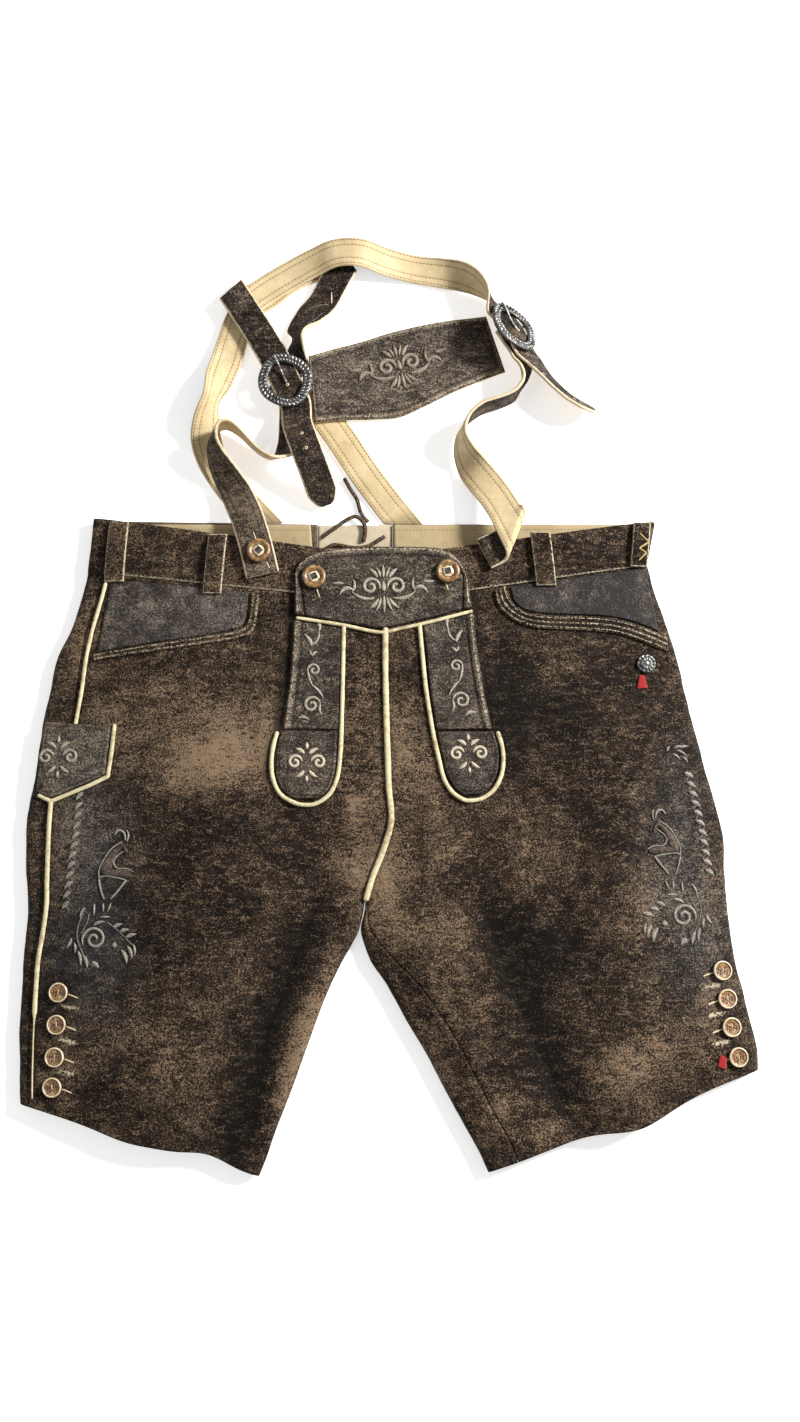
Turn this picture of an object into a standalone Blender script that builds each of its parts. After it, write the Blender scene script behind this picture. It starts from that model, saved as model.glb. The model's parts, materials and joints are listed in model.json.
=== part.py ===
"""Lederhosen: short leather trousers with a drop-front flap and braces, laid flat with the front up.

Frame: +X towards the wearer's left leg, +Y towards the waist and the braces, +Z up. The ground is z = 0.
All tables are in millimetres of one drawing, whose zero lies near the middle of the flap; ORIGIN_X and
ORIGIN_Y are the drawing's point that becomes the part's origin.
"""
import math

import bmesh
import bpy
from mathutils import Matrix, Vector
from mathutils.bvhtree import BVHTree

MM = 0.001
ORIGIN_X = -10.5
ORIGIN_Y = 21.8
ZERO = (0.0, 0.0)

# ---------------------------------------------------------------- driving dimensions, millimetres
LEATHER = 2.0          # wall of the trouser panels
BAND_LEATHER = 2.6     # doubled leather of the waistband
GAP = 0.3              # clearance between pieces that lie on or beside each other
SEAM = 0.4             # width left open at a sewn seam
LOFT = 15.5            # height of the front panels over the ground
FOLD_HEIGHT = 12.0     # height of the folded edges of the legs
FOLD_RADIUS = 8.0      # sideways radius of the folded edges
EDGE_EASE = 26.0       # distance over which the front rises from a folded edge
BAND_RISE = 0.9        # how far the waistband stands over the panels

STRAP = 3.0            # thickness of a strap: leather and lining
FRONT_STRAP_WIDTH = 28.0
LONG_STRAP_WIDTH = 26.0
PIPING = 2.4           # diameter of the piping
LACE = 3.4             # diameter of the vent lace
FOLD_STEPS = 6         # stations on half a turn over a fold
LEG_BUTTON = 15.5      # diameters of the buttons
FLAP_BUTTON = 20.0
CONCHO = 16.0
BUCKLE_LENGTH = 49.0   # outer size of a buckle across and along its strap
BUCKLE_WIDTH = 46.0
BUCKLE_WIRE = 5.0
BAR = 3.0              # diameter of a buckle's bar
PRONG = 2.2
LAID_REACH = 3.0       # a laid piece clears the highest point this near to each of its own
OVERLAY = 2.4          # thickness of the bib, its strips and the belt loops
WELT = 2.0             # thickness of the pocket welts
FACING = 0.9           # thickness of the pocket facings
POCKET_FLAP = 2.2      # thickness of the knife pocket's flap
TAB = 0.8              # thickness of the sewn-in tabs
LINING = 1.4           # thickness of the waistband's inner face
LINING_TOP = 159.4     # drawing height of its top edge
GUSSET = 1.8           # thickness of the vent's gusset
LOOP_BULGE = 2.2       # how far a belt loop stands off the waistband in its middle
LEG_BUTTON_RISE = 3.6  # heights of the buttons
CONCHO_RISE = 3.4
FLAP_BUTTON_RISE = 4.2

# ---------------------------------------------------------------- materials: colour, roughness, metallic
MATERIALS = {
    "worn_leather": ((0.060, 0.040, 0.028), 0.85, 0.0),
    "smooth_leather": ((0.055, 0.045, 0.040), 0.60, 0.0),
    "tan_lining": ((0.62, 0.44, 0.22), 0.75, 0.0),
    "cream_piping": ((0.70, 0.60, 0.40), 0.60, 0.0),
    "horn": ((0.42, 0.24, 0.09), 0.40, 0.0),
    "old_silver": ((0.30, 0.29, 0.27), 0.45, 1.0),
    "red_tab": ((0.55, 0.03, 0.03), 0.80, 0.0),
}

# ---------------------------------------------------------------- trouser sections
# One row is one section across a leg. out_x, out_y: folded outer edge. in_x, in_y: centre front above the
# crotch, folded inner edge below it. side: distance from the outer edge, over the top, to the side seam
# (negative lies underneath). inseam: the same from the inner edge. drop: how far the front has come down
# to the height of the inner fold.
RIGHT_SECTIONS = (
    # out_x, out_y, in_x, in_y, side, inseam, drop
    (-262, 115, -12, 88, 19, 0, 0.0),
    (-267, 92, -12, 66, 19, 0, 0.0),
    (-273, 70, -12, 42, 19, 0, 0.0),
    (-284, 44, -12, 16, 25, 0, 0.0),
    (-289, 16, -11, -11, 28, 0, 0.0),
    (-294, -11, -10, -38, 28, 0, 0.0),
    (-297, -40, -9, -66, 24, 0, 0.05),
    (-300, -66, -7, -92, 20, 0, 0.15),
    (-303, -90, -13, -115, 20, 0, 0.35),
    (-304, -112, -22, -138, 21, 0, 0.65),
    (-303, -134, -28.9, -160, 20, 0, 1.0),
    (-301, -150, -33.0, -180, 19, 4, 1.0),
    (-300, -166, -45, -202, 17, 7, 1.0),
    (-301, -186, -56, -225, 15, 3, 1.0),
    (-302, -208, -66, -250, 14, 1, 1.0),
    (-302, -232, -76, -278, 14, 0, 1.0),
    (-302, -258, -86, -306, 13, 0, 1.0),
    (-301, -284, -97, -334, 13, 0, 1.0),
    (-300, -302, -104, -355, 12, 0, 1.0),
    (-299, -315, -110, -370, 12, 0, 1.0),
)
LEFT_SECTIONS = (
    # out_x, out_y, in_x, in_y, side, inseam, drop
    (208, 121, -12, 88, -8, 0, 0.0),
    (213, 100, -12, 66, -8, 0, 0.0),
    (221, 76, -12, 42, -8, 0, 0.0),
    (228, 50, -12, 16, -8, 0, 0.0),
    (234, 22, -11, -11, -8, 0, 0.0),
    (240, -5, -10, -38, -8, 0, 0.0),
    (246, -32, -9, -66, -8, 0, 0.05),
    (252, -58, -7, -92, -8, 0, 0.15),
    (258.4, -82, -13, -115, -8, 0, 0.35),
    (262.4, -106, -22, -138, -8, 0, 0.65),
    (262.5, -130, -28.0, -160, -8, 3, 1.0),
    (263, -146, -31.6, -180, -8, 12, 1.0),
    (264, -163, -25, -203, -8, 22, 1.0),
    (266, -183, -10, -225, -8, 28, 1.0),
    (269, -205, 4, -250, -8, 32, 1.0),
    (273, -225, 21, -278, -8, 32, 1.0),
    (277, -245, 36, -306, -8, 31, 1.0),
    (281, -262, 50, -331, -8, 30, 1.0),
    (283, -277, 61, -350, -8, 30, 1.0),
    (283, -289, 69, -367, -8, 29, 1.0),
)
FIRST_LEG_ROW = 10
BACK_CENTRE = ((-36, 112), (-29, -146))   # centre-back seam, waist and crotch
CROTCH_FOLD_RADIUS = 4.0
TURN_START = 8.0           # width that turns over the inner edge, above the crotch

# Where the panels' columns stand: distances from the side seam, distances from the other end, and how many
# even ones between. They are close together where the leather turns over a folded edge. The left back panel
# turns over the inner edge: its distances are from that edge, and the last number counts the columns beyond.
RIGHT_FRONT_STEPS = ((0, 6, 14), (0, 4, 8, 13, 20), 11)
RIGHT_BACK_STEPS = ((0, 4, 8, 12, 16, 20, 24, 29, 36), (0, 4, 8, 12, 16, 20, 26), 3, 0)
LEFT_FRONT_STEPS = ((0, 4, 8, 12, 16, 20.6, 28, 38), (0, 4, 8, 13, 20), 10)
LEFT_BACK_STEPS = ((0, 8, 22), (0, 4, 8, 12, 17, 24), 4, 6)
# The same for the front and the back waistband, from the side seam.
RIGHT_BAND_STEPS = ((0, 8), (0, 6.4, 11, 15, 19, 23, 27, 32))
LEFT_BAND_STEPS = ((0, 4, 8, 12, 16, 20.6, 28), (0, 20))

# Soft folds of the front: from and to, half width, height (negative is a trough).
FRONT_FOLDS = (
    # x1, y1, x2, y2, half_width, height
    (-66, -140, -128, -345, 20, -5.0),
    (-44, -195, -104, -360, 15, 7.0),
    (-140, -120, -186, -350, 38, 4.0),
    (-245, -110, -240, -300, 34, 2.5),
    (66, -150, 138, -340, 19, -5.0),
    (8, -195, 84, -360, 18, 6.0),
    (165, -110, 178, -355, 24, 4.5),
    (232, -120, 238, -280, 26, 2.5),
    (-36, -122, -112, -78, 20, -3.0),
    (16, -122, 96, -82, 20, -3.0),
    (-196, 20, -150, -70, 34, 3.0),
    (140, 10, 170, -70, 34, 3.0),
    (-100, 96, -40, 98, 26, 1.5),
    (-230, 84, -140, 76, 18, -1.5),
    (110, 92, 190, 98, 18, -1.5),
)
# Waistband, front: top edge at the outer fold and at the centre front, and the back top edge.
RIGHT_BAND_TOP = (-259, 163)
LEFT_BAND_TOP = (215, 160)
CENTRE_BAND_TOP = (-12, 128)
BACK_BAND_TOP = 160
VENT_RIGHT = -70
VENT_LEFT = -6

# ---------------------------------------------------------------- flap, pockets and trim in plan
BIB = (
    # top_x, top_y, bottom_x, bottom_y
    (-87, 111, -88, 78),
    (-85, 120, -80, 76.5),
    (-76, 128, -70, 75),
    (-60, 133, -52, 72),
    (-34, 135.5, -32, 69),
    (-8, 136, -17, 66.5),
    (14, 136, 2, 70),
    (32, 134.5, 22, 74.5),
    (44, 129.5, 38, 78.5),
    (52, 120, 50, 82),
    (56, 108, 60, 84),
)
BIB_PIPING = ((-86, 75), (-70, 72.5), (-47, 69), (-17, 63), (2, 66.5), (22, 71), (45, 77), (60, 81))
RIGHT_STRIP = (
    # outer_x, outer_y, inner_x, inner_y
    (-88, 73, -49, 66.5),
    (-89, 50, -49, 46),
    (-90.5, 26, -49.5, 22),
    (-93, 3, -50, 0),
    (-96, -18, -50.5, -18.5),
)
LEFT_STRIP = (
    (61, 79, 19, 68.5),
    (63.5, 52, 21.5, 47),
    (67, 26, 24, 22),
    (71, 3, 27, 0),
    (75, -18, 30, -18.5),
)
RIGHT_END = (
    (-97, -19.5, -51, -20),
    (-99.5, -31, -51.5, -32),
    (-101, -45, -52, -45),
    (-100, -58, -54, -58),
    (-94, -69, -59, -69),
    (-84, -75, -67, -75),
)
LEFT_END = (
    (76, -19.5, 30.5, -20),
    (79.5, -31, 32.5, -32),
    (80.5, -42, 35, -43),
    (79, -54, 38, -55),
    (73, -65, 44.5, -66),
    (64, -71.5, 52, -72),
)
RIGHT_END_PIPING = (
    (-46.5, 64), (-46.8, 40), (-47.2, 10), (-47.8, -20), (-48.8, -42), (-51, -58), (-57, -71), (-67, -78.5),
    (-76, -80), (-86, -78), (-97, -71), (-103, -59), (-104.5, -45), (-103, -31), (-100, -20),
)
LEFT_END_PIPING = (
    (16.5, 66), (18.5, 44), (21.5, 14), (26.5, -18), (29.5, -33), (32, -44), (35.5, -58), (42, -69),
    (51, -75.5), (58, -76.5), (67, -74.5), (76.5, -67), (82.5, -55), (84, -42), (82.8, -31), (79.5, -20),
)
CENTRE_PIPING = (
    (-12, 60), (-12, 34), (-11, -11), (-10, -38), (-9, -66), (-7, -92), (-13, -115), (-22, -138), (-27.6, -157),
)
KNIFE_FLAP = (
    # top_x, top_y, bottom_x, bottom_y
    (-291, -11, -296, -68),
    (-280, -12, -284, -74),
    (-266, -13, -268, -68),
    (-250, -14.5, -252, -61.5),
    (-236, -16.5, -239.5, -56),
)
KNIFE_FLAP_PIPING = (
    (-233, -14), (-234.5, -34), (-237.2, -57), (-252, -64.5), (-268, -71), (-283, -77), (-294, -71.5),
)
SIDE_PIPING_UPPER = ((-245.6, 103), (-248, 92), (-253.6, 69), (-258.6, 43), (-261.2, 16), (-264.5, -8))
SIDE_PIPING_LOWER = (
    (-283, -81), (-283.5, -96), (-283.5, -118), (-283.4, -140), (-283, -160), (-285, -182), (-288, -206),
    (-288.8, -236), (-289, -262), (-288.6, -290), (-288, -311),
)
RIGHT_WELT = (
    # upper_x, upper_y, lower_x, lower_y
    (-253, 45, -253, 39),
    (-222, 50, -221, 44),
    (-190, 55, -189, 48.5),
    (-160, 60, -158, 53.5),
    (-138, 64, -134, 57.5),
    (-128, 69, -122, 63),
    (-125, 78, -118.5, 76),
    (-123, 96, -116.5, 95),
)
LEFT_WELT = (
    (88, 103, 78, 98),
    (91, 93, 81, 86),
    (98, 84, 90, 76),
    (110, 79, 106, 68),
    (130, 77, 130, 65),
    (155, 77, 156, 64),
    (178, 75, 179, 62),
    (200, 69, 200, 55),
    (221, 60, 222, 47),
)
RIGHT_FACING = (
    # top_x, top_y, bottom_x, bottom_y
    (-241, 107.5, -250, 46.5),
    (-224, 107, -228, 50.5),
    (-200, 105, -202, 54.5),
    (-176, 102.5, -177, 58.5),
    (-152, 100, -154, 62.5),
    (-133, 98, -132, 68.5),
    (-126, 97, -127, 80),
)
LEFT_FACING = (
    (91.5, 102, 94, 92),
    (100, 103.5, 101, 84.5),
    (116, 106, 116, 80),
    (140, 109.5, 141, 78.5),
    (166, 113, 168, 77.5),
    (190, 117, 193, 73),
    (205, 119, 215, 64),
)
BELT_LOOPS = {
    # name: top_x, top_y, bottom_x, bottom_y, width
    "belt_loop_right_outer": (-235, 158.5, -238, 106, 17),
    "belt_loop_right_inner": (-152, 147, -156, 95.5, 16),
    "belt_loop_left_inner": (117, 149, 121.5, 102.5, 17),
    "belt_loop_left_outer": (203, 158, 199, 119, 15),
}
RIGHT_LEG_BUTTONS = ((-270, -229), (-270.5, -254), (-271, -279), (-272, -302))
LEFT_LEG_BUTTONS = ((256, -212), (259, -234), (261.5, -256), (266, -279))
FLAP_BUTTONS = {"flap_button_right": (-71, 109), "flap_button_left": (40, 114)}
CONCHO_PLACE = (203, 37)
CONCHO_TAB = (
    (197, 27.5, 194.5, 16),
    (201.5, 27, 203.5, 16.5),
)
HEM_TAB = (
    (251.5, -277, 249, -286.5),
    (257, -279.5, 256, -288.5),
)

# ---------------------------------------------------------------- braces
# One row is one station of a strap's middle line: place, direction of its width in plan (degrees from +X)
# and tilt of that width over the ground (degrees). The outer face is up where the width points to the
# right of the way along the strap. A FOLD row turns the strap over a line: direction of the line in plan,
# and how far the strap rises (or falls) with the turn. THROUGH rows pass through a buckle over its bar, UNDER
# rows end below the bar.
FOLD, THROUGH, UNDER = "fold", "through", "under"
RIGHT_BUCKLE = (-98, 284, 15.6, 24, 0)      # x, y, z, across, tilt
LEFT_BUCKLE = (97.8, 331.2, 18.2, 32, -42)
BAR_DIP = 5.6                               # how far a buckle's bar lies below its frame
OVER_BAR = -BAR_DIP + BAR / 2 + GAP + STRAP / 2
BELOW_FRAME = -BUCKLE_WIRE / 2 - GAP - STRAP / 2
BELOW_BAR = -BAR_DIP - BAR / 2 - GAP - STRAP / 2
BUCKLE_PATHS = {
    # place along the strap from the bar, height against the frame
    THROUGH: (
        (-22, BELOW_FRAME - 0.7),
        (-9, OVER_BAR - 0.2),
        (0, OVER_BAR + 0.3),
        (9, OVER_BAR - 0.2),
        (22, BELOW_FRAME - 1.0),
    ),
    UNDER: (
        (-20, BELOW_BAR - 0.2),
        (-8, BELOW_BAR - 0.2),
        (4, BELOW_BAR - 0.2),
    ),
}
RIGHT_FRONT_STRAP = (
    # x, y, z, across, tilt
    (-114, 111, 20.6, 14, 0),
    (-118, 128, 20.8, 13, 0),
    (-123, 146, 20.6, 14, 2),
    (-129, 164, 16.5, 20, 6),
    (-137, 182, 12.5, 28, 16),
    (-146, 198, 14.5, 30, 36),
    (-154, 213, 18.0, 18, 54),
    (-158, 227, 20.4, 0, 68),
    (-155, 239, 20.2, -45, 80),
    (-146, 243, 18.6, -95, 86),
    (-136, 237, 17.2, -122, 88),
    (-127, 228, 16.2, -126, 86),
    (-117, 219, 15.6, -112, 82),
    (-107, 215, 14.8, -84, 74),
    (-98, 219, 12.4, -40, 52),
    (-92, 232, 8.4, -4, 26),
    (-90, 247, 4.6, 14, 6),
    (UNDER, RIGHT_BUCKLE),
)
LEFT_FRONT_STRAP = (
    (70, 129, 20.6, -65, 0),
    (90, 138.5, 21.0, -65, 0),
    (FOLD, 68, 7.2),
    (88, 164, 24.5, 209, 0),
    (80, 180, 18.0, 210, 0),
    (71, 194, 13.0, 211, -8),
    (61, 208, 12.0, 208, -32),
    (54, 222, 14.0, 192, -58),
    (52, 236, 15.5, 170, -76),
    (58, 249, 16.0, 130, -86),
    (70, 259, 16.0, 110, -90),
    (84, 264, 16.0, 108, -90),
    (97, 270, 16.0, 130, -89),
    (104, 281, 16.0, 175, -88),
    (105.5, 291, 14.6, 36, -70),
    (105, 301, 12.4, 34, -50),
    (UNDER, LEFT_BUCKLE),
)
RIGHT_LONG_STRAP = (
    (-62, 176, 5.0, 24, 0),
    (-68, 192, 12.5, 22, 0),
    (-75, 209, 24.0, 18, 0),
    (-82, 227, 28.5, 16, 0),
    (-87, 244, 20.0, 18, 0),
    (THROUGH, RIGHT_BUCKLE),
    (-119, 325, 11.2, 26, 0),
    (-132, 346, 11.0, 28, 0),
    (-144.5, 366, 10.8, 30, 0),
    (FOLD, 44, -8.7),
    (-136, 363.4, 2.1, 68, 0),
    (-127, 362.6, 2.1, 92, 0),
    (-117, 367, 1.7, 118, 0),
    (-102, 379.5, 1.7, 129, 0),
    (-84, 390, 1.7, 118, 0),
    (-66, 396, 1.9, 107, 0),
    (-51, 399, 3.5, 101, 0),
    (FOLD, 128, 6.0),
    (-59, 375, 6.8, 157, 0),
    (-67, 360, 5.0, 148, -4),
    (-79, 346, 6.6, 142, -20),
    (-88, 333, 10.0, 152, -44),
    (-88, 323, 12.4, 166, -66),
    (-91, 302, 3.4, 184, -8),
    (-87, 292, 2.1, 200, 0),
)
LEFT_REAR_STRAP = (
    (-79.5, 279, 1.8, 31, 0),
    (-68, 262, 1.7, 33, 0),
    (-50, 236, 1.7, 34, 0),
    (-30, 205, 1.7, 34, 0),
    (-12, 180, 1.7, 36, 0),
    (-5.5, 171.5, 1.7, 37, 0),
)
LEFT_LONG_STRAP = (
    (166, 257, 12.4, 58, -58),
    (155, 263, 12.6, 58, -60),
    (144, 270, 12.8, 54, -60),
    (133, 280, 13.0, 47, -60),
    (124, 290, 13.2, 42, -58),
    (116, 300, 13.4, 38, -50),
    (THROUGH, LEFT_BUCKLE),
    (77, 362, 14.4, 34, -84),
    (67, 373, 13.6, 46, -114),
    (54, 381, 10.8, 56, -140),
    (36, 387, 5.6, 70, -166),
    (12, 392, 2.4, 80, -180),
    (-11, 396, 7.5, 84, -180),
    (-34, 400, 17.6, 88, -180),
    (-56, 400, 16.6, 96, -180),
    (-76, 394, 9.6, 107, -180),
    (-95, 385, 5.4, 118, -180),
    (-114, 373, 5.0, 124, -180),
    (-130, 360, 5.4, 132, -180),
    (-139, 343, 5.0, 150, -180),
    (-145, 324, 4.6, 165, -180),
    (-150, 305, 5.6, 165, -166),
    (-156, 286, 10.2, 166, -140),
    (-161, 269, 13.6, 170, -112),
    (-165, 252, 10.0, 176, -136),
    (-166, 236, 4.0, 184, -168),
    (-161, 219, 2.1, 198, -180),
    (-151, 202, 1.7, 210, -180),
    (-139, 186, 1.7, 220, -180),
    (-127, 173, 1.7, 226, -180),
)
CHEST_PIECE = (
    # top_x, top_y, top_z, bottom_x, bottom_y, bottom_z
    (-79, 308, 9.6, -72.5, 249.5, 5.4),
    (-68, 312.5, 6.8, -60, 251, 5.3),
    (-57, 317, 4.4, -45, 252, 5.1),
    (-34, 324, 2.8, -22, 253, 4.0),
    (-11, 332, 2.2, 1, 256, 2.6),
    (12, 338, 2.4, 24, 267, 2.0),
    (36, 343, 2.2, 47, 279, 1.8),
    (59, 346, 2.0, 70, 289, 1.8),
    (75, 348, 2.0, 91, 297, 1.8),
)
BRACE_BUTTON = (-117, 131)
LACES = {
    # stations x, y, z of the thong's middle line
    "vent_lace_right": (
        (-66, 148, 4.1), (-61, 152, 4.2), (-54, 157, 4.4), (-46, 163, 4.4), (-38, 166.5, 4.4),
        (-32, 163, 4.4), (-29.5, 157, 4.4), (-30, 149, 4.3), (-31, 144.5, 4.1),
    ),
    "vent_lace_left": (
        (-63, 137, 4.1), (-57, 141.5, 4.2), (-50, 141, 4.2), (-42, 139.5, 4.2), (-34, 139, 4.2),
        (-26, 141, 4.2), (-19, 145, 4.2), (-13, 149, 4.1),
    ),
    "vent_lace_end": (
        (-27, 162.6, 1.9), (-31, 167, 1.9), (-34, 173, 1.9),
        (-36.5, 182, 1.9), (-42, 191, 1.9), (-47.5, 201, 1.9),
    ),
}


# ---------------------------------------------------------------- helpers
def world(x, y, z):
    """A point of the drawing as a point of the part, in metres."""
    return Vector(((x - ORIGIN_X) * MM, (y - ORIGIN_Y) * MM, z * MM))


def blend(a, b, t):
    return a + (b - a) * t


def material(name):
    """The named Principled material, made once."""
    found = bpy.data.materials.get(name)
    if found:
        return found
    colour, roughness, metallic = MATERIALS[name]
    made = bpy.data.materials.new(name)
    made.use_nodes = True
    shader = made.node_tree.nodes["Principled BSDF"]
    shader.inputs["Base Color"].default_value = (*colour, 1.0)
    shader.inputs["Roughness"].default_value = roughness
    shader.inputs["Metallic"].default_value = metallic
    return made


def add_object(name, mesh, finish):
    """Link a mesh into the garment's collection with its material."""
    mesh.materials.append(material(finish))
    mesh.shade_smooth()
    mesh.set_sharp_from_angle(angle=math.radians(40))
    made = bpy.data.objects.new(name, mesh)
    GARMENT.objects.link(made)
    return made


def add_walled(name, face, back, finish):
    """A closed wall between two equal grids of drawing points, the face and its back."""
    rows, columns = len(face), len(face[0])
    shape = bmesh.new()
    fronts = [[shape.verts.new(world(*p)) for p in row] for row in face]
    backs = [[shape.verts.new(world(*p)) for p in row] for row in back]
    for r in range(rows - 1):
        for c in range(columns - 1):
            for grid in (fronts, backs):
                first, last = grid[r][c], grid[r + 1][c + 1]
                shape.faces.new((first, grid[r][c + 1], last))
                shape.faces.new((first, last, grid[r + 1][c]))
    rim = [(0, c) for c in range(columns)]
    rim += [(r, columns - 1) for r in range(1, rows)]
    rim += [(rows - 1, c) for c in range(columns - 2, -1, -1)]
    rim += [(r, 0) for r in range(rows - 2, 0, -1)]
    for (r1, c1), (r2, c2) in zip(rim, rim[1:] + rim[:1]):
        shape.faces.new((fronts[r1][c1], backs[r1][c1], backs[r2][c2], fronts[r2][c2]))
    bmesh.ops.recalc_face_normals(shape, faces=shape.faces)
    mesh = bpy.data.meshes.new(name)
    shape.to_mesh(mesh)
    shape.free()
    return add_object(name, mesh, finish)


def curve_point(points, t):
    """Point at t (0 to 1) of a smooth curve through the points (any number of values each)."""
    spans = len(points) - 1
    at = min(max(t, 0.0), 1.0) * spans
    i = min(int(at), spans - 1)
    f = at - i
    before = points[max(i - 1, 0)]
    start, end = points[i], points[i + 1]
    after = points[min(i + 2, spans)]
    return tuple(
        0.5 * (2 * b + (c - a) * f + (2 * a - 5 * b + 4 * c - d) * f * f + (3 * b - a - 3 * c + d) * f ** 3)
        for a, b, c, d in zip(before, start, end, after)
    )


# ---------------------------------------------------------------- trouser panels
def front_field(x, y):
    """Height of the front panels' outer face, away from folded edges."""
    height = LOFT
    for x1, y1, x2, y2, half_width, rise in FRONT_FOLDS:
        along_x, along_y = x2 - x1, y2 - y1
        length = math.hypot(along_x, along_y)
        along = ((x - x1) * along_x + (y - y1) * along_y) / length
        beside = abs((x - x1) * along_y - (y - y1) * along_x) / length
        beyond = max(0.0, -along, along - length)
        height += rise * math.exp(-((beside / half_width) ** 2) - (beyond / (1.4 * half_width)) ** 2)
    return height


class Section:
    """One section across a leg: a flattened ring, measured from its outer edge over the top (positive) or
    underneath (negative)."""

    def __init__(self, outer, inner, back_inner, drop, folded, radius, rise=0.0):
        self.outer, self.inner, self.back_inner = outer, inner, back_inner
        self.drop, self.rise = drop, rise
        self.top_width = math.dist(outer, inner)
        self.bottom_width = math.dist(outer, back_inner)
        self.inner_radius = radius if folded else 0.0
        self.outer_arc = FOLD_RADIUS * math.pi / 2
        self.inner_arc = self.inner_radius * math.pi / 2
        flat = self.top_width - FOLD_RADIUS - self.inner_radius
        self.top_length = self.outer_arc + flat + self.inner_arc
        flat = self.bottom_width - FOLD_RADIUS - self.inner_radius
        self.bottom_length = self.outer_arc + flat + self.inner_arc

    def height(self, w):
        """Outer height over the ground at w from the outer edge."""
        x, y = self.plan(w, self.inner, self.top_width)
        from_inner = self.top_width - self.inner_radius - w
        ease = 1.0 - math.exp(-max(0.0, w - FOLD_RADIUS) / EDGE_EASE)
        ease *= 1.0 - self.drop * math.exp(-max(0.0, from_inner) / EDGE_EASE)
        return FOLD_HEIGHT + (front_field(x, y) - FOLD_HEIGHT) * ease + self.rise

    def plan(self, w, end, width):
        return blend(self.outer[0], end[0], w / width), blend(self.outer[1], end[1], w / width)

    def point(self, s, depth):
        """Drawing point at distance s round the ring, depth inside the outer face."""
        if s > self.top_length:
            return self.point(-(self.bottom_length - (s - self.top_length)), depth)
        if s < -self.bottom_length:
            return self.point(self.top_length - (-s - self.bottom_length), depth)
        over = s >= 0
        end, width = (self.inner, self.top_width) if over else (self.back_inner, self.bottom_width)
        length = self.top_length if over else self.bottom_length
        run = abs(s)
        if run < self.outer_arc:
            return self.fold_point(run / FOLD_RADIUS, over, end, width, depth, FOLD_RADIUS, False)
        if self.inner_arc and length - run < self.inner_arc:
            angle = (length - run) / self.inner_radius
            return self.fold_point(angle, over, end, width, depth, self.inner_radius, True)
        w = run - self.outer_arc + FOLD_RADIUS
        z = self.height(w) - depth if over else depth
        return (*self.plan(w, end, width), z)

    def fold_point(self, angle, over, end, width, depth, radius, at_inner):
        """Point on a folded edge, at an angle from the edge's outermost line."""
        top = self.height(width - radius if at_inner else radius)
        half = top / 2
        w = radius - (radius - depth) * math.cos(angle)
        z = half + (half - depth) * math.sin(angle) * (1 if over else -1)
        if at_inner:
            w = width - w
        return (*self.plan(w, end, width), z)


def spread(start, end, near_start, near_end, middle):
    """Distances from start to end: fixed steps near both ends, even ones between."""
    sign = 1 if end > start else -1
    first = [start + sign * d for d in near_start]
    last = [end - sign * d for d in reversed(near_end)]
    between = [blend(first[-1], last[0], (i + 1) / (middle + 1)) for i in range(middle)]
    return first + between + last


def leg_sections(rows, side_sign):
    """Sections of one leg from its table, with the distances where its front and back panels end."""
    made = []
    for i, (out_x, out_y, in_x, in_y, side, inseam, drop) in enumerate(rows):
        folded = i >= FIRST_LEG_ROW
        radius = CROTCH_FOLD_RADIUS if i == FIRST_LEG_ROW else FOLD_RADIUS
        if folded:
            back = (in_x, in_y)
        else:
            (x1, y1), (x2, y2) = BACK_CENTRE
            t = i / (FIRST_LEG_ROW - 1)
            back = (blend(x1, x2, t) + side_sign * SEAM / 2, blend(y1, y2, t))
        inner = (in_x if folded else in_x + side_sign * SEAM / 2, in_y)
        section = Section((out_x, out_y), inner, back, drop, folded, radius)
        made.append((section, side, inseam if folded else 0.0, folded))
    return made


def add_panel_pair(side_name, sections, front_steps, back_steps, seat_row=None):
    """The front and the back panel of one leg. The back is cut in two at seat_row, a seat and a leg."""
    front_face, front_back, back_face, back_back = [], [], [], []
    near_side, near_turn, between, beyond = back_steps
    for section, side, inseam, folded in sections:
        end = section.top_length - (inseam + SEAM / 2 if folded else 0.0)
        columns = spread(side + SEAM / 2, end, *front_steps)
        front_face.append([section.point(s, 0.0) for s in columns])
        front_back.append([section.point(s, LEATHER) for s in columns])
        end = -section.bottom_length - (inseam - SEAM / 2 if folded else 0.0)
        turn = -section.bottom_length if folded else end + TURN_START
        columns = spread(side - SEAM / 2, turn if beyond else end, near_side, near_turn, between)
        columns += [blend(turn, end, (i + 1) / beyond) for i in range(beyond)]
        back_face.append([section.point(s, 0.0) for s in columns])
        back_back.append([section.point(s, LEATHER) for s in columns])
    made = [add_walled("front_leg_" + side_name, front_face, front_back, "worn_leather")]
    if seat_row is not None:
        seat_face, seat_back = back_face[:seat_row], back_back[:seat_row]
        for seat, whole in ((seat_face, back_face), (seat_back, back_back)):
            pairs = zip(whole[seat_row - 1], whole[seat_row])
            seat.append([tuple(Vector(b) + (Vector(a) - Vector(b)).normalized() * SEAM) for a, b in pairs])
        made.append(add_walled("back_seat_" + side_name, seat_face, seat_back, "worn_leather"))
        back_face, back_back = back_face[seat_row:], back_back[seat_row:]
    made.append(add_walled("back_leg_" + side_name, back_face, back_back, "worn_leather"))
    return made


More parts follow.
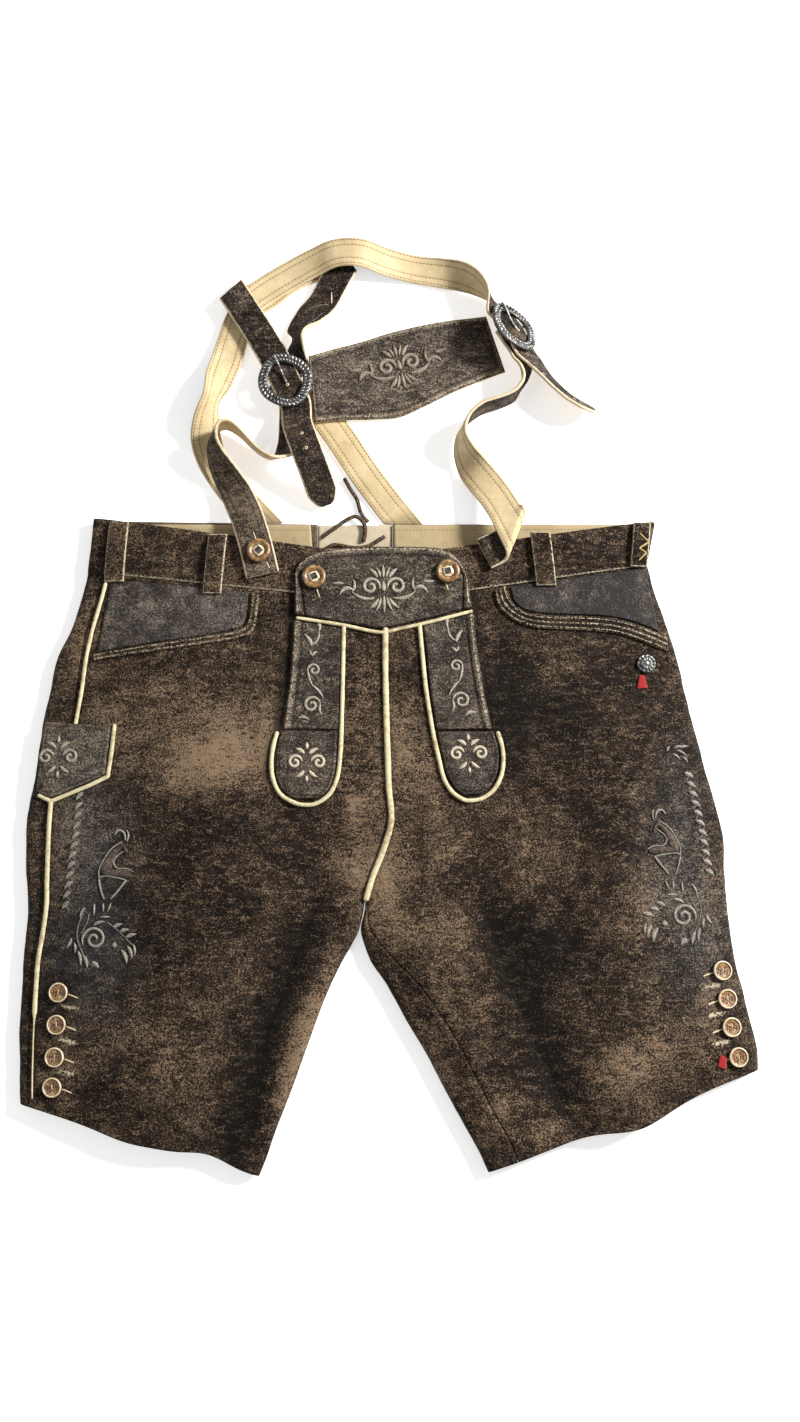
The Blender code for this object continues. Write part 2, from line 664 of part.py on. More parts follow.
def add_waistbands(side_name, first, band_top, vent_x, side, steps):
    """Front and back waistband of one side, above the first section's seam line."""
    front_face, front_back, back_face, back_back = [], [], [], []
    outer0, inner0, back0 = first.outer, first.inner, first.back_inner
    seam_share = (vent_x - outer0[0]) / (back0[0] - outer0[0])
    seam_y = blend(outer0[1], back0[1], seam_share) + SEAM * 1.5
    for t in (0.0, 0.12, 0.5, 0.88, 1.0):
        outer = (blend(outer0[0], band_top[0], t), blend(outer0[1] + SEAM * 1.5, band_top[1], t))
        inner = (inner0[0], blend(inner0[1] + SEAM * 1.5, CENTRE_BAND_TOP[1], t))
        back = (vent_x, blend(seam_y, BACK_BAND_TOP, t))
        rise = BAND_RISE * (1.0 - 0.5 * (t in (0.0, 1.0)))
        section = Section(outer, inner, back, 0.0, False, 0.0, rise)
        columns = spread(side + SEAM / 2, section.top_length, steps[0], (0, 18), 8)
        front_face.append([section.point(s, 0.0) for s in columns])
        front_back.append([section.point(s, BAND_LEATHER) for s in columns])
        columns = spread(side - SEAM / 2, -section.bottom_length, steps[1], (0,), 3)
        back_face.append([section.point(s, 0.0) for s in columns])
        back_back.append([section.point(s, BAND_LEATHER) for s in columns])
    front = add_walled("waistband_front_" + side_name, front_face, front_back, "worn_leather")
    add_walled("waistband_back_" + side_name, back_face, back_back, "worn_leather")
    return front


# ---------------------------------------------------------------- pieces that lie on the panels
class Surface:
    """The upper face of pieces already made, to lay others on."""

    def __init__(self, pieces):
        vertices, faces = [], []
        for piece in pieces:
            start = len(vertices)
            vertices += [v.co.copy() for v in piece.data.vertices]
            faces += [[start + i for i in p.vertices] for p in piece.data.polygons]
        self.tree = BVHTree.FromPolygons(vertices, faces)

    def height(self, x, y, reach=2.0):
        """Greatest height within reach of a drawing point, in millimetres."""
        best = 0.0
        steps = ((0, 0), (1, 0), (-1, 0), (0, 1), (0, -1), (0.7, 0.7), (-0.7, 0.7), (0.7, -0.7), (-0.7, -0.7))
        for dx, dy in steps:
            start = world(x + dx * reach, y + dy * reach, 200.0)
            hit = self.tree.ray_cast(start, Vector((0, 0, -1)))[0]
            if hit is not None:
                best = max(best, hit.z / MM)
        return best


def add_laid(name, surface, rows, across, between, thickness, finish, lift=GAP, bulge=0.0, hold=BACK_BAND_TOP):
    """A flat piece on a surface. rows hold its two edges (x, y, x, y) and are smoothed along their length.
    What reaches past hold, towards the waist, keeps the height that the surface has there."""
    count = (len(rows) - 1) * between + 1
    face, back = [], []
    for i in range(count):
        x1, y1, x2, y2 = curve_point(rows, i / (count - 1))
        hump = bulge * math.sin(math.pi * i / (count - 1))
        line = [(blend(x1, x2, c / across), blend(y1, y2, c / across)) for c in range(across + 1)]
        low = [surface.height(x, min(y, hold), LAID_REACH) + lift + hump for x, y in line]
        back.append([(x, y, z) for (x, y), z in zip(line, low)])
        face.append([(x, y, z + thickness) for (x, y), z in zip(line, low)])
    return add_walled(name, face, back, finish)


def add_tube(name, points, diameter, finish, sides=6, origin=(ORIGIN_X, ORIGIN_Y)):
    """A round cord through smooth points, as a curve with filled caps turned into a mesh."""
    data = bpy.data.curves.new(name, "CURVE")
    data.dimensions = "3D"
    data.bevel_depth = diameter / 2 * MM
    data.bevel_resolution = sides // 2 - 2
    data.use_fill_caps = True
    spline = data.splines.new("POLY")
    spline.points.add(len(points) - 1)
    for target, (x, y, z) in zip(spline.points, points):
        target.co = ((x - origin[0]) * MM, (y - origin[1]) * MM, z * MM, 1.0)
    holder = bpy.data.objects.new(name + "_curve", data)
    GARMENT.objects.link(holder)
    bpy.context.view_layer.update()
    mesh = bpy.data.meshes.new_from_object(holder.evaluated_get(bpy.context.evaluated_depsgraph_get()))
    bpy.data.objects.remove(holder)
    shape = bmesh.new()
    shape.from_mesh(mesh)
    bmesh.ops.remove_doubles(shape, verts=shape.verts, dist=1e-6)
    bmesh.ops.recalc_face_normals(shape, faces=shape.faces)
    shape.to_mesh(mesh)
    shape.free()
    mesh.name = name
    return add_object(name, mesh, finish)


def add_piping(name, surface, line, count):
    """Piping that lies along a line of plan points on a surface."""
    points = []
    for i in range(count + 1):
        x, y = curve_point(line, i / count)
        points.append((x, y, surface.height(x, y, PIPING) + GAP + PIPING / 2))
    return add_tube(name, points, PIPING, "cream_piping")


def add_turned(name, profile, steps, finish, place):
    """A button: a profile of radius and height in millimetres, from the top's middle down to the bottom's."""
    mesh = bpy.data.meshes.new(name)
    shape = bmesh.new()
    verts = [shape.verts.new((r * MM, 0, z * MM)) for r, z in profile]
    for a, b in zip(verts, verts[1:]):
        shape.edges.new((a, b))
    shape.to_mesh(mesh)
    shape.free()
    made = add_object(name, mesh, finish)
    turn = made.modifiers.new("turn", "SCREW")
    turn.steps = turn.render_steps = steps
    turn.use_merge_vertices = True
    turn.merge_threshold = 0.00001
    turn.use_smooth_shade = True
    made.matrix_world = place
    return made


def seat(surface, x, y, radius):
    """A frame on the surface under a round piece: its middle and the surface's slope there."""
    east, west = surface.height(x + radius, y, 1.0), surface.height(x - radius, y, 1.0)
    north, south = surface.height(x, y + radius, 1.0), surface.height(x, y - radius, 1.0)
    normal = Vector(((west - east) / (2 * radius), (south - north) / (2 * radius), 1.0)).normalized()
    rim = max(
        surface.height(x + radius * math.cos(a), y + radius * math.sin(a), 1.0)
        + (normal.x * radius * math.cos(a) + normal.y * radius * math.sin(a)) / normal.z
        for a in [k * math.pi / 8 for k in range(16)]
    )
    middle = max(rim, surface.height(x, y, 1.0)) + GAP
    turn = Vector((0, 0, 1)).rotation_difference(normal).to_matrix().to_4x4()
    return Matrix.Translation(world(x, y, middle)) @ turn


def add_button(name, surface, place, diameter, height, finish, steps=12):
    """A dished button with a raised rim and a low shank."""
    r = diameter / 2
    profile = (
        (0, 0.62 * height), (0.52 * r, 0.62 * height), (0.78 * r, height), (r, 0.62 * height),
        (0.82 * r, 0.18 * height), (0.42 * r, 0), (0, 0),
    )
    return add_turned(name, profile, steps, finish, seat(surface, *place, 0.6 * r))


# ---------------------------------------------------------------- braces
def width_vector(across, tilt):
    a, t = math.radians(across), math.radians(tilt)
    return Vector((math.cos(t) * math.cos(a), math.cos(t) * math.sin(a), math.sin(t)))


def strap_stations(rows):
    """Stations as [place, width vector, whether the width is ruled]. A FOLD row is worked out as a turn about
    its line: the strap is ruled along the line there, so that it rolls over it like a sheet."""
    stations = []
    for row in rows:
        if row[0] in (THROUGH, UNDER):
            frame = buckle_frame(row[1])
            side = frame.to_3x3() @ Vector((1, 0, 0))
            for along, depth in BUCKLE_PATHS[row[0]]:
                place = Vector(row[1][:3]) + frame.to_3x3() @ Vector((0, along, depth))
                stations.append([place, side, False])
            continue
        if row[0] != FOLD:
            x, y, z, across, tilt = row
            stations.append([Vector((x, y, z)), width_vector(across, tilt), False])
            continue
        before, start, across = stations[-2][0], stations[-1][0], stations[-1][1]
        travel = start - before
        travel.z = 0.0
        travel.normalize()
        _, line_angle, rise = row
        line = width_vector(line_angle, 0)
        outward = Vector((-line.y, line.x, 0.0))
        if outward.dot(travel) < 0:
            outward.negate()
        radius = abs(rise) / 2
        slant = travel.dot(line) / travel.dot(outward)
        ruling = line / travel.dot(outward)
        if ruling.dot(across) < 0:
            ruling.negate()
        stations[-1] = [start, ruling, True]
        for step in range(1, FOLD_STEPS + 1):
            angle = math.pi * step / FOLD_STEPS
            place = start + line * slant * radius * angle + outward * radius * math.sin(angle)
            place.z = start.z + rise / 2 * (1 - math.cos(angle))
            stations.append([place, ruling, True])
    for i, (place, across, ruled) in enumerate(stations):
        if not ruled:
            travel = stations[min(i + 1, len(stations) - 1)][0] - stations[max(i - 1, 0)][0]
            travel.normalize()
            stations[i][1] = (across - travel * across.dot(travel)).normalized()
    return stations


def strap_chains(stations):
    """The stations as lists of values that are smooth on their own, parted where a fold starts and ends."""
    chains = []
    for i, (place, across, ruled) in enumerate(stations):
        values = (*place, *across)
        if not chains:
            chains.append(([values], False))
            continue
        chains[-1][0].append(values)
        if ruled != chains[-1][1] and i + 1 < len(stations):
            chains.append(([values], ruled))
    return chains


def add_strap(name, rows, width, finish, between, tip=0.0, mitre=None):
    """A flat strap swept along its stations, its width kept. tip is the length of a pointed start, mitre the
    drawing's y on which the strap's end is cut."""
    samples = []
    for chain, ruled in strap_chains(strap_stations(rows)):
        count = len(chain) - 1 if ruled else (len(chain) - 1) * between
        samples += [curve_point(chain, i / count) for i in range(count + 1)][1 if samples else 0:]
    count = len(samples) - 1
    places = [Vector(s[:3]) for s in samples]
    face, back = [], []
    run = 0.0
    for i, sample in enumerate(samples):
        travel = (places[min(i + 1, count)] - places[max(i - 1, 0)]).normalized()
        across = Vector(sample[3:])
        up = across.cross(travel).normalized()
        if i:
            run += (places[i] - places[i - 1]).length
        half = width / 2
        if tip and run < tip:
            half *= 0.3 + 0.7 * run / tip
        edges = [places[i] + across * half * side for side in (-1, 1)]
        face.append([tuple(e + up * STRAP / 2) for e in edges])
        back.append([tuple(e - up * STRAP / 2) for e in edges])
    if mitre is not None:
        for grid in (face, back):
            grid.append([tuple(Vector(p) + travel * (mitre - p[1]) / travel.y) for p in grid[-1]])
    return add_walled(name, face, back, finish)


def buckle_frame(spec):
    """A buckle's axes: its bar, the way of the strap, and the way up out of its frame."""
    x, y, z, across, tilt = spec
    side = width_vector(across, tilt)
    along = Vector((-math.sin(math.radians(across)), math.cos(math.radians(across)), 0.0))
    frame = Matrix((side, along, side.cross(along).normalized())).transposed().to_4x4()
    frame.translation = world(x, y, z)
    return frame


def add_buckle(name, spec):
    """An oval cast frame with a bar that dips under the strap."""
    frame = buckle_frame(spec)
    bpy.ops.mesh.primitive_torus_add(
        major_segments=22, minor_segments=6, major_radius=0.5, minor_radius=BUCKLE_WIRE / 2 * MM,
    )
    ring = bpy.context.object
    mesh = ring.data
    a = (BUCKLE_WIDTH - BUCKLE_WIRE) / 2 * MM
    b = (BUCKLE_LENGTH - BUCKLE_WIRE) / 2 * MM
    for v in mesh.vertices:
        angle = math.atan2(v.co.y, v.co.x)
        off = Vector((v.co.x, v.co.y)).length - 0.5
        v.co.x = (a + off) * math.cos(angle)
        v.co.y = (b + off) * math.sin(angle)
    bpy.data.objects.remove(ring)
    mesh.name = name
    made = add_object(name, mesh, "old_silver")
    reach = a / MM
    steps = 10
    points = []
    for i in range(steps + 1):
        u = -1 + 2 * i / steps
        points.append((u * reach, 0.0, -BAR_DIP * (1 - abs(u) ** 6)))
    bar = add_tube(name + "_bar", points, BAR, "old_silver", origin=ZERO)
    join = made.modifiers.new("bar", "BOOLEAN")
    join.operation = "UNION"
    join.solver = "EXACT"
    join.object = bar
    bar.hide_render = True
    bar.display_type = "WIRE"
    GARMENT.objects.unlink(bar)
    CUTTERS.objects.link(bar)
    made.matrix_world = frame
    bar.matrix_world = frame
    return frame


def add_prong(name, frame):
    """The buckle's prong, which lies over the strap from the middle to the frame's upper rim."""
    rest = OVER_BAR + STRAP / 2 + 2 * GAP + PRONG / 2
    over = BUCKLE_WIRE / 2 + GAP + PRONG / 2
    line = (
        (0, -3, rest),
        (0, 4, rest),
        (0, 10, blend(rest, over, 0.3)),
        (0, 16, blend(rest, over, 0.8)),
        (0, 22, over),
        (0, 24, over),
    )
    made = add_tube(name, [curve_point(line, i / 10) for i in range(11)], PRONG, "old_silver", origin=ZERO)
    made.matrix_world = frame


# ---------------------------------------------------------------- the garment
def new_collection(name):
    made = bpy.data.collections.new(name)
    bpy.context.scene.collection.children.link(made)
    return made


for old in list(bpy.data.objects):
    bpy.data.objects.remove(old, do_unlink=True)
GARMENT = new_collection("lederhosen")
CUTTERS = new_collection("cutters")


def build_trousers():
    """Panels and waistbands; returns the pieces that carry the rest."""
    right = leg_sections(RIGHT_SECTIONS, -1)
    left = leg_sections(LEFT_SECTIONS, 1)
    panels = add_panel_pair("right", right, RIGHT_FRONT_STEPS, RIGHT_BACK_STEPS, FIRST_LEG_ROW)
    panels += add_panel_pair("left", left, LEFT_FRONT_STEPS, LEFT_BACK_STEPS)
    right_side, left_side = RIGHT_SECTIONS[0][4], LEFT_SECTIONS[0][4]
    band_right = add_waistbands("right", right[0][0], RIGHT_BAND_TOP, VENT_RIGHT, right_side, RIGHT_BAND_STEPS)
    band_left = add_waistbands("left", left[0][0], LEFT_BAND_TOP, VENT_LEFT, left_side, LEFT_BAND_STEPS)
    return [*panels, band_right, band_left]


def build_waist_inside():
    """The tan inner face of the back waistband and the pale gusset of its vent."""
    on_band = BAND_LEATHER + GAP
    vent = (VENT_RIGHT + SEAM, VENT_LEFT - SEAM)
    strips = {
        # name: lower edge from, to, height, thickness, finish
        "band_lining_right": ((-243, 122), (-73.5, 118), on_band, LINING, "tan_lining"),
        "band_lining_left": ((-2.5, 118), (194, 124), on_band, LINING, "tan_lining"),
        "vent_gusset": ((vent[0], 116), (vent[1], 116), GAP, GUSSET, "cream_piping"),
    }
    for name, ((x1, y1), (x2, y2), low, thick, finish) in strips.items():
        face, back = [], []
        for t in (0.0, 0.5, 1.0):
            low_y = [blend(y1, y2, c / 6) for c in range(7)]
            row = [(blend(x1, x2, c / 6), blend(low_y[c], LINING_TOP, t)) for c in range(7)]
            back.append([(x, y, low) for x, y in row])
            face.append([(x, y, low + thick) for x, y in row])
        add_walled(name, face, back, finish)


def build_trim(panels):
    """Flap, pockets, loops, piping, tabs and buttons."""
    surface = Surface(panels)
    made = []
    made.append(add_laid("facing_right", surface, RIGHT_FACING, 3, 2, FACING, "smooth_leather"))
    made.append(add_laid("facing_left", surface, LEFT_FACING, 3, 2, FACING, "smooth_leather"))
    made.append(add_laid("welt_right", surface, RIGHT_WELT, 1, 2, WELT, "worn_leather"))
    made.append(add_laid("welt_left", surface, LEFT_WELT, 2, 2, WELT, "worn_leather"))
    below_top = CENTRE_BAND_TOP[1] - 6
    made.append(add_laid("bib", surface, BIB, 4, 2, OVERLAY, "smooth_leather", lift=0.6, hold=below_top))
    for side, strip, end in (("right", RIGHT_STRIP, RIGHT_END), ("left", LEFT_STRIP, LEFT_END)):
        made.append(add_laid("strip_" + side, surface, strip, 3, 2, OVERLAY, "worn_leather", lift=0.5))
        made.append(add_laid("strip_end_" + side, surface, end, 3, 1, OVERLAY, "smooth_leather", lift=0.5))
    made.append(add_laid("knife_flap", surface, KNIFE_FLAP, 3, 2, POCKET_FLAP, "smooth_leather", lift=0.6))
    under_loops = Surface(panels + made)
    for name, (top_x, top_y, low_x, low_y, width) in BELT_LOOPS.items():
        half = width / 2
        rows = ((top_x - half, top_y, top_x + half, top_y), (low_x - half, low_y, low_x + half, low_y))
        made.append(add_laid(
            name, under_loops, rows, 2, 6, OVERLAY, "worn_leather", lift=0.4, bulge=LOOP_BULGE, hold=top_y - 6))
    add_piping("piping_bib", surface, BIB_PIPING, 16)
    add_piping("piping_strip_right", surface, RIGHT_END_PIPING, 30)
    add_piping("piping_strip_left", surface, LEFT_END_PIPING, 30)
    add_piping("piping_centre", surface, CENTRE_PIPING, 22)
    add_piping("piping_side_upper", surface, SIDE_PIPING_UPPER, 10)
    add_piping("piping_side_lower", surface, SIDE_PIPING_LOWER, 20)
    add_piping("piping_knife_flap", surface, KNIFE_FLAP_PIPING, 14)
    add_laid("concho_tab", surface, CONCHO_TAB, 1, 2, TAB, "red_tab")
    add_laid("hem_tab", surface, HEM_TAB, 1, 2, TAB, "red_tab")
    for side, places in (("right", RIGHT_LEG_BUTTONS), ("left", LEFT_LEG_BUTTONS)):
        for i, place in enumerate(places, 1):
            add_button(f"leg_button_{side}_{i}", surface, place, LEG_BUTTON, LEG_BUTTON_RISE, "horn")
    add_button("concho", surface, CONCHO_PLACE, CONCHO, CONCHO_RISE, "old_silver")
    upper = Surface(panels + made)
    for name, place in FLAP_BUTTONS.items():
        add_button(name, upper, place, FLAP_BUTTON, FLAP_BUTTON_RISE, "horn", 16)


def build_braces():
    """Straps, chest piece, buckles and prongs; returns the strap that carries the braces' button."""
    front = add_strap("front_strap_right", RIGHT_FRONT_STRAP, FRONT_STRAP_WIDTH, "worn_leather", 2)
    add_strap("front_strap_left", LEFT_FRONT_STRAP, FRONT_STRAP_WIDTH, "worn_leather", 2)
    add_strap("long_strap_right", RIGHT_LONG_STRAP, LONG_STRAP_WIDTH, "worn_leather", 2, tip=12.0)
    add_strap("rear_strap_left", LEFT_REAR_STRAP, LONG_STRAP_WIDTH, "tan_lining", 2, mitre=BACK_BAND_TOP + 0.5)
    mitre = BACK_BAND_TOP + 1.6
    add_strap("long_strap_left", LEFT_LONG_STRAP, LONG_STRAP_WIDTH, "tan_lining", 2, tip=12.0, mitre=mitre)
    face, back = [], []
    count = 2 * (len(CHEST_PIECE) - 1)
    for i in range(count + 1):
        x1, y1, z1, x2, y2, z2 = curve_point(CHEST_PIECE, i / count)
        line = [(blend(x1, x2, c / 4), blend(y1, y2, c / 4), blend(z1, z2, c / 4)) for c in range(5)]
        face.append([(x, y, z + STRAP / 2) for x, y, z in line])
        back.append([(x, y, z - STRAP / 2) for x, y, z in line])
    add_walled("chest_piece", face, back, "smooth_leather")
    for side, spec in (("right", RIGHT_BUCKLE), ("left", LEFT_BUCKLE)):
        add_prong("buckle_prong_" + side, add_buckle("buckle_" + side, spec))
    return front


def build_laces():
    """The vent's thong, which passes under the gusset's edges between its three stretches."""
    for name, stations in LACES.items():
        count = 3 * (len(stations) - 1)
        points = [curve_point(stations, i / count) for i in range(count + 1)]
        add_tube(name, points, LACE, "worn_leather", sides=8)


def build():
    panels = build_trousers()
    build_waist_inside()
    build_trim(panels)
    strap = build_braces()
    strap_top = Surface([strap])
    add_button("brace_button", strap_top, BRACE_BUTTON, FLAP_BUTTON, FLAP_BUTTON_RISE, "horn", 16)
    build_laces()


build()
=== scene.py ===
"""The look of the lederhosen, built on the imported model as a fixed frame. Tables are in millimetres of the
part's drawing, as in part.py. ORIGIN_X and ORIGIN_Y are the drawing's point that is the part's origin."""
import json
import math

import bpy
import numpy as np
from mathutils import Matrix, Vector
from mathutils.bvhtree import BVHTree

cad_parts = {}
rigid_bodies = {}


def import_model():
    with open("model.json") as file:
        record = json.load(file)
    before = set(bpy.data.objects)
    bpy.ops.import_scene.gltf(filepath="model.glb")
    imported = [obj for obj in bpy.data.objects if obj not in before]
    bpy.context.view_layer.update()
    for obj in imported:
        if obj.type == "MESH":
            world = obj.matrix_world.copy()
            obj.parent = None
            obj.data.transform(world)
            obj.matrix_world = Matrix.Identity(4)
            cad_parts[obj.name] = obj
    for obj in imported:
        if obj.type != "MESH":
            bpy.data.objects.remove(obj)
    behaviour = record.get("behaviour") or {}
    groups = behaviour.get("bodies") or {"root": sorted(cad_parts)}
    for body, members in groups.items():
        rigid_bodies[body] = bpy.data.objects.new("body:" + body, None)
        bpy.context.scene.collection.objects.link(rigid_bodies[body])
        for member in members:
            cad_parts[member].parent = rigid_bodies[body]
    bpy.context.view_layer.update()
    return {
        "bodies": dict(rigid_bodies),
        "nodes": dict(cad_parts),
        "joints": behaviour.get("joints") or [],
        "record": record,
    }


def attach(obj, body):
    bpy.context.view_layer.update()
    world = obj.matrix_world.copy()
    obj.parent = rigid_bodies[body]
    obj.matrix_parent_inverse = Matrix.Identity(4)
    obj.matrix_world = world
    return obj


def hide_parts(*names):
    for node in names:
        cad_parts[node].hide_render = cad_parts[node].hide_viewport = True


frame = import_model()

MM = 0.001
ORIGIN_X = -10.5
ORIGIN_Y = 21.8

# ---------------------------------------------------------------- driving dimensions, millimetres
LEATHER = 2.0          # wall of the trouser panels
BAND_LEATHER = 2.6     # doubled leather of the waistband
GAP = 0.3              # clearance between pieces that lie on or beside each other
SEAM = 0.4             # width left open at a sewn seam
LOFT = 15.5            # height of the front panels over the ground
FOLD_HEIGHT = 12.0     # height of the folded edges of the legs
FOLD_RADIUS = 8.0      # sideways radius of the folded edges
EDGE_EASE = 26.0       # distance over which the front rises from a folded edge
BAND_RISE = 0.9        # how far the waistband stands over the panels

STRAP = 3.0            # thickness of a strap: leather and lining
FRONT_STRAP_WIDTH = 28.0
LONG_STRAP_WIDTH = 26.0
PIPING = 2.4           # diameter of the piping
LACE = 3.4             # diameter of the vent lace
FOLD_STEPS = 6         # stations on half a turn over a fold
LEG_BUTTON = 15.5      # diameters of the buttons
FLAP_BUTTON = 20.0
CONCHO = 16.0
BUCKLE_LENGTH = 49.0   # outer size of a buckle across and along its strap
BUCKLE_WIDTH = 46.0
BUCKLE_WIRE = 5.0
BAR = 3.0              # diameter of a buckle's bar
PRONG = 2.2
LAID_REACH = 3.0       # a laid piece clears the highest point this near to each of its own
OVERLAY = 2.4          # thickness of the bib, its strips and the belt loops
WELT = 2.0             # thickness of the pocket welts
FACING = 0.9           # thickness of the pocket facings
POCKET_FLAP = 2.2      # thickness of the knife pocket's flap
TAB = 0.8              # thickness of the sewn-in tabs
LINING = 1.4           # thickness of the waistband's inner face
LINING_TOP = 159.4     # drawing height of its top edge
GUSSET = 1.8           # thickness of the vent's gusset
LOOP_BULGE = 2.2       # how far a belt loop stands off the waistband in its middle
LEG_BUTTON_RISE = 3.6  # heights of the buttons
CONCHO_RISE = 3.4
FLAP_BUTTON_RISE = 4.2

# ---------------------------------------------------------------- trouser sections
# One row is one section across a leg. out_x, out_y: folded outer edge. in_x, in_y: centre front above the
# crotch, folded inner edge below it. side: distance from the outer edge, over the top, to the side seam
# (negative lies underneath). inseam: the same from the inner edge. drop: how far the front has come down
# to the height of the inner fold.
RIGHT_SECTIONS = (
    # out_x, out_y, in_x, in_y, side, inseam, drop
    (-262, 115, -12, 88, 19, 0, 0.0),
    (-267, 92, -12, 66, 19, 0, 0.0),
    (-273, 70, -12, 42, 19, 0, 0.0),
    (-284, 44, -12, 16, 25, 0, 0.0),
    (-289, 16, -11, -11, 28, 0, 0.0),
    (-294, -11, -10, -38, 28, 0, 0.0),
    (-297, -40, -9, -66, 24, 0, 0.05),
    (-300, -66, -7, -92, 20, 0, 0.15),
    (-303, -90, -13, -115, 20, 0, 0.35),
    (-304, -112, -22, -138, 21, 0, 0.65),
    (-303, -134, -28.9, -160, 20, 0, 1.0),
    (-301, -150, -33.0, -180, 19, 4, 1.0),
    (-300, -166, -45, -202, 17, 7, 1.0),
    (-301, -186, -56, -225, 15, 3, 1.0),
    (-302, -208, -66, -250, 14, 1, 1.0),
    (-302, -232, -76, -278, 14, 0, 1.0),
    (-302, -258, -86, -306, 13, 0, 1.0),
    (-301, -284, -97, -334, 13, 0, 1.0),
    (-300, -302, -104, -355, 12, 0, 1.0),
    (-299, -315, -110, -370, 12, 0, 1.0),
)
LEFT_SECTIONS = (
    # out_x, out_y, in_x, in_y, side, inseam, drop
    (208, 121, -12, 88, -8, 0, 0.0),
    (213, 100, -12, 66, -8, 0, 0.0),
    (221, 76, -12, 42, -8, 0, 0.0),
    (228, 50, -12, 16, -8, 0, 0.0),
    (234, 22, -11, -11, -8, 0, 0.0),
    (240, -5, -10, -38, -8, 0, 0.0),
    (246, -32, -9, -66, -8, 0, 0.05),
    (252, -58, -7, -92, -8, 0, 0.15),
    (258.4, -82, -13, -115, -8, 0, 0.35),
    (262.4, -106, -22, -138, -8, 0, 0.65),
    (262.5, -130, -28.0, -160, -8, 3, 1.0),
    (263, -146, -31.6, -180, -8, 12, 1.0),
    (264, -163, -25, -203, -8, 22, 1.0),
    (266, -183, -10, -225, -8, 28, 1.0),
    (269, -205, 4, -250, -8, 32, 1.0),
    (273, -225, 21, -278, -8, 32, 1.0),
    (277, -245, 36, -306, -8, 31, 1.0),
    (281, -262, 50, -331, -8, 30, 1.0),
    (283, -277, 61, -350, -8, 30, 1.0),
    (283, -289, 69, -367, -8, 29, 1.0),
)
FIRST_LEG_ROW = 10
BACK_CENTRE = ((-36, 112), (-29, -146))   # centre-back seam, waist and crotch
CROTCH_FOLD_RADIUS = 4.0

# Soft folds of the front: from and to, half width, height (negative is a trough).
FRONT_FOLDS = (
    # x1, y1, x2, y2, half_width, height
    (-66, -140, -128, -345, 20, -5.0),
    (-44, -195, -104, -360, 15, 7.0),
    (-140, -120, -186, -350, 38, 4.0),
    (-245, -110, -240, -300, 34, 2.5),
    (66, -150, 138, -340, 19, -5.0),
    (8, -195, 84, -360, 18, 6.0),
    (165, -110, 178, -355, 24, 4.5),
    (232, -120, 238, -280, 26, 2.5),
    (-36, -122, -112, -78, 20, -3.0),
    (16, -122, 96, -82, 20, -3.0),
    (-196, 20, -150, -70, 34, 3.0),
    (140, 10, 170, -70, 34, 3.0),
    (-100, 96, -40, 98, 26, 1.5),
    (-230, 84, -140, 76, 18, -1.5),
    (110, 92, 190, 98, 18, -1.5),
)
# Waistband, front: top edge at the outer fold and at the centre front, and the back top edge.
RIGHT_BAND_TOP = (-259, 163)
LEFT_BAND_TOP = (215, 160)
CENTRE_BAND_TOP = (-12, 128)
BACK_BAND_TOP = 160
VENT_RIGHT = -70
VENT_LEFT = -6

# ---------------------------------------------------------------- flap, pockets and trim in plan
BIB = (
    # top_x, top_y, bottom_x, bottom_y
    (-87, 111, -88, 78),
    (-85, 120, -80, 76.5),
    (-76, 128, -70, 75),
    (-60, 133, -52, 72),
    (-34, 135.5, -32, 69),
    (-8, 136, -17, 66.5),
    (14, 136, 2, 70),
    (32, 134.5, 22, 74.5),
    (44, 129.5, 38, 78.5),
    (52, 120, 50, 82),
    (56, 108, 60, 84),
)
BIB_PIPING = ((-86, 75), (-70, 72.5), (-47, 69), (-17, 63), (2, 66.5), (22, 71), (45, 77), (60, 81))
RIGHT_STRIP = (
    # outer_x, outer_y, inner_x, inner_y
    (-88, 73, -49, 66.5),
    (-89, 50, -49, 46),
    (-90.5, 26, -49.5, 22),
    (-93, 3, -50, 0),
    (-96, -18, -50.5, -18.5),
)
LEFT_STRIP = (
    (61, 79, 19, 68.5),
    (63.5, 52, 21.5, 47),
    (67, 26, 24, 22),
    (71, 3, 27, 0),
    (75, -18, 30, -18.5),
)
RIGHT_END = (
    (-97, -19.5, -51, -20),
    (-99.5, -31, -51.5, -32),
    (-101, -45, -52, -45),
    (-100, -58, -54, -58),
    (-94, -69, -59, -69),
    (-84, -75, -67, -75),
)
LEFT_END = (
    (76, -19.5, 30.5, -20),
    (79.5, -31, 32.5, -32),
    (80.5, -42, 35, -43),
    (79, -54, 38, -55),
    (73, -65, 44.5, -66),
    (64, -71.5, 52, -72),
)
RIGHT_END_PIPING = (
    (-46.5, 64), (-46.8, 40), (-47.2, 10), (-47.8, -20), (-48.8, -42), (-51, -58), (-57, -71), (-67, -78.5),
    (-76, -80), (-86, -78), (-97, -71), (-103, -59), (-104.5, -45), (-103, -31), (-100, -20),
)
LEFT_END_PIPING = (
    (16.5, 66), (18.5, 44), (21.5, 14), (26.5, -18), (29.5, -33), (32, -44), (35.5, -58), (42, -69),
    (51, -75.5), (58, -76.5), (67, -74.5), (76.5, -67), (82.5, -55), (84, -42), (82.8, -31), (79.5, -20),
)
CENTRE_PIPING = (
    (-12, 60), (-12, 34), (-11, -11), (-10, -38), (-9, -66), (-7, -92), (-13, -115), (-22, -138),
    (-27.6, -157),
)
KNIFE_FLAP = (
    # top_x, top_y, bottom_x, bottom_y
    (-291, -11, -296, -68),
    (-280, -12, -284, -74),
    (-266, -13, -268, -68),
    (-250, -14.5, -252, -61.5),
    (-236, -16.5, -239.5, -56),
)
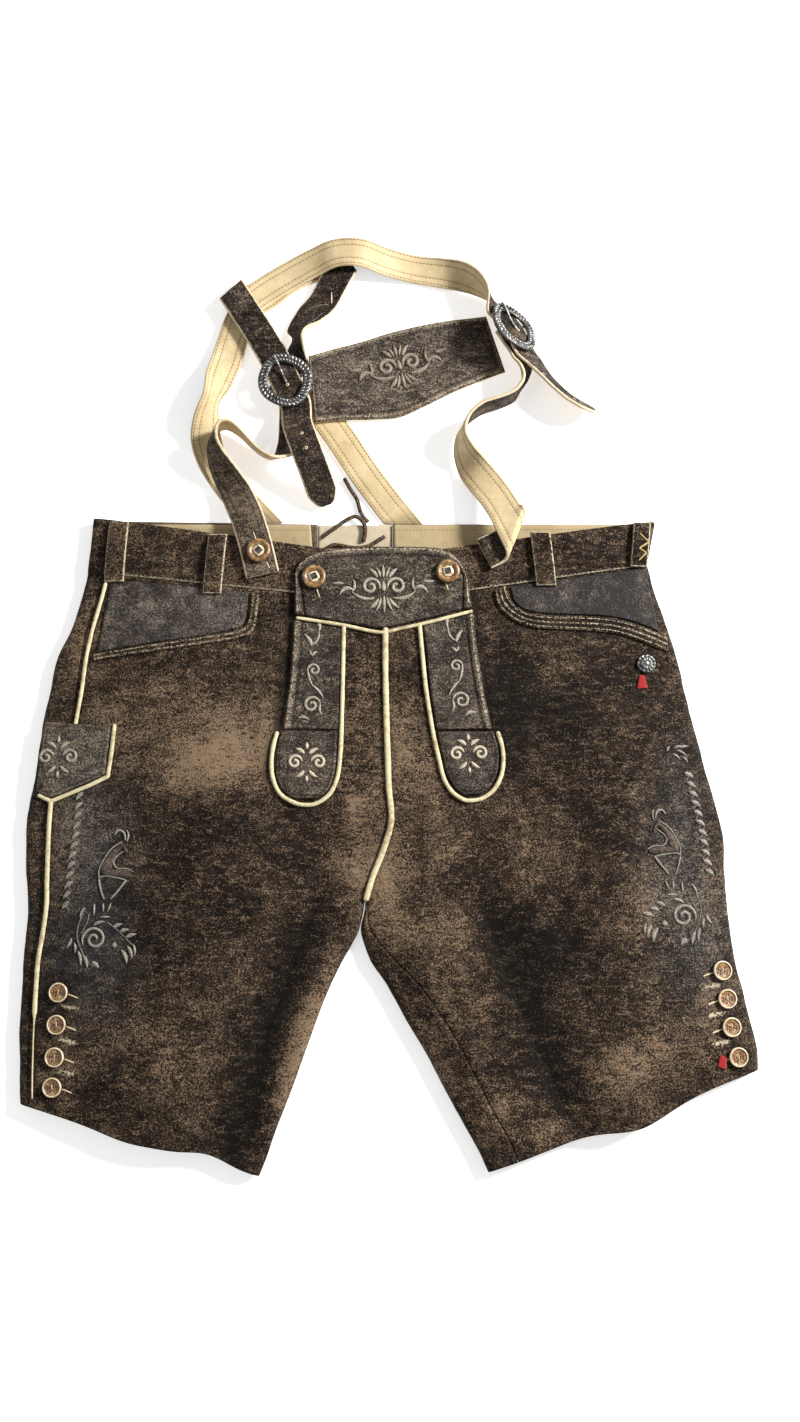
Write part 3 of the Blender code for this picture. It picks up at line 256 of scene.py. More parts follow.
KNIFE_FLAP_PIPING = (
    (-233, -14), (-234.5, -34), (-237.2, -57), (-252, -64.5), (-268, -71), (-283, -77), (-294, -71.5),
)
SIDE_PIPING_UPPER = ((-245.6, 103), (-248, 92), (-253.6, 69), (-258.6, 43), (-261.2, 16), (-264.5, -8))
SIDE_PIPING_LOWER = (
    (-283, -81), (-283.5, -96), (-283.5, -118), (-283.4, -140), (-283, -160), (-285, -182), (-288, -206),
    (-288.8, -236), (-289, -262), (-288.6, -290), (-288, -311),
)
RIGHT_WELT = (
    # upper_x, upper_y, lower_x, lower_y
    (-253, 45, -253, 39),
    (-222, 50, -221, 44),
    (-190, 55, -189, 48.5),
    (-160, 60, -158, 53.5),
    (-138, 64, -134, 57.5),
    (-128, 69, -122, 63),
    (-125, 78, -118.5, 76),
    (-123, 96, -116.5, 95),
)
LEFT_WELT = (
    (88, 103, 78, 98),
    (91, 93, 81, 86),
    (98, 84, 90, 76),
    (110, 79, 106, 68),
    (130, 77, 130, 65),
    (155, 77, 156, 64),
    (178, 75, 179, 62),
    (200, 69, 200, 55),
    (221, 60, 222, 47),
)
RIGHT_FACING = (
    # top_x, top_y, bottom_x, bottom_y
    (-241, 107.5, -250, 46.5),
    (-224, 107, -228, 50.5),
    (-200, 105, -202, 54.5),
    (-176, 102.5, -177, 58.5),
    (-152, 100, -154, 62.5),
    (-133, 98, -132, 68.5),
    (-126, 97, -127, 80),
)
LEFT_FACING = (
    (91.5, 102, 94, 92),
    (100, 103.5, 101, 84.5),
    (116, 106, 116, 80),
    (140, 109.5, 141, 78.5),
    (166, 113, 168, 77.5),
    (190, 117, 193, 73),
    (205, 119, 215, 64),
)
BELT_LOOPS = {
    # name: top_x, top_y, bottom_x, bottom_y, width
    "belt_loop_right_outer": (-235, 158.5, -238, 106, 17),
    "belt_loop_right_inner": (-152, 147, -156, 95.5, 16),
    "belt_loop_left_inner": (117, 149, 121.5, 102.5, 17),
    "belt_loop_left_outer": (203, 158, 199, 119, 15),
}
RIGHT_LEG_BUTTONS = ((-270, -229), (-270.5, -254), (-271, -279), (-272, -302))
LEFT_LEG_BUTTONS = ((256, -212), (259, -234), (261.5, -256), (266, -279))
CONCHO_TAB = (
    (197, 27.5, 194.5, 16),
    (201.5, 27, 203.5, 16.5),
)
HEM_TAB = (
    (251.5, -277, 249, -286.5),
    (257, -279.5, 256, -288.5),
)

# ---------------------------------------------------------------- braces
# One row is one station of a strap's middle line: place, direction of its width in plan (degrees from +X)
# and tilt of that width over the ground (degrees). The outer face is up where the width points to the
# right of the way along the strap. A FOLD row turns the strap over a line: direction of the line in plan,
# and how far the strap rises (or falls) with the turn. THROUGH rows pass through a buckle over its bar, UNDER
# rows end below the bar.
FOLD, THROUGH, UNDER = "fold", "through", "under"
RIGHT_BUCKLE = (-98, 284, 15.6, 24, 0)      # x, y, z, across, tilt
LEFT_BUCKLE = (97.8, 331.2, 18.2, 32, -42)
BAR_DIP = 5.6                               # how far a buckle's bar lies below its frame
OVER_BAR = -BAR_DIP + BAR / 2 + GAP + STRAP / 2
BELOW_FRAME = -BUCKLE_WIRE / 2 - GAP - STRAP / 2
BELOW_BAR = -BAR_DIP - BAR / 2 - GAP - STRAP / 2
BUCKLE_PATHS = {
    # place along the strap from the bar, height against the frame
    THROUGH: (
        (-22, BELOW_FRAME - 0.7),
        (-9, OVER_BAR - 0.2),
        (0, OVER_BAR + 0.3),
        (9, OVER_BAR - 0.2),
        (22, BELOW_FRAME - 1.0),
    ),
    UNDER: (
        (-20, BELOW_BAR - 0.2),
        (-8, BELOW_BAR - 0.2),
        (4, BELOW_BAR - 0.2),
    ),
}
RIGHT_FRONT_STRAP = (
    # x, y, z, across, tilt
    (-114, 111, 20.6, 14, 0),
    (-118, 128, 20.8, 13, 0),
    (-123, 146, 20.6, 14, 2),
    (-129, 164, 16.5, 20, 6),
    (-137, 182, 12.5, 28, 16),
    (-146, 198, 14.5, 30, 36),
    (-154, 213, 18.0, 18, 54),
    (-158, 227, 20.4, 0, 68),
    (-155, 239, 20.2, -45, 80),
    (-146, 243, 18.6, -95, 86),
    (-136, 237, 17.2, -122, 88),
    (-127, 228, 16.2, -126, 86),
    (-117, 219, 15.6, -112, 82),
    (-107, 215, 14.8, -84, 74),
    (-98, 219, 12.4, -40, 52),
    (-92, 232, 8.4, -4, 26),
    (-90, 247, 4.6, 14, 6),
    (UNDER, RIGHT_BUCKLE),
)
LEFT_FRONT_STRAP = (
    (70, 129, 20.6, -65, 0),
    (90, 138.5, 21.0, -65, 0),
    (FOLD, 68, 7.2),
    (88, 164, 24.5, 209, 0),
    (80, 180, 18.0, 210, 0),
    (71, 194, 13.0, 211, -8),
    (61, 208, 12.0, 208, -32),
    (54, 222, 14.0, 192, -58),
    (52, 236, 15.5, 170, -76),
    (58, 249, 16.0, 130, -86),
    (70, 259, 16.0, 110, -90),
    (84, 264, 16.0, 108, -90),
    (97, 270, 16.0, 130, -89),
    (104, 281, 16.0, 175, -88),
    (105.5, 291, 14.6, 36, -70),
    (105, 301, 12.4, 34, -50),
    (UNDER, LEFT_BUCKLE),
)
RIGHT_LONG_STRAP = (
    (-62, 176, 5.0, 24, 0),
    (-68, 192, 12.5, 22, 0),
    (-75, 209, 24.0, 18, 0),
    (-82, 227, 28.5, 16, 0),
    (-87, 244, 20.0, 18, 0),
    (THROUGH, RIGHT_BUCKLE),
    (-119, 325, 11.2, 26, 0),
    (-132, 346, 11.0, 28, 0),
    (-144.5, 366, 10.8, 30, 0),
    (FOLD, 44, -8.7),
    (-136, 363.4, 2.1, 68, 0),
    (-127, 362.6, 2.1, 92, 0),
    (-117, 367, 1.7, 118, 0),
    (-102, 379.5, 1.7, 129, 0),
    (-84, 390, 1.7, 118, 0),
    (-66, 396, 1.9, 107, 0),
    (-51, 399, 3.5, 101, 0),
    (FOLD, 128, 6.0),
    (-59, 375, 6.8, 157, 0),
    (-67, 360, 5.0, 148, -4),
    (-79, 346, 6.6, 142, -20),
    (-88, 333, 10.0, 152, -44),
    (-88, 323, 12.4, 166, -66),
    (-91, 302, 3.4, 184, -8),
    (-87, 292, 2.1, 200, 0),
)
LEFT_REAR_STRAP = (
    (-79.5, 279, 1.8, 31, 0),
    (-68, 262, 1.7, 33, 0),
    (-50, 236, 1.7, 34, 0),
    (-30, 205, 1.7, 34, 0),
    (-12, 180, 1.7, 36, 0),
    (-5.5, 171.5, 1.7, 37, 0),
)
LEFT_LONG_STRAP = (
    (166, 257, 12.4, 58, -58),
    (155, 263, 12.6, 58, -60),
    (144, 270, 12.8, 54, -60),
    (133, 280, 13.0, 47, -60),
    (124, 290, 13.2, 42, -58),
    (116, 300, 13.4, 38, -50),
    (THROUGH, LEFT_BUCKLE),
    (77, 362, 14.4, 34, -84),
    (67, 373, 13.6, 46, -114),
    (54, 381, 10.8, 56, -140),
    (36, 387, 5.6, 70, -166),
    (12, 392, 2.4, 80, -180),
    (-11, 396, 7.5, 84, -180),
    (-34, 400, 17.6, 88, -180),
    (-56, 400, 16.6, 96, -180),
    (-76, 394, 9.6, 107, -180),
    (-95, 385, 5.4, 118, -180),
    (-114, 373, 5.0, 124, -180),
    (-130, 360, 5.4, 132, -180),
    (-139, 343, 5.0, 150, -180),
    (-145, 324, 4.6, 165, -180),
    (-150, 305, 5.6, 165, -166),
    (-156, 286, 10.2, 166, -140),
    (-161, 269, 13.6, 170, -112),
    (-165, 252, 10.0, 176, -136),
    (-166, 236, 4.0, 184, -168),
    (-161, 219, 2.1, 198, -180),
    (-151, 202, 1.7, 210, -180),
    (-139, 186, 1.7, 220, -180),
    (-127, 173, 1.7, 226, -180),
)
CHEST_PIECE = (
    # top_x, top_y, top_z, bottom_x, bottom_y, bottom_z
    (-79, 308, 9.6, -72.5, 249.5, 5.4),
    (-68, 312.5, 6.8, -60, 251, 5.3),
    (-57, 317, 4.4, -45, 252, 5.1),
    (-34, 324, 2.8, -22, 253, 4.0),
    (-11, 332, 2.2, 1, 256, 2.6),
    (12, 338, 2.4, 24, 267, 2.0),
    (36, 343, 2.2, 47, 279, 1.8),
    (59, 346, 2.0, 70, 289, 1.8),
    (75, 348, 2.0, 91, 297, 1.8),
)
LACES = {
    # stations x, y, z of the thong's middle line
    "vent_lace_right": (
        (-66, 148, 4.1), (-61, 152, 4.2), (-54, 157, 4.4), (-46, 163, 4.4), (-38, 166.5, 4.4),
        (-32, 163, 4.4), (-29.5, 157, 4.4), (-30, 149, 4.3), (-31, 144.5, 4.1),
    ),
    "vent_lace_left": (
        (-63, 137, 4.1), (-57, 141.5, 4.2), (-50, 141, 4.2), (-42, 139.5, 4.2), (-34, 139, 4.2),
        (-26, 141, 4.2), (-19, 145, 4.2), (-13, 149, 4.1),
    ),
    "vent_lace_end": (
        (-27, 162.6, 1.9), (-31, 167, 1.9), (-34, 173, 1.9),
        (-36.5, 182, 1.9), (-42, 191, 1.9), (-47.5, 201, 1.9),
    ),
}


def world(x, y, z):
    """A point of the drawing as a point of the part, in metres."""
    return Vector(((x - ORIGIN_X) * MM, (y - ORIGIN_Y) * MM, z * MM))


def blend(a, b, t):
    return a + (b - a) * t


def curve_point(points, t):
    """Point at t (0 to 1) of a smooth curve through the points (any number of values each)."""
    spans = len(points) - 1
    at = min(max(t, 0.0), 1.0) * spans
    i = min(int(at), spans - 1)
    f = at - i
    before = points[max(i - 1, 0)]
    start, end = points[i], points[i + 1]
    after = points[min(i + 2, spans)]
    return tuple(
        0.5 * (2 * b + (c - a) * f + (2 * a - 5 * b + 4 * c - d) * f * f + (3 * b - a - 3 * c + d) * f ** 3)
        for a, b, c, d in zip(before, start, end, after)
    )


def front_field(x, y):
    """Height of the front panels' outer face, away from folded edges."""
    height = LOFT
    for x1, y1, x2, y2, half_width, rise in FRONT_FOLDS:
        along_x, along_y = x2 - x1, y2 - y1
        length = math.hypot(along_x, along_y)
        along = ((x - x1) * along_x + (y - y1) * along_y) / length
        beside = abs((x - x1) * along_y - (y - y1) * along_x) / length
        beyond = max(0.0, -along, along - length)
        height += rise * math.exp(-((beside / half_width) ** 2) - (beyond / (1.4 * half_width)) ** 2)
    return height


class Section:
    """One section across a leg: a flattened ring, measured from its outer edge over the top (positive) or
    underneath (negative)."""

    def __init__(self, outer, inner, back_inner, drop, folded, radius, rise=0.0):
        self.outer, self.inner, self.back_inner = outer, inner, back_inner
        self.drop, self.rise = drop, rise
        self.top_width = math.dist(outer, inner)
        self.bottom_width = math.dist(outer, back_inner)
        self.inner_radius = radius if folded else 0.0
        self.outer_arc = FOLD_RADIUS * math.pi / 2
        self.inner_arc = self.inner_radius * math.pi / 2
        flat = self.top_width - FOLD_RADIUS - self.inner_radius
        self.top_length = self.outer_arc + flat + self.inner_arc
        flat = self.bottom_width - FOLD_RADIUS - self.inner_radius
        self.bottom_length = self.outer_arc + flat + self.inner_arc

    def height(self, w):
        """Outer height over the ground at w from the outer edge."""
        x, y = self.plan(w, self.inner, self.top_width)
        from_inner = self.top_width - self.inner_radius - w
        ease = 1.0 - math.exp(-max(0.0, w - FOLD_RADIUS) / EDGE_EASE)
        ease *= 1.0 - self.drop * math.exp(-max(0.0, from_inner) / EDGE_EASE)
        return FOLD_HEIGHT + (front_field(x, y) - FOLD_HEIGHT) * ease + self.rise

    def plan(self, w, end, width):
        return blend(self.outer[0], end[0], w / width), blend(self.outer[1], end[1], w / width)

    def point(self, s, depth):
        """Drawing point at distance s round the ring, depth inside the outer face."""
        if s > self.top_length:
            return self.point(-(self.bottom_length - (s - self.top_length)), depth)
        if s < -self.bottom_length:
            return self.point(self.top_length - (-s - self.bottom_length), depth)
        over = s >= 0
        end, width = (self.inner, self.top_width) if over else (self.back_inner, self.bottom_width)
        length = self.top_length if over else self.bottom_length
        run = abs(s)
        if run < self.outer_arc:
            return self.fold_point(run / FOLD_RADIUS, over, end, width, depth, FOLD_RADIUS, False)
        if self.inner_arc and length - run < self.inner_arc:
            angle = (length - run) / self.inner_radius
            return self.fold_point(angle, over, end, width, depth, self.inner_radius, True)
        w = run - self.outer_arc + FOLD_RADIUS
        z = self.height(w) - depth if over else depth
        return (*self.plan(w, end, width), z)

    def fold_point(self, angle, over, end, width, depth, radius, at_inner):
        """Point on a folded edge, at an angle from the edge's outermost line."""
        top = self.height(width - radius if at_inner else radius)
        half = top / 2
        w = radius - (radius - depth) * math.cos(angle)
        z = half + (half - depth) * math.sin(angle) * (1 if over else -1)
        if at_inner:
            w = width - w
        return (*self.plan(w, end, width), z)


def leg_sections(rows, side_sign):
    """Sections of one leg from its table, with the distances where its front and back panels end."""
    made = []
    for i, (out_x, out_y, in_x, in_y, side, inseam, drop) in enumerate(rows):
        folded = i >= FIRST_LEG_ROW
        radius = CROTCH_FOLD_RADIUS if i == FIRST_LEG_ROW else FOLD_RADIUS
        if folded:
            back = (in_x, in_y)
        else:
            (x1, y1), (x2, y2) = BACK_CENTRE
            t = i / (FIRST_LEG_ROW - 1)
            back = (blend(x1, x2, t) + side_sign * SEAM / 2, blend(y1, y2, t))
        inner = (in_x if folded else in_x + side_sign * SEAM / 2, in_y)
        section = Section((out_x, out_y), inner, back, drop, folded, radius)
        made.append((section, side, inseam if folded else 0.0, folded))
    return made


def width_vector(across, tilt):
    a, t = math.radians(across), math.radians(tilt)
    return Vector((math.cos(t) * math.cos(a), math.cos(t) * math.sin(a), math.sin(t)))


def strap_stations(rows):
    """Stations as [place, width vector, whether the width is ruled]. A FOLD row is worked out as a turn about
    its line: the strap is ruled along the line there, so that it rolls over it like a sheet."""
    stations = []
    for row in rows:
        if row[0] in (THROUGH, UNDER):
            frame = buckle_frame(row[1])
            side = frame.to_3x3() @ Vector((1, 0, 0))
            for along, depth in BUCKLE_PATHS[row[0]]:
                place = Vector(row[1][:3]) + frame.to_3x3() @ Vector((0, along, depth))
                stations.append([place, side, False])
            continue
        if row[0] != FOLD:
            x, y, z, across, tilt = row
            stations.append([Vector((x, y, z)), width_vector(across, tilt), False])
            continue
        before, start, across = stations[-2][0], stations[-1][0], stations[-1][1]
        travel = start - before
        travel.z = 0.0
        travel.normalize()
        _, line_angle, rise = row
        line = width_vector(line_angle, 0)
        outward = Vector((-line.y, line.x, 0.0))
        if outward.dot(travel) < 0:
            outward.negate()
        radius = abs(rise) / 2
        slant = travel.dot(line) / travel.dot(outward)
        ruling = line / travel.dot(outward)
        if ruling.dot(across) < 0:
            ruling.negate()
        stations[-1] = [start, ruling, True]
        for step in range(1, FOLD_STEPS + 1):
            angle = math.pi * step / FOLD_STEPS
            place = start + line * slant * radius * angle + outward * radius * math.sin(angle)
            place.z = start.z + rise / 2 * (1 - math.cos(angle))
            stations.append([place, ruling, True])
    for i, (place, across, ruled) in enumerate(stations):
        if not ruled:
            travel = stations[min(i + 1, len(stations) - 1)][0] - stations[max(i - 1, 0)][0]
            travel.normalize()
            stations[i][1] = (across - travel * across.dot(travel)).normalized()
    return stations


def strap_chains(stations):
    """The stations as lists of values that are smooth on their own, parted where a fold starts and ends."""
    chains = []
    for i, (place, across, ruled) in enumerate(stations):
        values = (*place, *across)
        if not chains:
            chains.append(([values], False))
            continue
        chains[-1][0].append(values)
        if ruled != chains[-1][1] and i + 1 < len(stations):
            chains.append(([values], ruled))
    return chains


def buckle_frame(spec):
    """A buckle's axes: its bar, the way of the strap, and the way up out of its frame."""
    x, y, z, across, tilt = spec
    side = width_vector(across, tilt)
    along = Vector((-math.sin(math.radians(across)), math.cos(math.radians(across)), 0.0))
    frame = Matrix((side, along, side.cross(along).normalized())).transposed().to_4x4()
    frame.translation = world(x, y, z)
    return frame


# ---------------------------------------------------------------- arrays and meshes
RNG = np.random.default_rng(11)
LATTICE = RNG.random((256, 256)) * 2 - 1
ORIGIN = np.array([ORIGIN_X, ORIGIN_Y, 0.0])
UP = np.array([0.0, 0.0, 1.0])
UP_VECTOR = Vector(UP)
TINY, FAR = 1e-9, 1e9
SKY = 200.0            # height from which the ground is sounded
STITCH_SINK = 0.12     # how deep a stitch's ends sink in


def unit(vectors):
    """The vectors with a length of one."""
    return vectors / np.maximum(np.linalg.norm(vectors, axis=-1, keepdims=True), TINY)


def run_along(points):
    """Distance along a line of points, from the first to each of them."""
    return np.concatenate([[0], np.cumsum(np.linalg.norm(np.diff(points, axis=0), axis=1))])


def at_runs(runs, values, at):
    """The rows of values, which belong to the distances runs, read at other distances."""
    return np.stack([np.interp(at, runs, column) for column in np.asarray(values).T], axis=1)


def bell(offset, width):
    """1 where the offset is 0, falling smoothly to both sides."""
    return np.exp(-(offset / width) ** 2)


def rounded(from_edge, radius, least):
    """Share of the full height over an edge that is rounded off with a radius."""
    return np.sqrt(np.clip(1 - (1 - np.clip(from_edge / radius, 0, 1)) ** 2, least, 1))


def evened(values, reach):
    """Values evened out with their neighbours on both sides, as far as reach."""
    count = 2 * reach + 1
    return np.convolve(np.pad(values, reach, mode="edge"), np.ones(count) / count, "valid")


def add_object(name, data):
    made = bpy.data.objects.new(name, data)
    bpy.context.scene.collection.objects.link(made)
    return made


def smooth_along(values, count):
    """Count samples of a smooth curve through the values, along their first axis."""
    values = np.asarray(values, float)
    at = np.linspace(0, len(values) - 1, count)
    i = np.minimum(at.astype(int), len(values) - 2)
    f = (at - i).reshape((-1,) + (1,) * (values.ndim - 1))
    a, b = values[np.maximum(i - 1, 0)], values[i]
    c, d = values[i + 1], values[np.minimum(i + 2, len(values) - 1)]
    return 0.5 * (2 * b + (c - a) * f + (2 * a - 5 * b + 4 * c - d) * f * f + (3 * b - a - 3 * c + d) * f ** 3)


def smooth_grid(values, rows, columns):
    along = smooth_along(values, rows)
    return np.swapaxes(smooth_along(np.swapaxes(along, 0, 1), columns), 0, 1)


def noise(x, y, size, seed=0):
    """Smooth noise from -1 to 1 with lumps of about the size in millimetres."""
    n = len(LATTICE)
    u, v = np.asarray(x) / size + 17.37 * seed + 400, np.asarray(y) / size + 9.71 * seed + 400
    i, j = np.floor(u).astype(int), np.floor(v).astype(int)
    fu, fv = u - i, v - j
    fu, fv = fu * fu * (3 - 2 * fu), fv * fv * (3 - 2 * fv)
    i, j, i1, j1 = i % n, j % n, (i + 1) % n, (j + 1) % n
    low = LATTICE[i, j] * (1 - fu) + LATTICE[i1, j] * fu
    high = LATTICE[i, j1] * (1 - fu) + LATTICE[i1, j1] * fu
    return low * (1 - fv) + high * fv


def fractal(x, y, size, seed=0):
    """Noise with two finer layers over it."""
    return sum(noise(x, y, size / 2 ** k, seed + 31 * k) / 1.8 ** k for k in range(3))


def line_distance(x, y, line):
    """Distance in plan from points to a line of points, and how far along it the nearest place is, 0 to 1."""
    best = np.full(np.shape(x), FAR)
    share = np.zeros(np.shape(x))
    line = np.asarray(line, float)
    spans = np.hypot(*np.diff(line[:, :2], axis=0).T)
    runs = np.concatenate([[0], np.cumsum(spans)])
    for (x1, y1), (x2, y2), span, run in zip(line[:-1, :2], line[1:, :2], spans, runs):
        if span < TINY:
            continue
        t = np.clip(((x - x1) * (x2 - x1) + (y - y1) * (y2 - y1)) / span ** 2, 0, 1)
        d = np.hypot(x - x1 - (x2 - x1) * t, y - y1 - (y2 - y1) * t)
        near = d < best
        best = np.where(near, d, best)
        share = np.where(near, (run + t * span) / runs[-1], share)
    return best, share


def mesh_object(name, vertices, faces, materials, indices=None, marks=None, smooth=True):
    """A piece from drawing points. marks gives each vertex four values for its material to read."""
    vertices = (np.asarray(vertices, float) - ORIGIN) * MM
    mesh = bpy.data.meshes.new(name)
    mesh.from_pydata(vertices.tolist(), [], faces if isinstance(faces, list) else faces.tolist())
    for item in materials:
        mesh.materials.append(item)
    if indices is not None:
        mesh.polygons.foreach_set("material_index", np.asarray(indices, np.int32))
    if marks is not None:
        layer = mesh.attributes.new("marks", "FLOAT_COLOR", "POINT")
        layer.data.foreach_set("color", np.asarray(marks, np.float32).reshape(-1))
    mesh.polygons.foreach_set("use_smooth", [smooth] * len(mesh.polygons))
    mesh.update()
    return add_object(name, mesh)


def grid_faces(rows, columns, start=0, flip=False, wrap=False):
    """Quads of a grid of vertices, row by row. wrap joins the last row to the first."""
    r, c = np.meshgrid(np.arange(rows if wrap else rows - 1), np.arange(columns - 1), indexing="ij")
    a = (start + r * columns + c).ravel()
    b = (start + (r + 1) % rows * columns + c).ravel()
    quads = np.stack([a, a + 1, b + 1, b], axis=1)
    return quads[:, ::-1] if flip else quads


def rim_faces(rows, columns, second):
    """Quads between the borders of two equal grids; second is where the other grid starts."""
    line = [(0, c) for c in range(columns)]
    line += [(r, columns - 1) for r in range(1, rows)]
    line += [(rows - 1, c) for c in range(columns - 2, -1, -1)]
    line += [(r, 0) for r in range(rows - 2, 0, -1)]
    ids = np.array([r * columns + c for r, c in line])
    after = np.roll(ids, -1)
    return np.stack([ids, second + ids, second + after, after], axis=1)


def ring_faces(rings, sides, start=0, inward=False):
    """Quads between neighbouring rings of vertices."""
    faces = []
    for i in range(rings - 1):
        for k in range(sides):
            a, b = start + i * sides + k, start + i * sides + (k + 1) % sides
            faces.append((a, a + sides, b + sides, b) if inward else (a, b, b + sides, a + sides))
    return faces


def signed_volume(points, quads):
    a, b, c, d = (points[quads[:, k]] for k in range(4))
    return (np.einsum("ij,ij->i", a, np.cross(b, c)) + np.einsum("ij,ij->i", a, np.cross(c, d))).sum()


def shell(name, face, back, materials, marks=None):
    """A closed wall between two equal grids, kept above the ground. materials: of face, back and rim."""
    face, back = (np.concatenate([g[..., :2], np.maximum(g[..., 2:], 0.0)], axis=-1) for g in (face, back))
    rows, columns = face.shape[:2]
    size = rows * columns
    points = np.concatenate([face.reshape(-1, 3), back.reshape(-1, 3)])
    walls = (
        grid_faces(rows, columns), grid_faces(rows, columns, size, flip=True), rim_faces(rows, columns, size))
    quads = np.concatenate(walls)
    if signed_volume(points, quads) < 0:
        quads = quads[:, ::-1]
    kept = list(dict.fromkeys(materials))
    owners = np.repeat([kept.index(m) for m in materials], [len(wall) for wall in walls])
    if marks is not None:
        marks = np.concatenate([marks.reshape(-1, 4)] * 2)
    return mesh_object(name, points, quads, kept, owners, marks)


def grid_normals(grid, towards):
    """Unit normals of a grid of points, on the side that the vectors towards point to."""
    normals = unit(np.cross(np.gradient(grid, axis=0), np.gradient(grid, axis=1)))
    side = np.sign((normals * towards).sum(axis=-1, keepdims=True))
    return normals * np.where(side == 0, 1, side)


class Ground:
    """The upper faces of pieces already made, in drawing millimetres."""

    RING = ((0, 0), (1, 0), (-1, 0), (0, 1), (0, -1), (0.7, 0.7), (-0.7, 0.7), (0.7, -0.7), (-0.7, -0.7))

    def __init__(self, pieces):
        vertices, faces = [], []
        for piece in pieces:
            start = len(vertices)
            vertices += [v.co / MM for v in piece.data.vertices]
            faces += [[start + i for i in p.vertices] for p in piece.data.polygons]
        self.tree = BVHTree.FromPolygons(vertices, faces)

    def hit(self, x, y):
        """Place and normal where a line straight down meets the ground, or None twice."""
        return self.tree.ray_cast(Vector((x - ORIGIN_X, y - ORIGIN_Y, SKY)), Vector((0, 0, -1)))[:2]

    def height(self, x, y, reach=0.0):
        """The greatest height at a place, or in a ring of that reach round it."""
        best = 0.0
        for dx, dy in self.RING if reach else self.RING[:1]:
            place = self.hit(x + dx * reach, y + dy * reach)[0]
            if place is not None:
                best = max(best, place.z)
        return best

    def heights(self, points, reach=0.0):
        """Heights under an array of points (..., at least x and y)."""
        flat = points.reshape(-1, points.shape[-1])
        return np.array([self.height(p[0], p[1], reach) for p in flat]).reshape(points.shape[:-1])

    def seated(self, line):
        """The points of a plan line on the surface, with the surface's normals."""
        places, normals = [], []
        last = Vector((0, 0, 0)), Vector((0, 0, 1))
        for p in line:
            place, normal = self.hit(p[0], p[1])
            if place is None:
                place, normal = last
            last = place, normal
            places.append((p[0], p[1], place.z))
            normals.append(tuple(normal if normal.z > 0 else -normal))
        return np.array(places), np.array(normals)


def even_line(points, step, smooth=True):
    """A line of points, evenly spaced by about step."""
    points = np.asarray(points, float)
    if smooth:
        points = smooth_along(points, 24 * (len(points) - 1) + 1)
    runs = run_along(points)
    count = max(2, int(round(runs[-1] / step)) + 1)
    return at_runs(runs, points, np.linspace(0, runs[-1], count))


def tube_arrays(points, radii, sides=10, up=(0, 0, 1)):
    """Vertices and faces of a tube along points, with closed ends. radii: (across, up) of each point."""
    points = np.asarray(points, float)
    count = len(points)
    radii = np.broadcast_to(np.asarray(radii, float), (count, 2))
    travel = unit(np.gradient(points, axis=0))
    across = unit(np.cross(travel, up))
    up = np.cross(across, travel)
    angles = np.arange(sides) * 2 * math.pi / sides
    ring = (
        points[:, None]
        + across[:, None] * (radii[:, :1] * np.cos(angles))[..., None]
        + up[:, None] * (radii[:, 1:] * np.sin(angles))[..., None]
    )
    vertices = np.concatenate([ring.reshape(-1, 3), points[:1], points[-1:]])
    faces = ring_faces(count, sides)
    first, last = count * sides, count * sides + 1
    for k in range(sides):
        faces.append((first, (k + 1) % sides, k))
        faces.append((last, last - 1 - sides + k, last - 1 - sides + (k + 1) % sides))
    return vertices, faces


def joined(name, parts, materials, indices=None):
    """One piece from several (vertices, faces) parts, each with its material's index."""
    vertices, faces, owners = [], [], []
    start = 0
    for k, (points, quads) in enumerate(parts):
        vertices.append(np.asarray(points))
        faces += [tuple(start + i for i in q) for q in quads]
        owners += [indices[k] if indices else 0] * len(quads)
        start += len(points)
    return mesh_object(name, np.concatenate(vertices), faces, materials, owners)


# ---------------------------------------------------------------- stitches
def stitch_arrays(places, directions, normals, length, width, height):
    """Vertices and faces of many stitches, each a small pointed rod lying on its surface."""
    across = unit(np.cross(normals, directions))
    rows = []
    for a, s in ((-0.5, 0.35), (-0.3, 1.0), (0.3, 1.0), (0.5, 0.35)):
        for angle in np.array([0.0, 0.33, 0.67, 1.0]) * math.pi:
            rows.append(
                places + directions * (a * length) + across * (0.5 * width * s * math.cos(angle))
                + normals * (height * s * math.sin(angle) - STITCH_SINK))
    vertices = np.stack(rows, axis=1).reshape(-1, 3)
    rod = []
    for i in range(0, 12, 4):
        rod += [(i + k, i + k + 1, i + k + 5, i + k + 4) for k in range(3)]
        rod.append((i + 3, i, i + 4, i + 7))
    rod += [(3, 2, 1, 0), (12, 13, 14, 15)]
    faces = (np.arange(len(places))[:, None, None] * len(rows) + np.array(rod)[None]).reshape(-1, 4)
    return vertices, faces


def stitch_rows(sheet, name, rows, thread, length, gap, width, height=0.25, lean=0.0, wander=0.12):
    """Sew stitches into a sheet along rows of (points, normals): evenly spaced, each a little askew."""
    places, directions, normals = [], [], []
    for points, normal in rows:
        runs = run_along(points)
        if runs[-1] < length:
            continue
        count = int(runs[-1] // (length + gap))
        at = (np.arange(count) + 0.5) * runs[-1] / count
        up = unit(at_runs(runs, normal, at))
        way = unit(at_runs(runs, points, at + 0.4 * length) - at_runs(runs, points, at - 0.4 * length))
        way = way + np.cross(up, way) * (lean + wander * RNG.normal(size=(count, 1)))
        places.append(at_runs(runs, points, at))
        directions.append(unit(way))
        normals.append(up)
    vertices, faces = stitch_arrays(*map(np.concatenate, (places, directions, normals)), length, width, height)
    sewn(sheet, placed(mesh_object(name, vertices, faces, [thread])))


# ---------------------------------------------------------------- materials
# a vertex's marks: wear (below zero also painted fold shade), smoothing, pale rubbing, and dirt with painted
# shade
WEAR_AND_SHADE, SMOOTHED, PALE, DIRT_AND_SHADE = range(4)      # a vertex's marks


def at_least(marks, kind, amount):
    """Raise one kind of mark to the amount."""
    marks[..., kind] = np.maximum(marks[..., kind], amount)


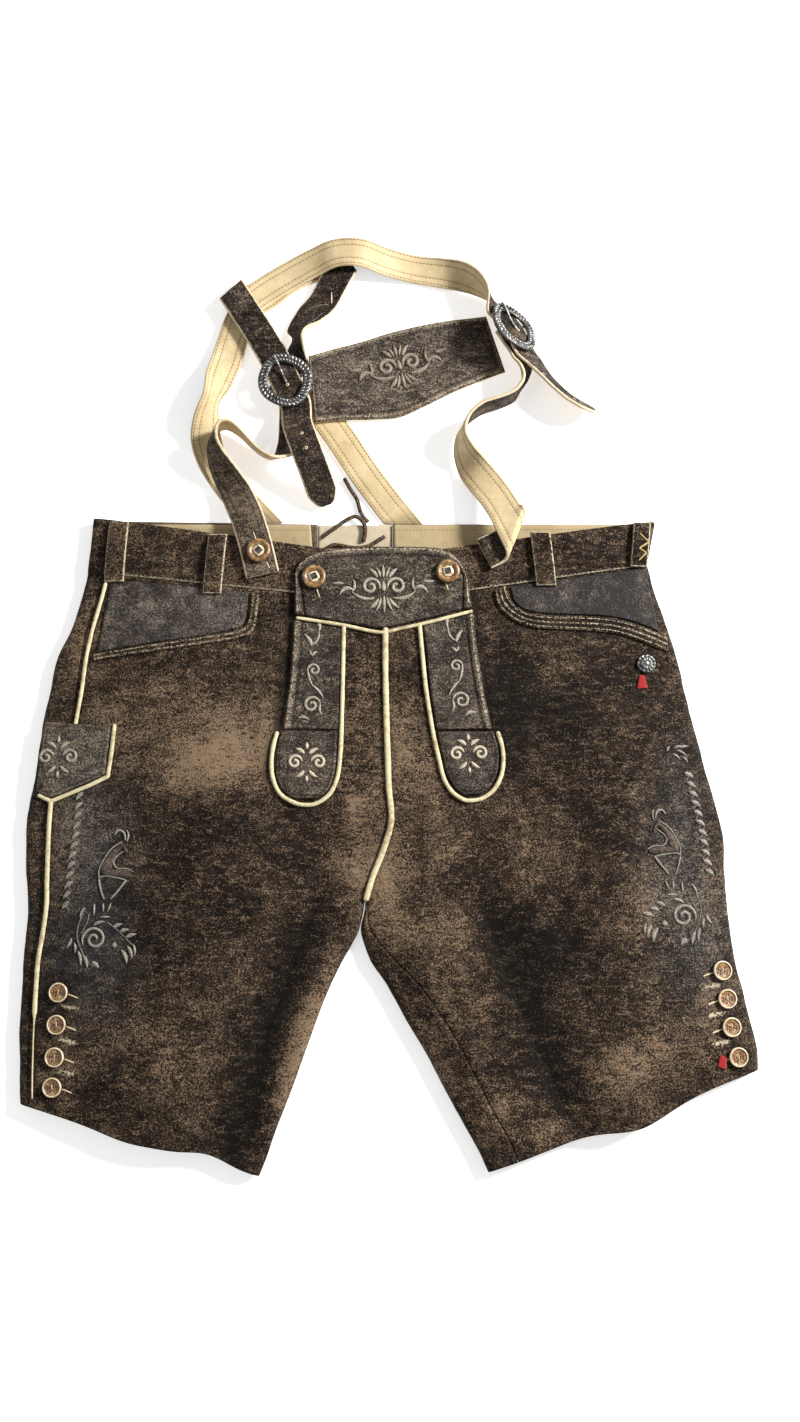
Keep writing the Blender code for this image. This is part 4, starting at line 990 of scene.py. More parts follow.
class Look:
    """A Principled material with helpers to lay its nodes. A value is a socket, a number or a colour."""

    def __init__(self, name, **constants):
        self.material = bpy.data.materials.new(name)
        self.material.use_nodes = True
        self.tree = self.material.node_tree
        self.shader = self.tree.nodes["Principled BSDF"]
        self.place = self.add("ShaderNodeTexCoord").outputs["Object"]
        self.fill(self.shader, **constants)

    def add(self, kind, **settings):
        node = self.tree.nodes.new(kind)
        for key, value in settings.items():
            setattr(node, key, value)
        return node

    def feed(self, socket, value):
        if isinstance(value, bpy.types.NodeSocket):
            self.tree.links.new(value, socket)
        elif isinstance(value, tuple) and len(value) == 3 and socket.type == "RGBA":
            socket.default_value = (*value, 1.0)
        else:
            socket.default_value = value

    def fill(self, node, **values):
        """Feed a node's inputs by their names, with _ for a space."""
        for key, value in values.items():
            self.feed(node.inputs[key.replace("_", " ")], value)
        return node

    def noise(self, scale, detail, roughness, distortion=0.0, stretch=None):
        place = self.place
        if stretch:
            place = self.fill(self.add("ShaderNodeMapping"), Vector=place, Scale=stretch).outputs["Vector"]
        node = self.add("ShaderNodeTexNoise")
        self.fill(node, Vector=place, Scale=scale, Detail=detail, Roughness=roughness, Distortion=distortion)
        return node.outputs["Fac"]

    def cells(self, scale):
        return self.fill(self.add("ShaderNodeTexVoronoi"), Vector=self.place, Scale=scale).outputs["Distance"]

    def math(self, operation, a, b, clamp=False):
        node = self.add("ShaderNodeMath", operation=operation, use_clamp=clamp)
        self.feed(node.inputs[0], a)
        self.feed(node.inputs[1], b)
        return node.outputs[0]

    def total(self, *terms):
        """The sum of the terms. A pair is a value and its weight."""
        parts = [self.math("MULTIPLY", *term) if isinstance(term, tuple) else term for term in terms]
        result = parts[0]
        for part in parts[1:]:
            result = self.math("ADD", result, part)
        return result

    def span(self, value, low, high, to_low=0.0, to_high=1.0):
        node = self.add("ShaderNodeMapRange")
        self.fill(node, Value=value, From_Min=low, From_Max=high, To_Min=to_low, To_Max=to_high)
        return node.outputs["Result"]

    def mix(self, share, a, b):
        node = self.add("ShaderNodeMix", data_type="RGBA")
        for index, value in ((0, share), (6, a), (7, b)):
            self.feed(node.inputs[index], value)
        return node.outputs[2]

    def over(self, colour, paint, share, strength):
        """Paint laid over a colour where the share is, at most with the strength."""
        return self.mix(self.math("MULTIPLY", share, strength), colour, paint)

    def ramp(self, value, stops):
        """Colours at values, blended between them."""
        low, high = stops[0][0], stops[-1][0]
        node = self.fill(self.add("ShaderNodeValToRGB"), Fac=self.span(value, low, high))
        bands = node.color_ramp.elements
        while len(bands) < len(stops):
            bands.new(0.5)
        for band, (at, colour) in zip(bands, stops):
            band.position = (at - low) / (high - low)
            band.color = (*colour, 1.0)
        return node.outputs["Color"]

    def marks(self):
        """The four values painted on the piece's vertices: wear and shade, smooth, pale, and dirt and shade;
        the shade in them is painted shade.
        """
        node = self.add("ShaderNodeAttribute", attribute_name="marks")
        parts = self.add("ShaderNodeSeparateColor")
        self.tree.links.new(node.outputs["Color"], parts.inputs[0])
        return parts.outputs[0], parts.outputs[1], parts.outputs[2], node.outputs["Alpha"]

    def bump(self, height, strength, distance, under=None):
        node = self.fill(self.add("ShaderNodeBump"), Strength=strength, Distance=distance, Height=height)
        if under is not None:
            self.tree.links.new(under, node.inputs["Normal"])
        return node.outputs["Normal"]

    def finish(self, **values):
        self.fill(self.shader, **values)
        return self.material


def suede_look(name, dark, middle, light, scuff, grain=1.0, marked=True):
    """Rough leather: dark hollows under a pale speckle, rubbed to the scuff's colour where the marks say. Below
    zero the mark of wear and shade darkens it, for leather that stayed dark and for painted fold shade."""
    look = Look(name, Specular_IOR_Level=0.09)
    wear, smooth, pale, soot = look.marks() if marked else (0.0, 0.0, 0.0, 0.0)
    broad = look.noise(24, 4, 0.6)
    mottle = look.noise(88, 5, 0.66, 0.4)
    fleck = look.noise(600, 3, 0.70)
    dust = look.noise(1200, 2, 0.6)
    drag = look.noise(150, 4, 0.66, 0.8, (0.55, 1.5, 1.0))
    cloud = look.total((mottle, 0.6), (broad, 0.4), (wear, 0.25))
    busy = look.span(cloud, 0.38, 0.62, 0.38 * grain, 0.92 * grain)
    speck = look.math("MULTIPLY", look.total((fleck, 1.25), (dust, 1.15), -1.2), busy)
    value = look.total(speck, (mottle, 0.62), (broad, 0.42), -0.568, (wear, 0.20), (smooth, -0.06))
    colour = look.ramp(value, ((-0.20, dark), (0.0, middle), (0.20, light), (0.42, scuff)))
    rub = look.total((look.math("MAXIMUM", wear, 0.0), 0.36), drag, (fleck, 0.95), (dust, 0.60))
    colour = look.over(colour, scuff, look.span(rub, 1.36, 1.62), 0.80)
    scratch = look.span(look.noise(330, 2, 0.55, 0.9, (0.30, 1.25, 1.0)), 0.66, 0.72)
    colour = look.over(colour, scuff, look.math("MULTIPLY", scratch, look.span(mottle, 0.50, 0.62)), 0.55)
    worn = look.span(look.total(fleck, (pale, 0.5)), 0.68, 0.86)
    worn = look.math("MULTIPLY", worn, look.math("MULTIPLY", pale, 1.6), clamp=True)
    colour = look.over(colour, (0.62, 0.52, 0.36), worn, 0.95)
    cool = look.ramp(
        value, ((-0.2, (0.016, 0.016, 0.017)), (0.02, (0.052, 0.051, 0.050)), (0.3, (0.19, 0.18, 0.16))))
    colour = look.over(colour, cool, smooth, 0.75)
    # dirt and painted shade, in creases, grooves and beside raised pieces, darken it towards black
    colour = look.over(colour, (0.006, 0.005, 0.004), soot, 0.8)
    fine = look.bump(look.total(fleck, (dust, 0.6)), 0.8 * grain, 0.0008)
    normal = look.bump(mottle, 0.6, 0.0016, fine)
    return look.finish(Base_Color=colour, Roughness=look.span(mottle, 0.3, 0.7, 0.9, 0.66), Normal=normal)


def smooth_look(name, dark, light, spark):
    """Grained leather with a soft shine and rubbed high spots."""
    look = Look(name, Specular_IOR_Level=0.22)
    wear, _, pale, soot = look.marks()
    mottle = look.noise(85, 5, 0.66, 0.3)
    broad = look.noise(26, 3, 0.6)
    fleck = look.noise(640, 3, 0.72)
    value = look.total((fleck, 1.25), (mottle, 0.75), (broad, 0.4), -1.20, (wear, 0.30))
    colour = look.ramp(value, ((-0.16, dark), (0.04, light), (0.22, spark), (0.5, (0.34, 0.26, 0.17))))
    worn = look.math("MULTIPLY", pale, look.span(fleck, 0.36, 0.56), clamp=True)
    colour = look.mix(worn, colour, (0.58, 0.49, 0.36))
    # dirt and painted shade darken it towards black
    colour = look.over(colour, (0.006, 0.005, 0.0045), soot, 0.8)
    fine = look.bump(look.cells(800), 0.5, 0.0006)
    normal = look.bump(look.total(fleck, mottle), 0.6, 0.0010, fine)
    return look.finish(Base_Color=colour, Roughness=look.span(mottle, 0.3, 0.75, 0.72, 0.5), Normal=normal)


def lining_look(name, base, dark, roughness=0.75, marked=True):
    """Pale split leather: soft clouds, fine grain and short wrinkles."""
    look = Look(name, Specular_IOR_Level=0.2)
    soot = look.marks()[DIRT_AND_SHADE] if marked else 0.0
    cloud = look.noise(40, 4, 0.6)
    grain = look.noise(900, 3, 0.7)
    wrinkle = look.noise(160, 3, 0.55, 0.6)
    colour = look.mix(look.span(cloud, 0.32, 0.72), base, dark)
    colour = look.over(colour, dark, look.span(grain, 0.5, 0.72), 0.25)
    colour = look.over(colour, tuple(0.72 * c for c in dark), look.span(wrinkle, 0.58, 0.72), 0.3)
    # dirt and painted shade, as in a strap's grooves, darken the tan
    colour = look.over(colour, tuple(0.4 * c for c in dark), soot, 0.5)
    normal = look.bump(wrinkle, 0.45, 0.0008, look.bump(grain, 0.3, 0.0004))
    rough = look.span(cloud, 0.3, 0.7, roughness + 0.1, roughness - 0.1)
    return look.finish(Base_Color=colour, Roughness=rough, Normal=normal)


def thread_look(name, base, dark):
    look = Look(name, Specular_IOR_Level=0.35, Sheen_Weight=0.25)
    ply = look.noise(1300, 2, 0.5, 1.0)
    cloud = look.noise(120, 3, 0.6)
    colour = look.mix(look.span(ply, 0.4, 0.62), dark, base)
    colour = look.over(colour, dark, look.span(cloud, 0.5, 0.7), 0.5)
    return look.finish(Base_Color=colour, Roughness=0.6, Normal=look.bump(ply, 0.5, 0.0004))


def piping_look(name):
    """Cream leather cord, soiled in places."""
    look = Look(name, Specular_IOR_Level=0.35, Sheen_Weight=0.1)
    dirt = look.noise(210, 5, 0.7)
    fine = look.noise(1100, 3, 0.7)
    soil = look.total((dirt, 0.7), (look.noise(28, 3, 0.6), 0.35))
    colour = look.mix(look.span(soil, 0.50, 0.70), (0.66, 0.575, 0.345), (0.30, 0.21, 0.115))
    colour = look.over(colour, (0.20, 0.14, 0.08), look.span(fine, 0.5, 0.7), 0.35)
    return look.finish(Base_Color=colour, Roughness=0.62, Normal=look.bump(look.total(dirt, fine), 0.5, 0.0006))


def horn_look(name, base, dark, pale):
    """Horn: warm streaks and clouds under a soft polish."""
    look = Look(name, Specular_IOR_Level=0.5, Coat_Weight=0.25, Coat_Roughness=0.25)
    streak = look.noise(330, 5, 0.7, 1.8, (1.0, 3.4, 1.0))
    cloud = look.noise(260, 4, 0.6)
    colour = look.mix(look.span(streak, 0.44, 0.57), base, dark)
    colour = look.over(colour, pale, look.span(cloud, 0.5, 0.7), 0.6)
    rough = look.span(cloud, 0.3, 0.7, 0.32, 0.5)
    return look.finish(Base_Color=colour, Roughness=rough, Normal=look.bump(streak, 0.3, 0.0003))


def silver_look(name, bright, dark, metallic=1.0):
    """Cast metal, dark in its hollows and bright where it is rubbed."""
    look = Look(name, Metallic=metallic, Specular_IOR_Level=0.5)
    tarnish = look.noise(420, 5, 0.7)
    fine = look.noise(1600, 3, 0.7)
    soil = look.total((tarnish, 0.7), (look.noise(90, 3, 0.6), 0.4))
    colour = look.mix(look.span(soil, 0.42, 0.64), bright, dark)
    normal = look.bump(look.total(tarnish, fine), 0.5, 0.0004)
    return look.finish(Base_Color=colour, Roughness=look.span(soil, 0.4, 0.7, 0.28, 0.6), Normal=normal)


def cloth_look(name, base, dark):
    """Woven tape: two crossing sets of ribs."""
    look = Look(name, Specular_IOR_Level=0.2, Sheen_Weight=0.3)
    waves = []
    for axis in ("X", "Y"):
        wave = look.add("ShaderNodeTexWave", bands_direction=axis)
        waves.append(look.fill(wave, Vector=look.place, Scale=420).outputs["Fac"])
    weave = look.math("MULTIPLY", *waves)
    colour = look.mix(look.span(weave, 0.1, 0.7), dark, base)
    return look.finish(Base_Color=colour, Roughness=0.85, Normal=look.bump(weave, 0.6, 0.0004))


SUEDE = suede_look(
    "brown_suede", (0.0055, 0.0036, 0.0026), (0.0225, 0.0150, 0.0100), (0.112, 0.076, 0.048),
    (0.245, 0.165, 0.102))
SUEDE_INSIDE = suede_look(
    "suede_flesh_side", (0.040, 0.029, 0.020), (0.080, 0.058, 0.040), (0.18, 0.13, 0.09), (0.22, 0.15, 0.09),
    0.6)
STRAP_LEATHER = suede_look(
    "strap_suede", (0.0060, 0.0042, 0.0033), (0.0245, 0.0172, 0.0125), (0.092, 0.067, 0.048),
    (0.24, 0.18, 0.125), 0.75)
SMOOTH = suede_look(
    "grained_leather", (0.0110, 0.0086, 0.0069), (0.0430, 0.0345, 0.0276), (0.140, 0.112, 0.087),
    (0.28, 0.22, 0.16), 0.74)
FACING_LOOK = smooth_look(
    "facing_leather", (0.0140, 0.0108, 0.0086), (0.070, 0.0560, 0.0455), (0.205, 0.162, 0.126))
PADDED = suede_look(
    "padded_suede",
    (0.034, 0.0250, 0.0190), (0.080, 0.0600, 0.0460), (0.150, 0.116, 0.090), (0.28, 0.22, 0.17),
    0.7, marked=False)
LINING_LOOK = lining_look("tan_split", (0.63, 0.50, 0.30), (0.47, 0.35, 0.185))
EDGE_LOOK = lining_look("strap_edge", (0.74, 0.64, 0.45), (0.48, 0.37, 0.22))
SLIT_LOOK = lining_look("slit_edge", (0.66, 0.55, 0.38), (0.42, 0.32, 0.19), marked=False)
CUT_EDGE = lining_look("cut_edge", (0.20, 0.14, 0.09), (0.07, 0.045, 0.03), 0.85)
GUSSET_LOOK = lining_look("gusset_leather", (0.78, 0.69, 0.50), (0.62, 0.50, 0.33))
PIPING_LOOK = piping_look("cream_cord")
THREAD_DARK = thread_look("brown_thread", (0.060, 0.040, 0.026), (0.016, 0.011, 0.008))
THREAD_TAN = thread_look("tan_thread", (0.13, 0.075, 0.028), (0.05, 0.028, 0.011))
THREAD_PALE = thread_look("pale_thread", (0.60, 0.53, 0.40), (0.33, 0.27, 0.18))
THREAD_GREY = thread_look("grey_thread", (0.47, 0.42, 0.32), (0.14, 0.115, 0.085))
THREAD_SHADE = thread_look("shaded_thread", (0.20, 0.185, 0.150), (0.036, 0.032, 0.027))
THREAD_MOSS = thread_look("moss_thread", (0.36, 0.325, 0.255), (0.085, 0.075, 0.060))
THREAD_WORN = thread_look("worn_thread", (0.34, 0.28, 0.20), (0.10, 0.075, 0.055))
THREAD_GOLD_WORN = thread_look("worn_gold_thread", (0.36, 0.25, 0.14), (0.06, 0.042, 0.028))
THREAD_GOLD = thread_look("gold_thread", (0.62, 0.42, 0.14), (0.20, 0.12, 0.035))
HORN_LOOK = horn_look("brown_horn", (0.31, 0.150, 0.045), (0.045, 0.021, 0.009), (0.62, 0.45, 0.22))
HORN_RIM = horn_look("horn_rim", (0.74, 0.63, 0.42), (0.46, 0.31, 0.15), (0.90, 0.84, 0.68))
HORN_DARK = horn_look("horn_marks", (0.055, 0.028, 0.012), (0.018, 0.010, 0.005), (0.13, 0.07, 0.03))
SILVER = silver_look("antique_silver", (0.62, 0.62, 0.61), (0.060, 0.057, 0.055))
DARK_SILVER = silver_look("tarnished_silver", (0.19, 0.18, 0.165), (0.020, 0.019, 0.019), 0.85)
DULL_SILVER = silver_look("dull_silver", (0.34, 0.36, 0.35), (0.050, 0.052, 0.050), 0.9)
RED_TAPE = cloth_look("red_tape", (0.52, 0.020, 0.018), (0.22, 0.008, 0.008))
LACE_LOOK = suede_look(
    "lace_suede", (0.020, 0.013, 0.008), (0.065, 0.043, 0.028), (0.24, 0.17, 0.115), (0.26, 0.19, 0.12),
    0.8, marked=False)
BROWN = [SUEDE, SUEDE_INSIDE, CUT_EDGE]        # looks of a piece's face, back and rim
DARK_BROWN = [SMOOTH, SUEDE_INSIDE, CUT_EDGE]


def placed(piece, *nodes, slot=None):
    """The piece rides on the garment's only body and stands for its CAD nodes."""
    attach(piece, "root")
    if nodes:
        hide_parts(*nodes)
    return piece


# ---------------------------------------------------------------- camera, cords, light
CAMERA_TILT = 10           # degrees off the vertical
CAMERA_DISTANCE = 1.2      # metres
SENSOR_HEIGHT = 36.0
CAMERA_LENS = 36.61
WHITE = (1, 1, 1, 1)


def set_camera():
    """Nearly straight down on the garment."""
    tilt = math.radians(CAMERA_TILT)
    data = bpy.data.cameras.new("camera")
    data.sensor_fit = "VERTICAL"
    data.sensor_height = SENSOR_HEIGHT
    data.lens = CAMERA_LENS
    data.clip_start, data.clip_end = 0.05, 50.0
    camera = add_object("camera", data)
    x, y, _ = -ORIGIN * MM
    camera.location = (x, y - CAMERA_DISTANCE * math.sin(tilt), CAMERA_DISTANCE * math.cos(tilt))
    camera.rotation_euler = (tilt, 0, 0)
    bpy.context.scene.camera = camera


def set_laces():
    """The vent's thong in its three stretches."""
    for name, stations in LACES.items():
        line = even_line(stations, 2.2)
        points = (line - ORIGIN) * MM
        data = bpy.data.curves.new(name + "_thong", "CURVE")
        data.dimensions = "3D"
        data.bevel_depth = LACE / 2 * MM
        data.bevel_resolution = 4
        data.use_fill_caps = True
        spline = data.splines.new("POLY")
        spline.points.add(len(line) - 1)
        for point, at in zip(spline.points, points):
            point.co = (*at, 1.0)
        data.materials.append(LACE_LOOK)
        piece = placed(add_object(name + "_thong", data), name, slot="worn_leather")


def area_light(name, place, size, power):
    """A round lamp that shines on the garment's middle."""
    data = bpy.data.lights.new(name, "AREA")
    data.shape = "DISK"
    data.size = size
    data.energy = power
    lamp = add_object(name, data)
    lamp.location = place
    lamp.rotation_euler = (-Vector(place)).to_track_quat("-Z", "Y").to_euler()


def set_stage():
    """A white floor, a bright surround, and one strong soft light from the wearer's left."""
    half, low = 4.0, -0.0004
    mesh = bpy.data.meshes.new("floor")
    corners = [(-half, -half, low), (half, -half, low), (half, half, low), (-half, half, low)]
    mesh.from_pydata(corners, [], [(0, 1, 2, 3)])
    look = Look(
        "floor_white", Roughness=0.9, Specular_IOR_Level=0.1, Emission_Color=WHITE, Emission_Strength=0.5)
    mesh.materials.append(look.finish(Base_Color=(0.93, 0.93, 0.93)))
    add_object("floor", mesh)
    studio = bpy.data.worlds.new("studio")
    studio.use_nodes = True
    background = studio.node_tree.nodes["Background"]
    background.inputs["Color"].default_value = WHITE
    background.inputs["Strength"].default_value = 0.39
    bpy.context.scene.world = studio
    bpy.context.scene.view_settings.view_transform = "Standard"
    area_light("key", (1.62, 0.72, 1.18), 0.42, 96)
    area_light("fill", (-1.2, -0.6, 1.8), 1.6, 4)


# ---------------------------------------------------------------- marks: where the leather is worn, and painted shade
WEAR_AND_SHADE_SPOTS = (
    # x, y, radius_x, radius_y, angle, amount: pale where rubbed; below zero darker, where it stayed dark and,
    # most strongly along the leg creases and round the crotch, as painted fold shade
    (-131, -34, 52, 26, 10, 0.60),
    (-172, -54, 28, 18, 20, 0.70),
    (-215, 8, 40, 18, -10, 0.22),
    (-90, -43, 18, 24, 0, 0.70),
    (0, -27, 22, 34, 0, 0.58),
    (-30, 20, 16, 40, 0, 0.20),
    (-120, -26, 70, 46, 0, 0.24),
    (25, -52, 12, 30, 0, 0.50),
    (-36, -84, 9, 16, 10, 0.70),
    (-16, -143, 20, 34, 0, 0.85),
    (-49, -127, 16, 18, 0, 0.35),
    (49, -118, 26, 16, 10, 0.40),
    (0, -185, 16, 20, 0, 0.40),
    (-66, -232, 12, 52, -22, 0.50),
    (-90, -292, 11, 44, -20, 0.55),
    (25, -285, 12, 50, 30, 0.40),
    (-262, -126, 20, 60, 0, 0.40),
    (-270, -293, 20, 40, 0, 0.40),
    (-238, -10, 20, 18, 0, 0.35),
    (-262, 56, 12, 30, 0, 0.45),
    (197, 56, 34, 12, 10, 0.35),
    (140, 30, 30, 10, 25, 0.50),
    (172, 4, 22, 12, -15, 0.40),
    (213, 14, 24, 20, 0, 0.35),
    (213, -160, 30, 40, 0, 0.30),
    (246, -200, 20, 60, 0, 0.45),
    (180, -285, 44, 22, 15, 0.60),
    (115, -335, 30, 14, 20, 0.55),
    (74, -320, 16, 22, 20, 0.45),
    (-166, -300, 40, 20, -15, 0.12),
    (-205, -316, 50, 24, -15, -0.30),
    (-200, -270, 24, 20, 0, 0.20),
    (-115, -101, 46, 26, 0, -0.60),
    (-150, -140, 50, 24, 0, -0.35),
    (-74, -118, 20, 20, 0, -0.40),
    (82, -10, 18, 44, -6, -0.70),
    (131, 4, 44, 20, 0, -0.30),
    (112, -190, 36, 34, 0, -0.60),
    (44, -180, 26, 16, 0, 0.40),
    (130, -205, 34, 30, 0, -0.45),
    (164, -102, 26, 40, 0, -0.45),
    (-197, -177, 44, 40, 0, -0.40),
    # painted shade along the troughs of the leg creases
    (-93, -228, 17, 62, -21, -1.15),
    (-122, -318, 17, 56, -12, -1.15),
    (86, -200, 17, 54, 20, -1.10),
    (118, -284, 17, 52, 20, -1.10),
    (-200, 66, 40, 10, 8, -0.30),
    (-60, 90, 26, 20, 0, -0.10),
    (130, 10, 90, 66, 0, -0.55),
    (214, 60, 30, 50, 0, -0.20),
    (150, -250, 70, 60, 0, -0.10),
    (-190, 130, 60, 16, 8, -0.25),
    (140, 135, 60, 16, -8, -0.25),
)
SMOOTH_SPOTS = (
    (-250, -130, 30, 80, 6, 0.85),
    (-252, -200, 34, 40, 0, 0.70),
    (224, -100, 26, 70, -8, 0.75),
    (240, -190, 30, 50, 0, 0.70),
)


def spots(x, y, table):
    total = np.zeros(np.shape(x))
    for cx, cy, rx, ry, angle, amount in table:
        c, s = math.cos(math.radians(angle)), math.sin(math.radians(angle))
        u, v = ((x - cx) * c + (y - cy) * s) / rx, (-(x - cx) * s + (y - cy) * c) / ry
        total = total + amount * np.exp(-(u * u + v * v))
    return total


def leather_marks(grid, pale_lines=(), soot_lines=(), wear=WEAR_AND_SHADE_SPOTS, high=0.0):
    """Marks for a grid of drawing points. A line of pale or soot has its width and its amount."""
    x, y = grid[..., 0], grid[..., 1]
    marks = np.zeros((*grid.shape[:-1], 4))
    marks[..., WEAR_AND_SHADE] = spots(x, y, wear) + 0.16 * fractal(x, y, 60, 3) + high
    marks[..., SMOOTHED] = spots(x, y, SMOOTH_SPOTS)
    # near black where the mark of wear and shade is well below zero: painted fold shade
    marks[..., DIRT_AND_SHADE] = 0.75 * np.clip((-marks[..., WEAR_AND_SHADE] - 0.35) / 0.6, 0, 1)
    for kind, lines in ((PALE, pale_lines), (DIRT_AND_SHADE, soot_lines)):
        for line, width, amount in lines:
            at_least(marks, kind, amount * bell(line_distance(x, y, line)[0], width))
    return marks


# ---------------------------------------------------------------- sheets, noted as they are made
SHEETS = {}


def cut(piece, face, held, *rests_on):
    """Note a piece as a sheet of leather. Its face, held and rests_on are kept but not used."""
    SHEETS[piece.name] = (piece, face, held, rests_on, [])


def sewn(piece, *things):
    """Note stitches, embroidery and other pieces that go with a sheet."""
    SHEETS[piece.name][4].extend(things)


# ---------------------------------------------------------------- the trousers
LEGS = (("right", RIGHT_SECTIONS, -1), ("left", LEFT_SECTIONS, 1))     # and which way each lies
LEG_BUTTONS = {"right": RIGHT_LEG_BUTTONS, "left": LEFT_LEG_BUTTONS}
SEAM_DARKENING_AND_FLAP_SHADOW = (
    # lines darkened along the seams, its width and its amount; the last two lie beside the flap and are painted
    # shadow of the flap
    (CENTRE_PIPING, 3.5, 0.8),
    (SIDE_PIPING_UPPER, 3.0, 0.8),
    (SIDE_PIPING_LOWER, 3.0, 0.8),
    (((-89, 116), (-90, 86), (-93, 34), (-98, 0), (-101, -24), (-106.5, -39), (-107, -56)), 5.0, 1.0),
    (((55, 116), (61.5, 84), (71, 20), (76.4, -11), (81, -27), (85.5, -39)), 4.0, 0.7),
)
PANEL_GRIDS = {
    # columns of a panel's grid, height and seed of its lumps
    "front": (112, 0.55, 2),
    "back": (128, 0.5, 6),
}
ROWS_BETWEEN = 7       # rows of a panel's grid from one section to the next
BAND_ROWS = 25
BAND_COLUMNS = 120
BAND_ENDS = {"right": (RIGHT_BAND_TOP, VENT_RIGHT), "left": (LEFT_BAND_TOP, VENT_LEFT)}
WAIST_INSIDE = {
    # lower corners, x of the upper end, height over the ground, thickness, look, slot, strength of ripples
    "band_lining_right": (
        (-243, 122), (-72.5, 118), -75.5, BAND_LEATHER + GAP, LINING, LINING_LOOK, "tan_lining", 1.0),
    "band_lining_left": (
        (-5.6, 118), (194, 124), 194, BAND_LEATHER + GAP, LINING, LINING_LOOK, "tan_lining", 1.0),
    "vent_gusset": (
        (VENT_RIGHT + SEAM, 116), (VENT_LEFT - SEAM, 116), VENT_LEFT - SEAM, GAP, GUSSET, GUSSET_LOOK,
        "cream_piping", 1.6),
}
CREASES = (
    # line, half width, height: ridges over and dips under the panels' own folds
    (((-20, -150), (-60, -118), (-110, -92)), 5.0, 0.9),
    (((-24, -160), (-66, -140), (-104, -126)), 6.0, -1.2),
    (((-40, -190), (-86, -160), (-130, -150)), 5.0, 0.8),
    (((0, -150), (44, -116), (96, -98)), 5.0, 0.9),
    (((2, -160), (50, -138), (92, -122)), 6.0, -1.2),
    (((10, -186), (60, -160), (110, -146)), 5.0, 0.8),
    (((-64, -150), (-92, -220), (-122, -300), (-134, -352)), 4.0, -1.4),
    (((-50, -210), (-82, -280), (-108, -352)), 4.5, 1.4),
    (((62, -150), (86, -220), (120, -300), (140, -352)), 4.0, -1.4),
    (((20, -210), (56, -280), (92, -352)), 4.5, 1.4),
    (((-196, -140), (-180, -220), (-188, -300)), 9.0, 0.9),
    (((-232, -120), (-222, -200), (-226, -280)), 8.0, -0.8),
    (((190, -120), (196, -200), (206, -290)), 9.0, 0.9),
    (((222, -120), (226, -190), (232, -270)), 8.0, -0.8),
    (((-140, 40), (-128, 0), (-124, -50)), 8.0, -0.8),
    (((-230, 24), (-206, 12), (-176, 16)), 6.0, 0.8),
    (((-226, -8), (-196, -22), (-160, -20)), 6.0, -0.8),
    (((112, 54), (150, 46), (196, 48)), 5.0, 0.9),
    (((112, 30), (156, 18), (206, 24)), 6.0, -0.8),
    (((112, 8), (150, -12), (196, -8)), 6.0, 0.8),
    (((100, -40), (140, -56), (190, -50)), 7.0, -0.7),
    (((-258, 60), (-244, 66), (-230, 64)), 3.5, 1.0),
    (((-262, 44), (-248, 50), (-232, 50)), 3.0, -0.9),
)


def creased(grid, normals, lines, lump, seed, calm):
    """The grid moved along its normals by creases and a lumpy hand, where it isn't calm, and the moves."""
    x, y = grid[..., 0], grid[..., 1]
    move = lump * fractal(x, y, 34, seed) + 0.30 * lump * fractal(x, y, 9, seed + 5)
    for line, half_width, height in lines:
        d, share = line_distance(x, y, even_line(line, 4.0))
        fade = np.clip(np.minimum(share, 1 - share) * 5, 0, 1)
        move = move + height * bell(d, half_width) * (0.25 + 0.75 * fade)
    move = move * calm
    return grid + normals * move[..., None], move


def ring_grid(sections, spans, columns):
    """Face and inner grids of a panel: spans gives each section's first and last distance round its ring."""
    face, inner = [], []
    for (section, *_), (start, end) in zip(sections, spans):
        places = np.linspace(start, end, columns)
        face.append([section.point(s, 0.0) for s in places])
        inner.append([section.point(s, LEATHER) for s in places])
    count = (len(sections) - 1) * ROWS_BETWEEN + 1
    return smooth_along(face, count), smooth_along(inner, count)


def edge_calm(grid, reach):
    """0 at the grid's borders, 1 from reach millimetres inside them."""
    rows, columns = grid.shape[:2]
    step_r = np.linalg.norm(np.diff(grid, axis=0), axis=-1).mean()
    step_c = np.linalg.norm(np.diff(grid, axis=1), axis=-1).mean()
    r = np.minimum(np.arange(rows), np.arange(rows)[::-1]) * step_r
    c = np.minimum(np.arange(columns), np.arange(columns)[::-1]) * step_c
    return np.clip(np.minimum(r[:, None], c[None, :]) / reach, 0, 1)


HEM_WAVES = {
    # along each hem: middle x, half width, and how much lower the edge hangs there
    "right": ((-214, 26, 3.5), (-150, 20, -5.5)), "left": ((190, 30, 9.5),),
}
HEM_REACH = 60.0       # how far up from the hem a wave can be felt


def hem_waved(grid, side):
    """The grid of a leg panel, whose last row is the hem, with the hem's waves."""
    steps = np.linalg.norm(np.diff(grid[::-1], axis=0), axis=-1)
    run = np.concatenate([np.zeros((1, grid.shape[1])), np.cumsum(steps, axis=0)])[::-1]
    fade = np.clip(1 - run / HEM_REACH, 0, 1) ** 2
    lower = sum(amount * bell(grid[..., 0] - middle, half) for middle, half, amount in HEM_WAVES[side])
    return grid - np.stack([0 * run, lower * fade, 0 * run], axis=-1)


def off_table(face):
    """0 where a face lies on the table, 1 well above it."""
    return np.clip((face[..., 2] - 0.4) / 3, 0, 1)


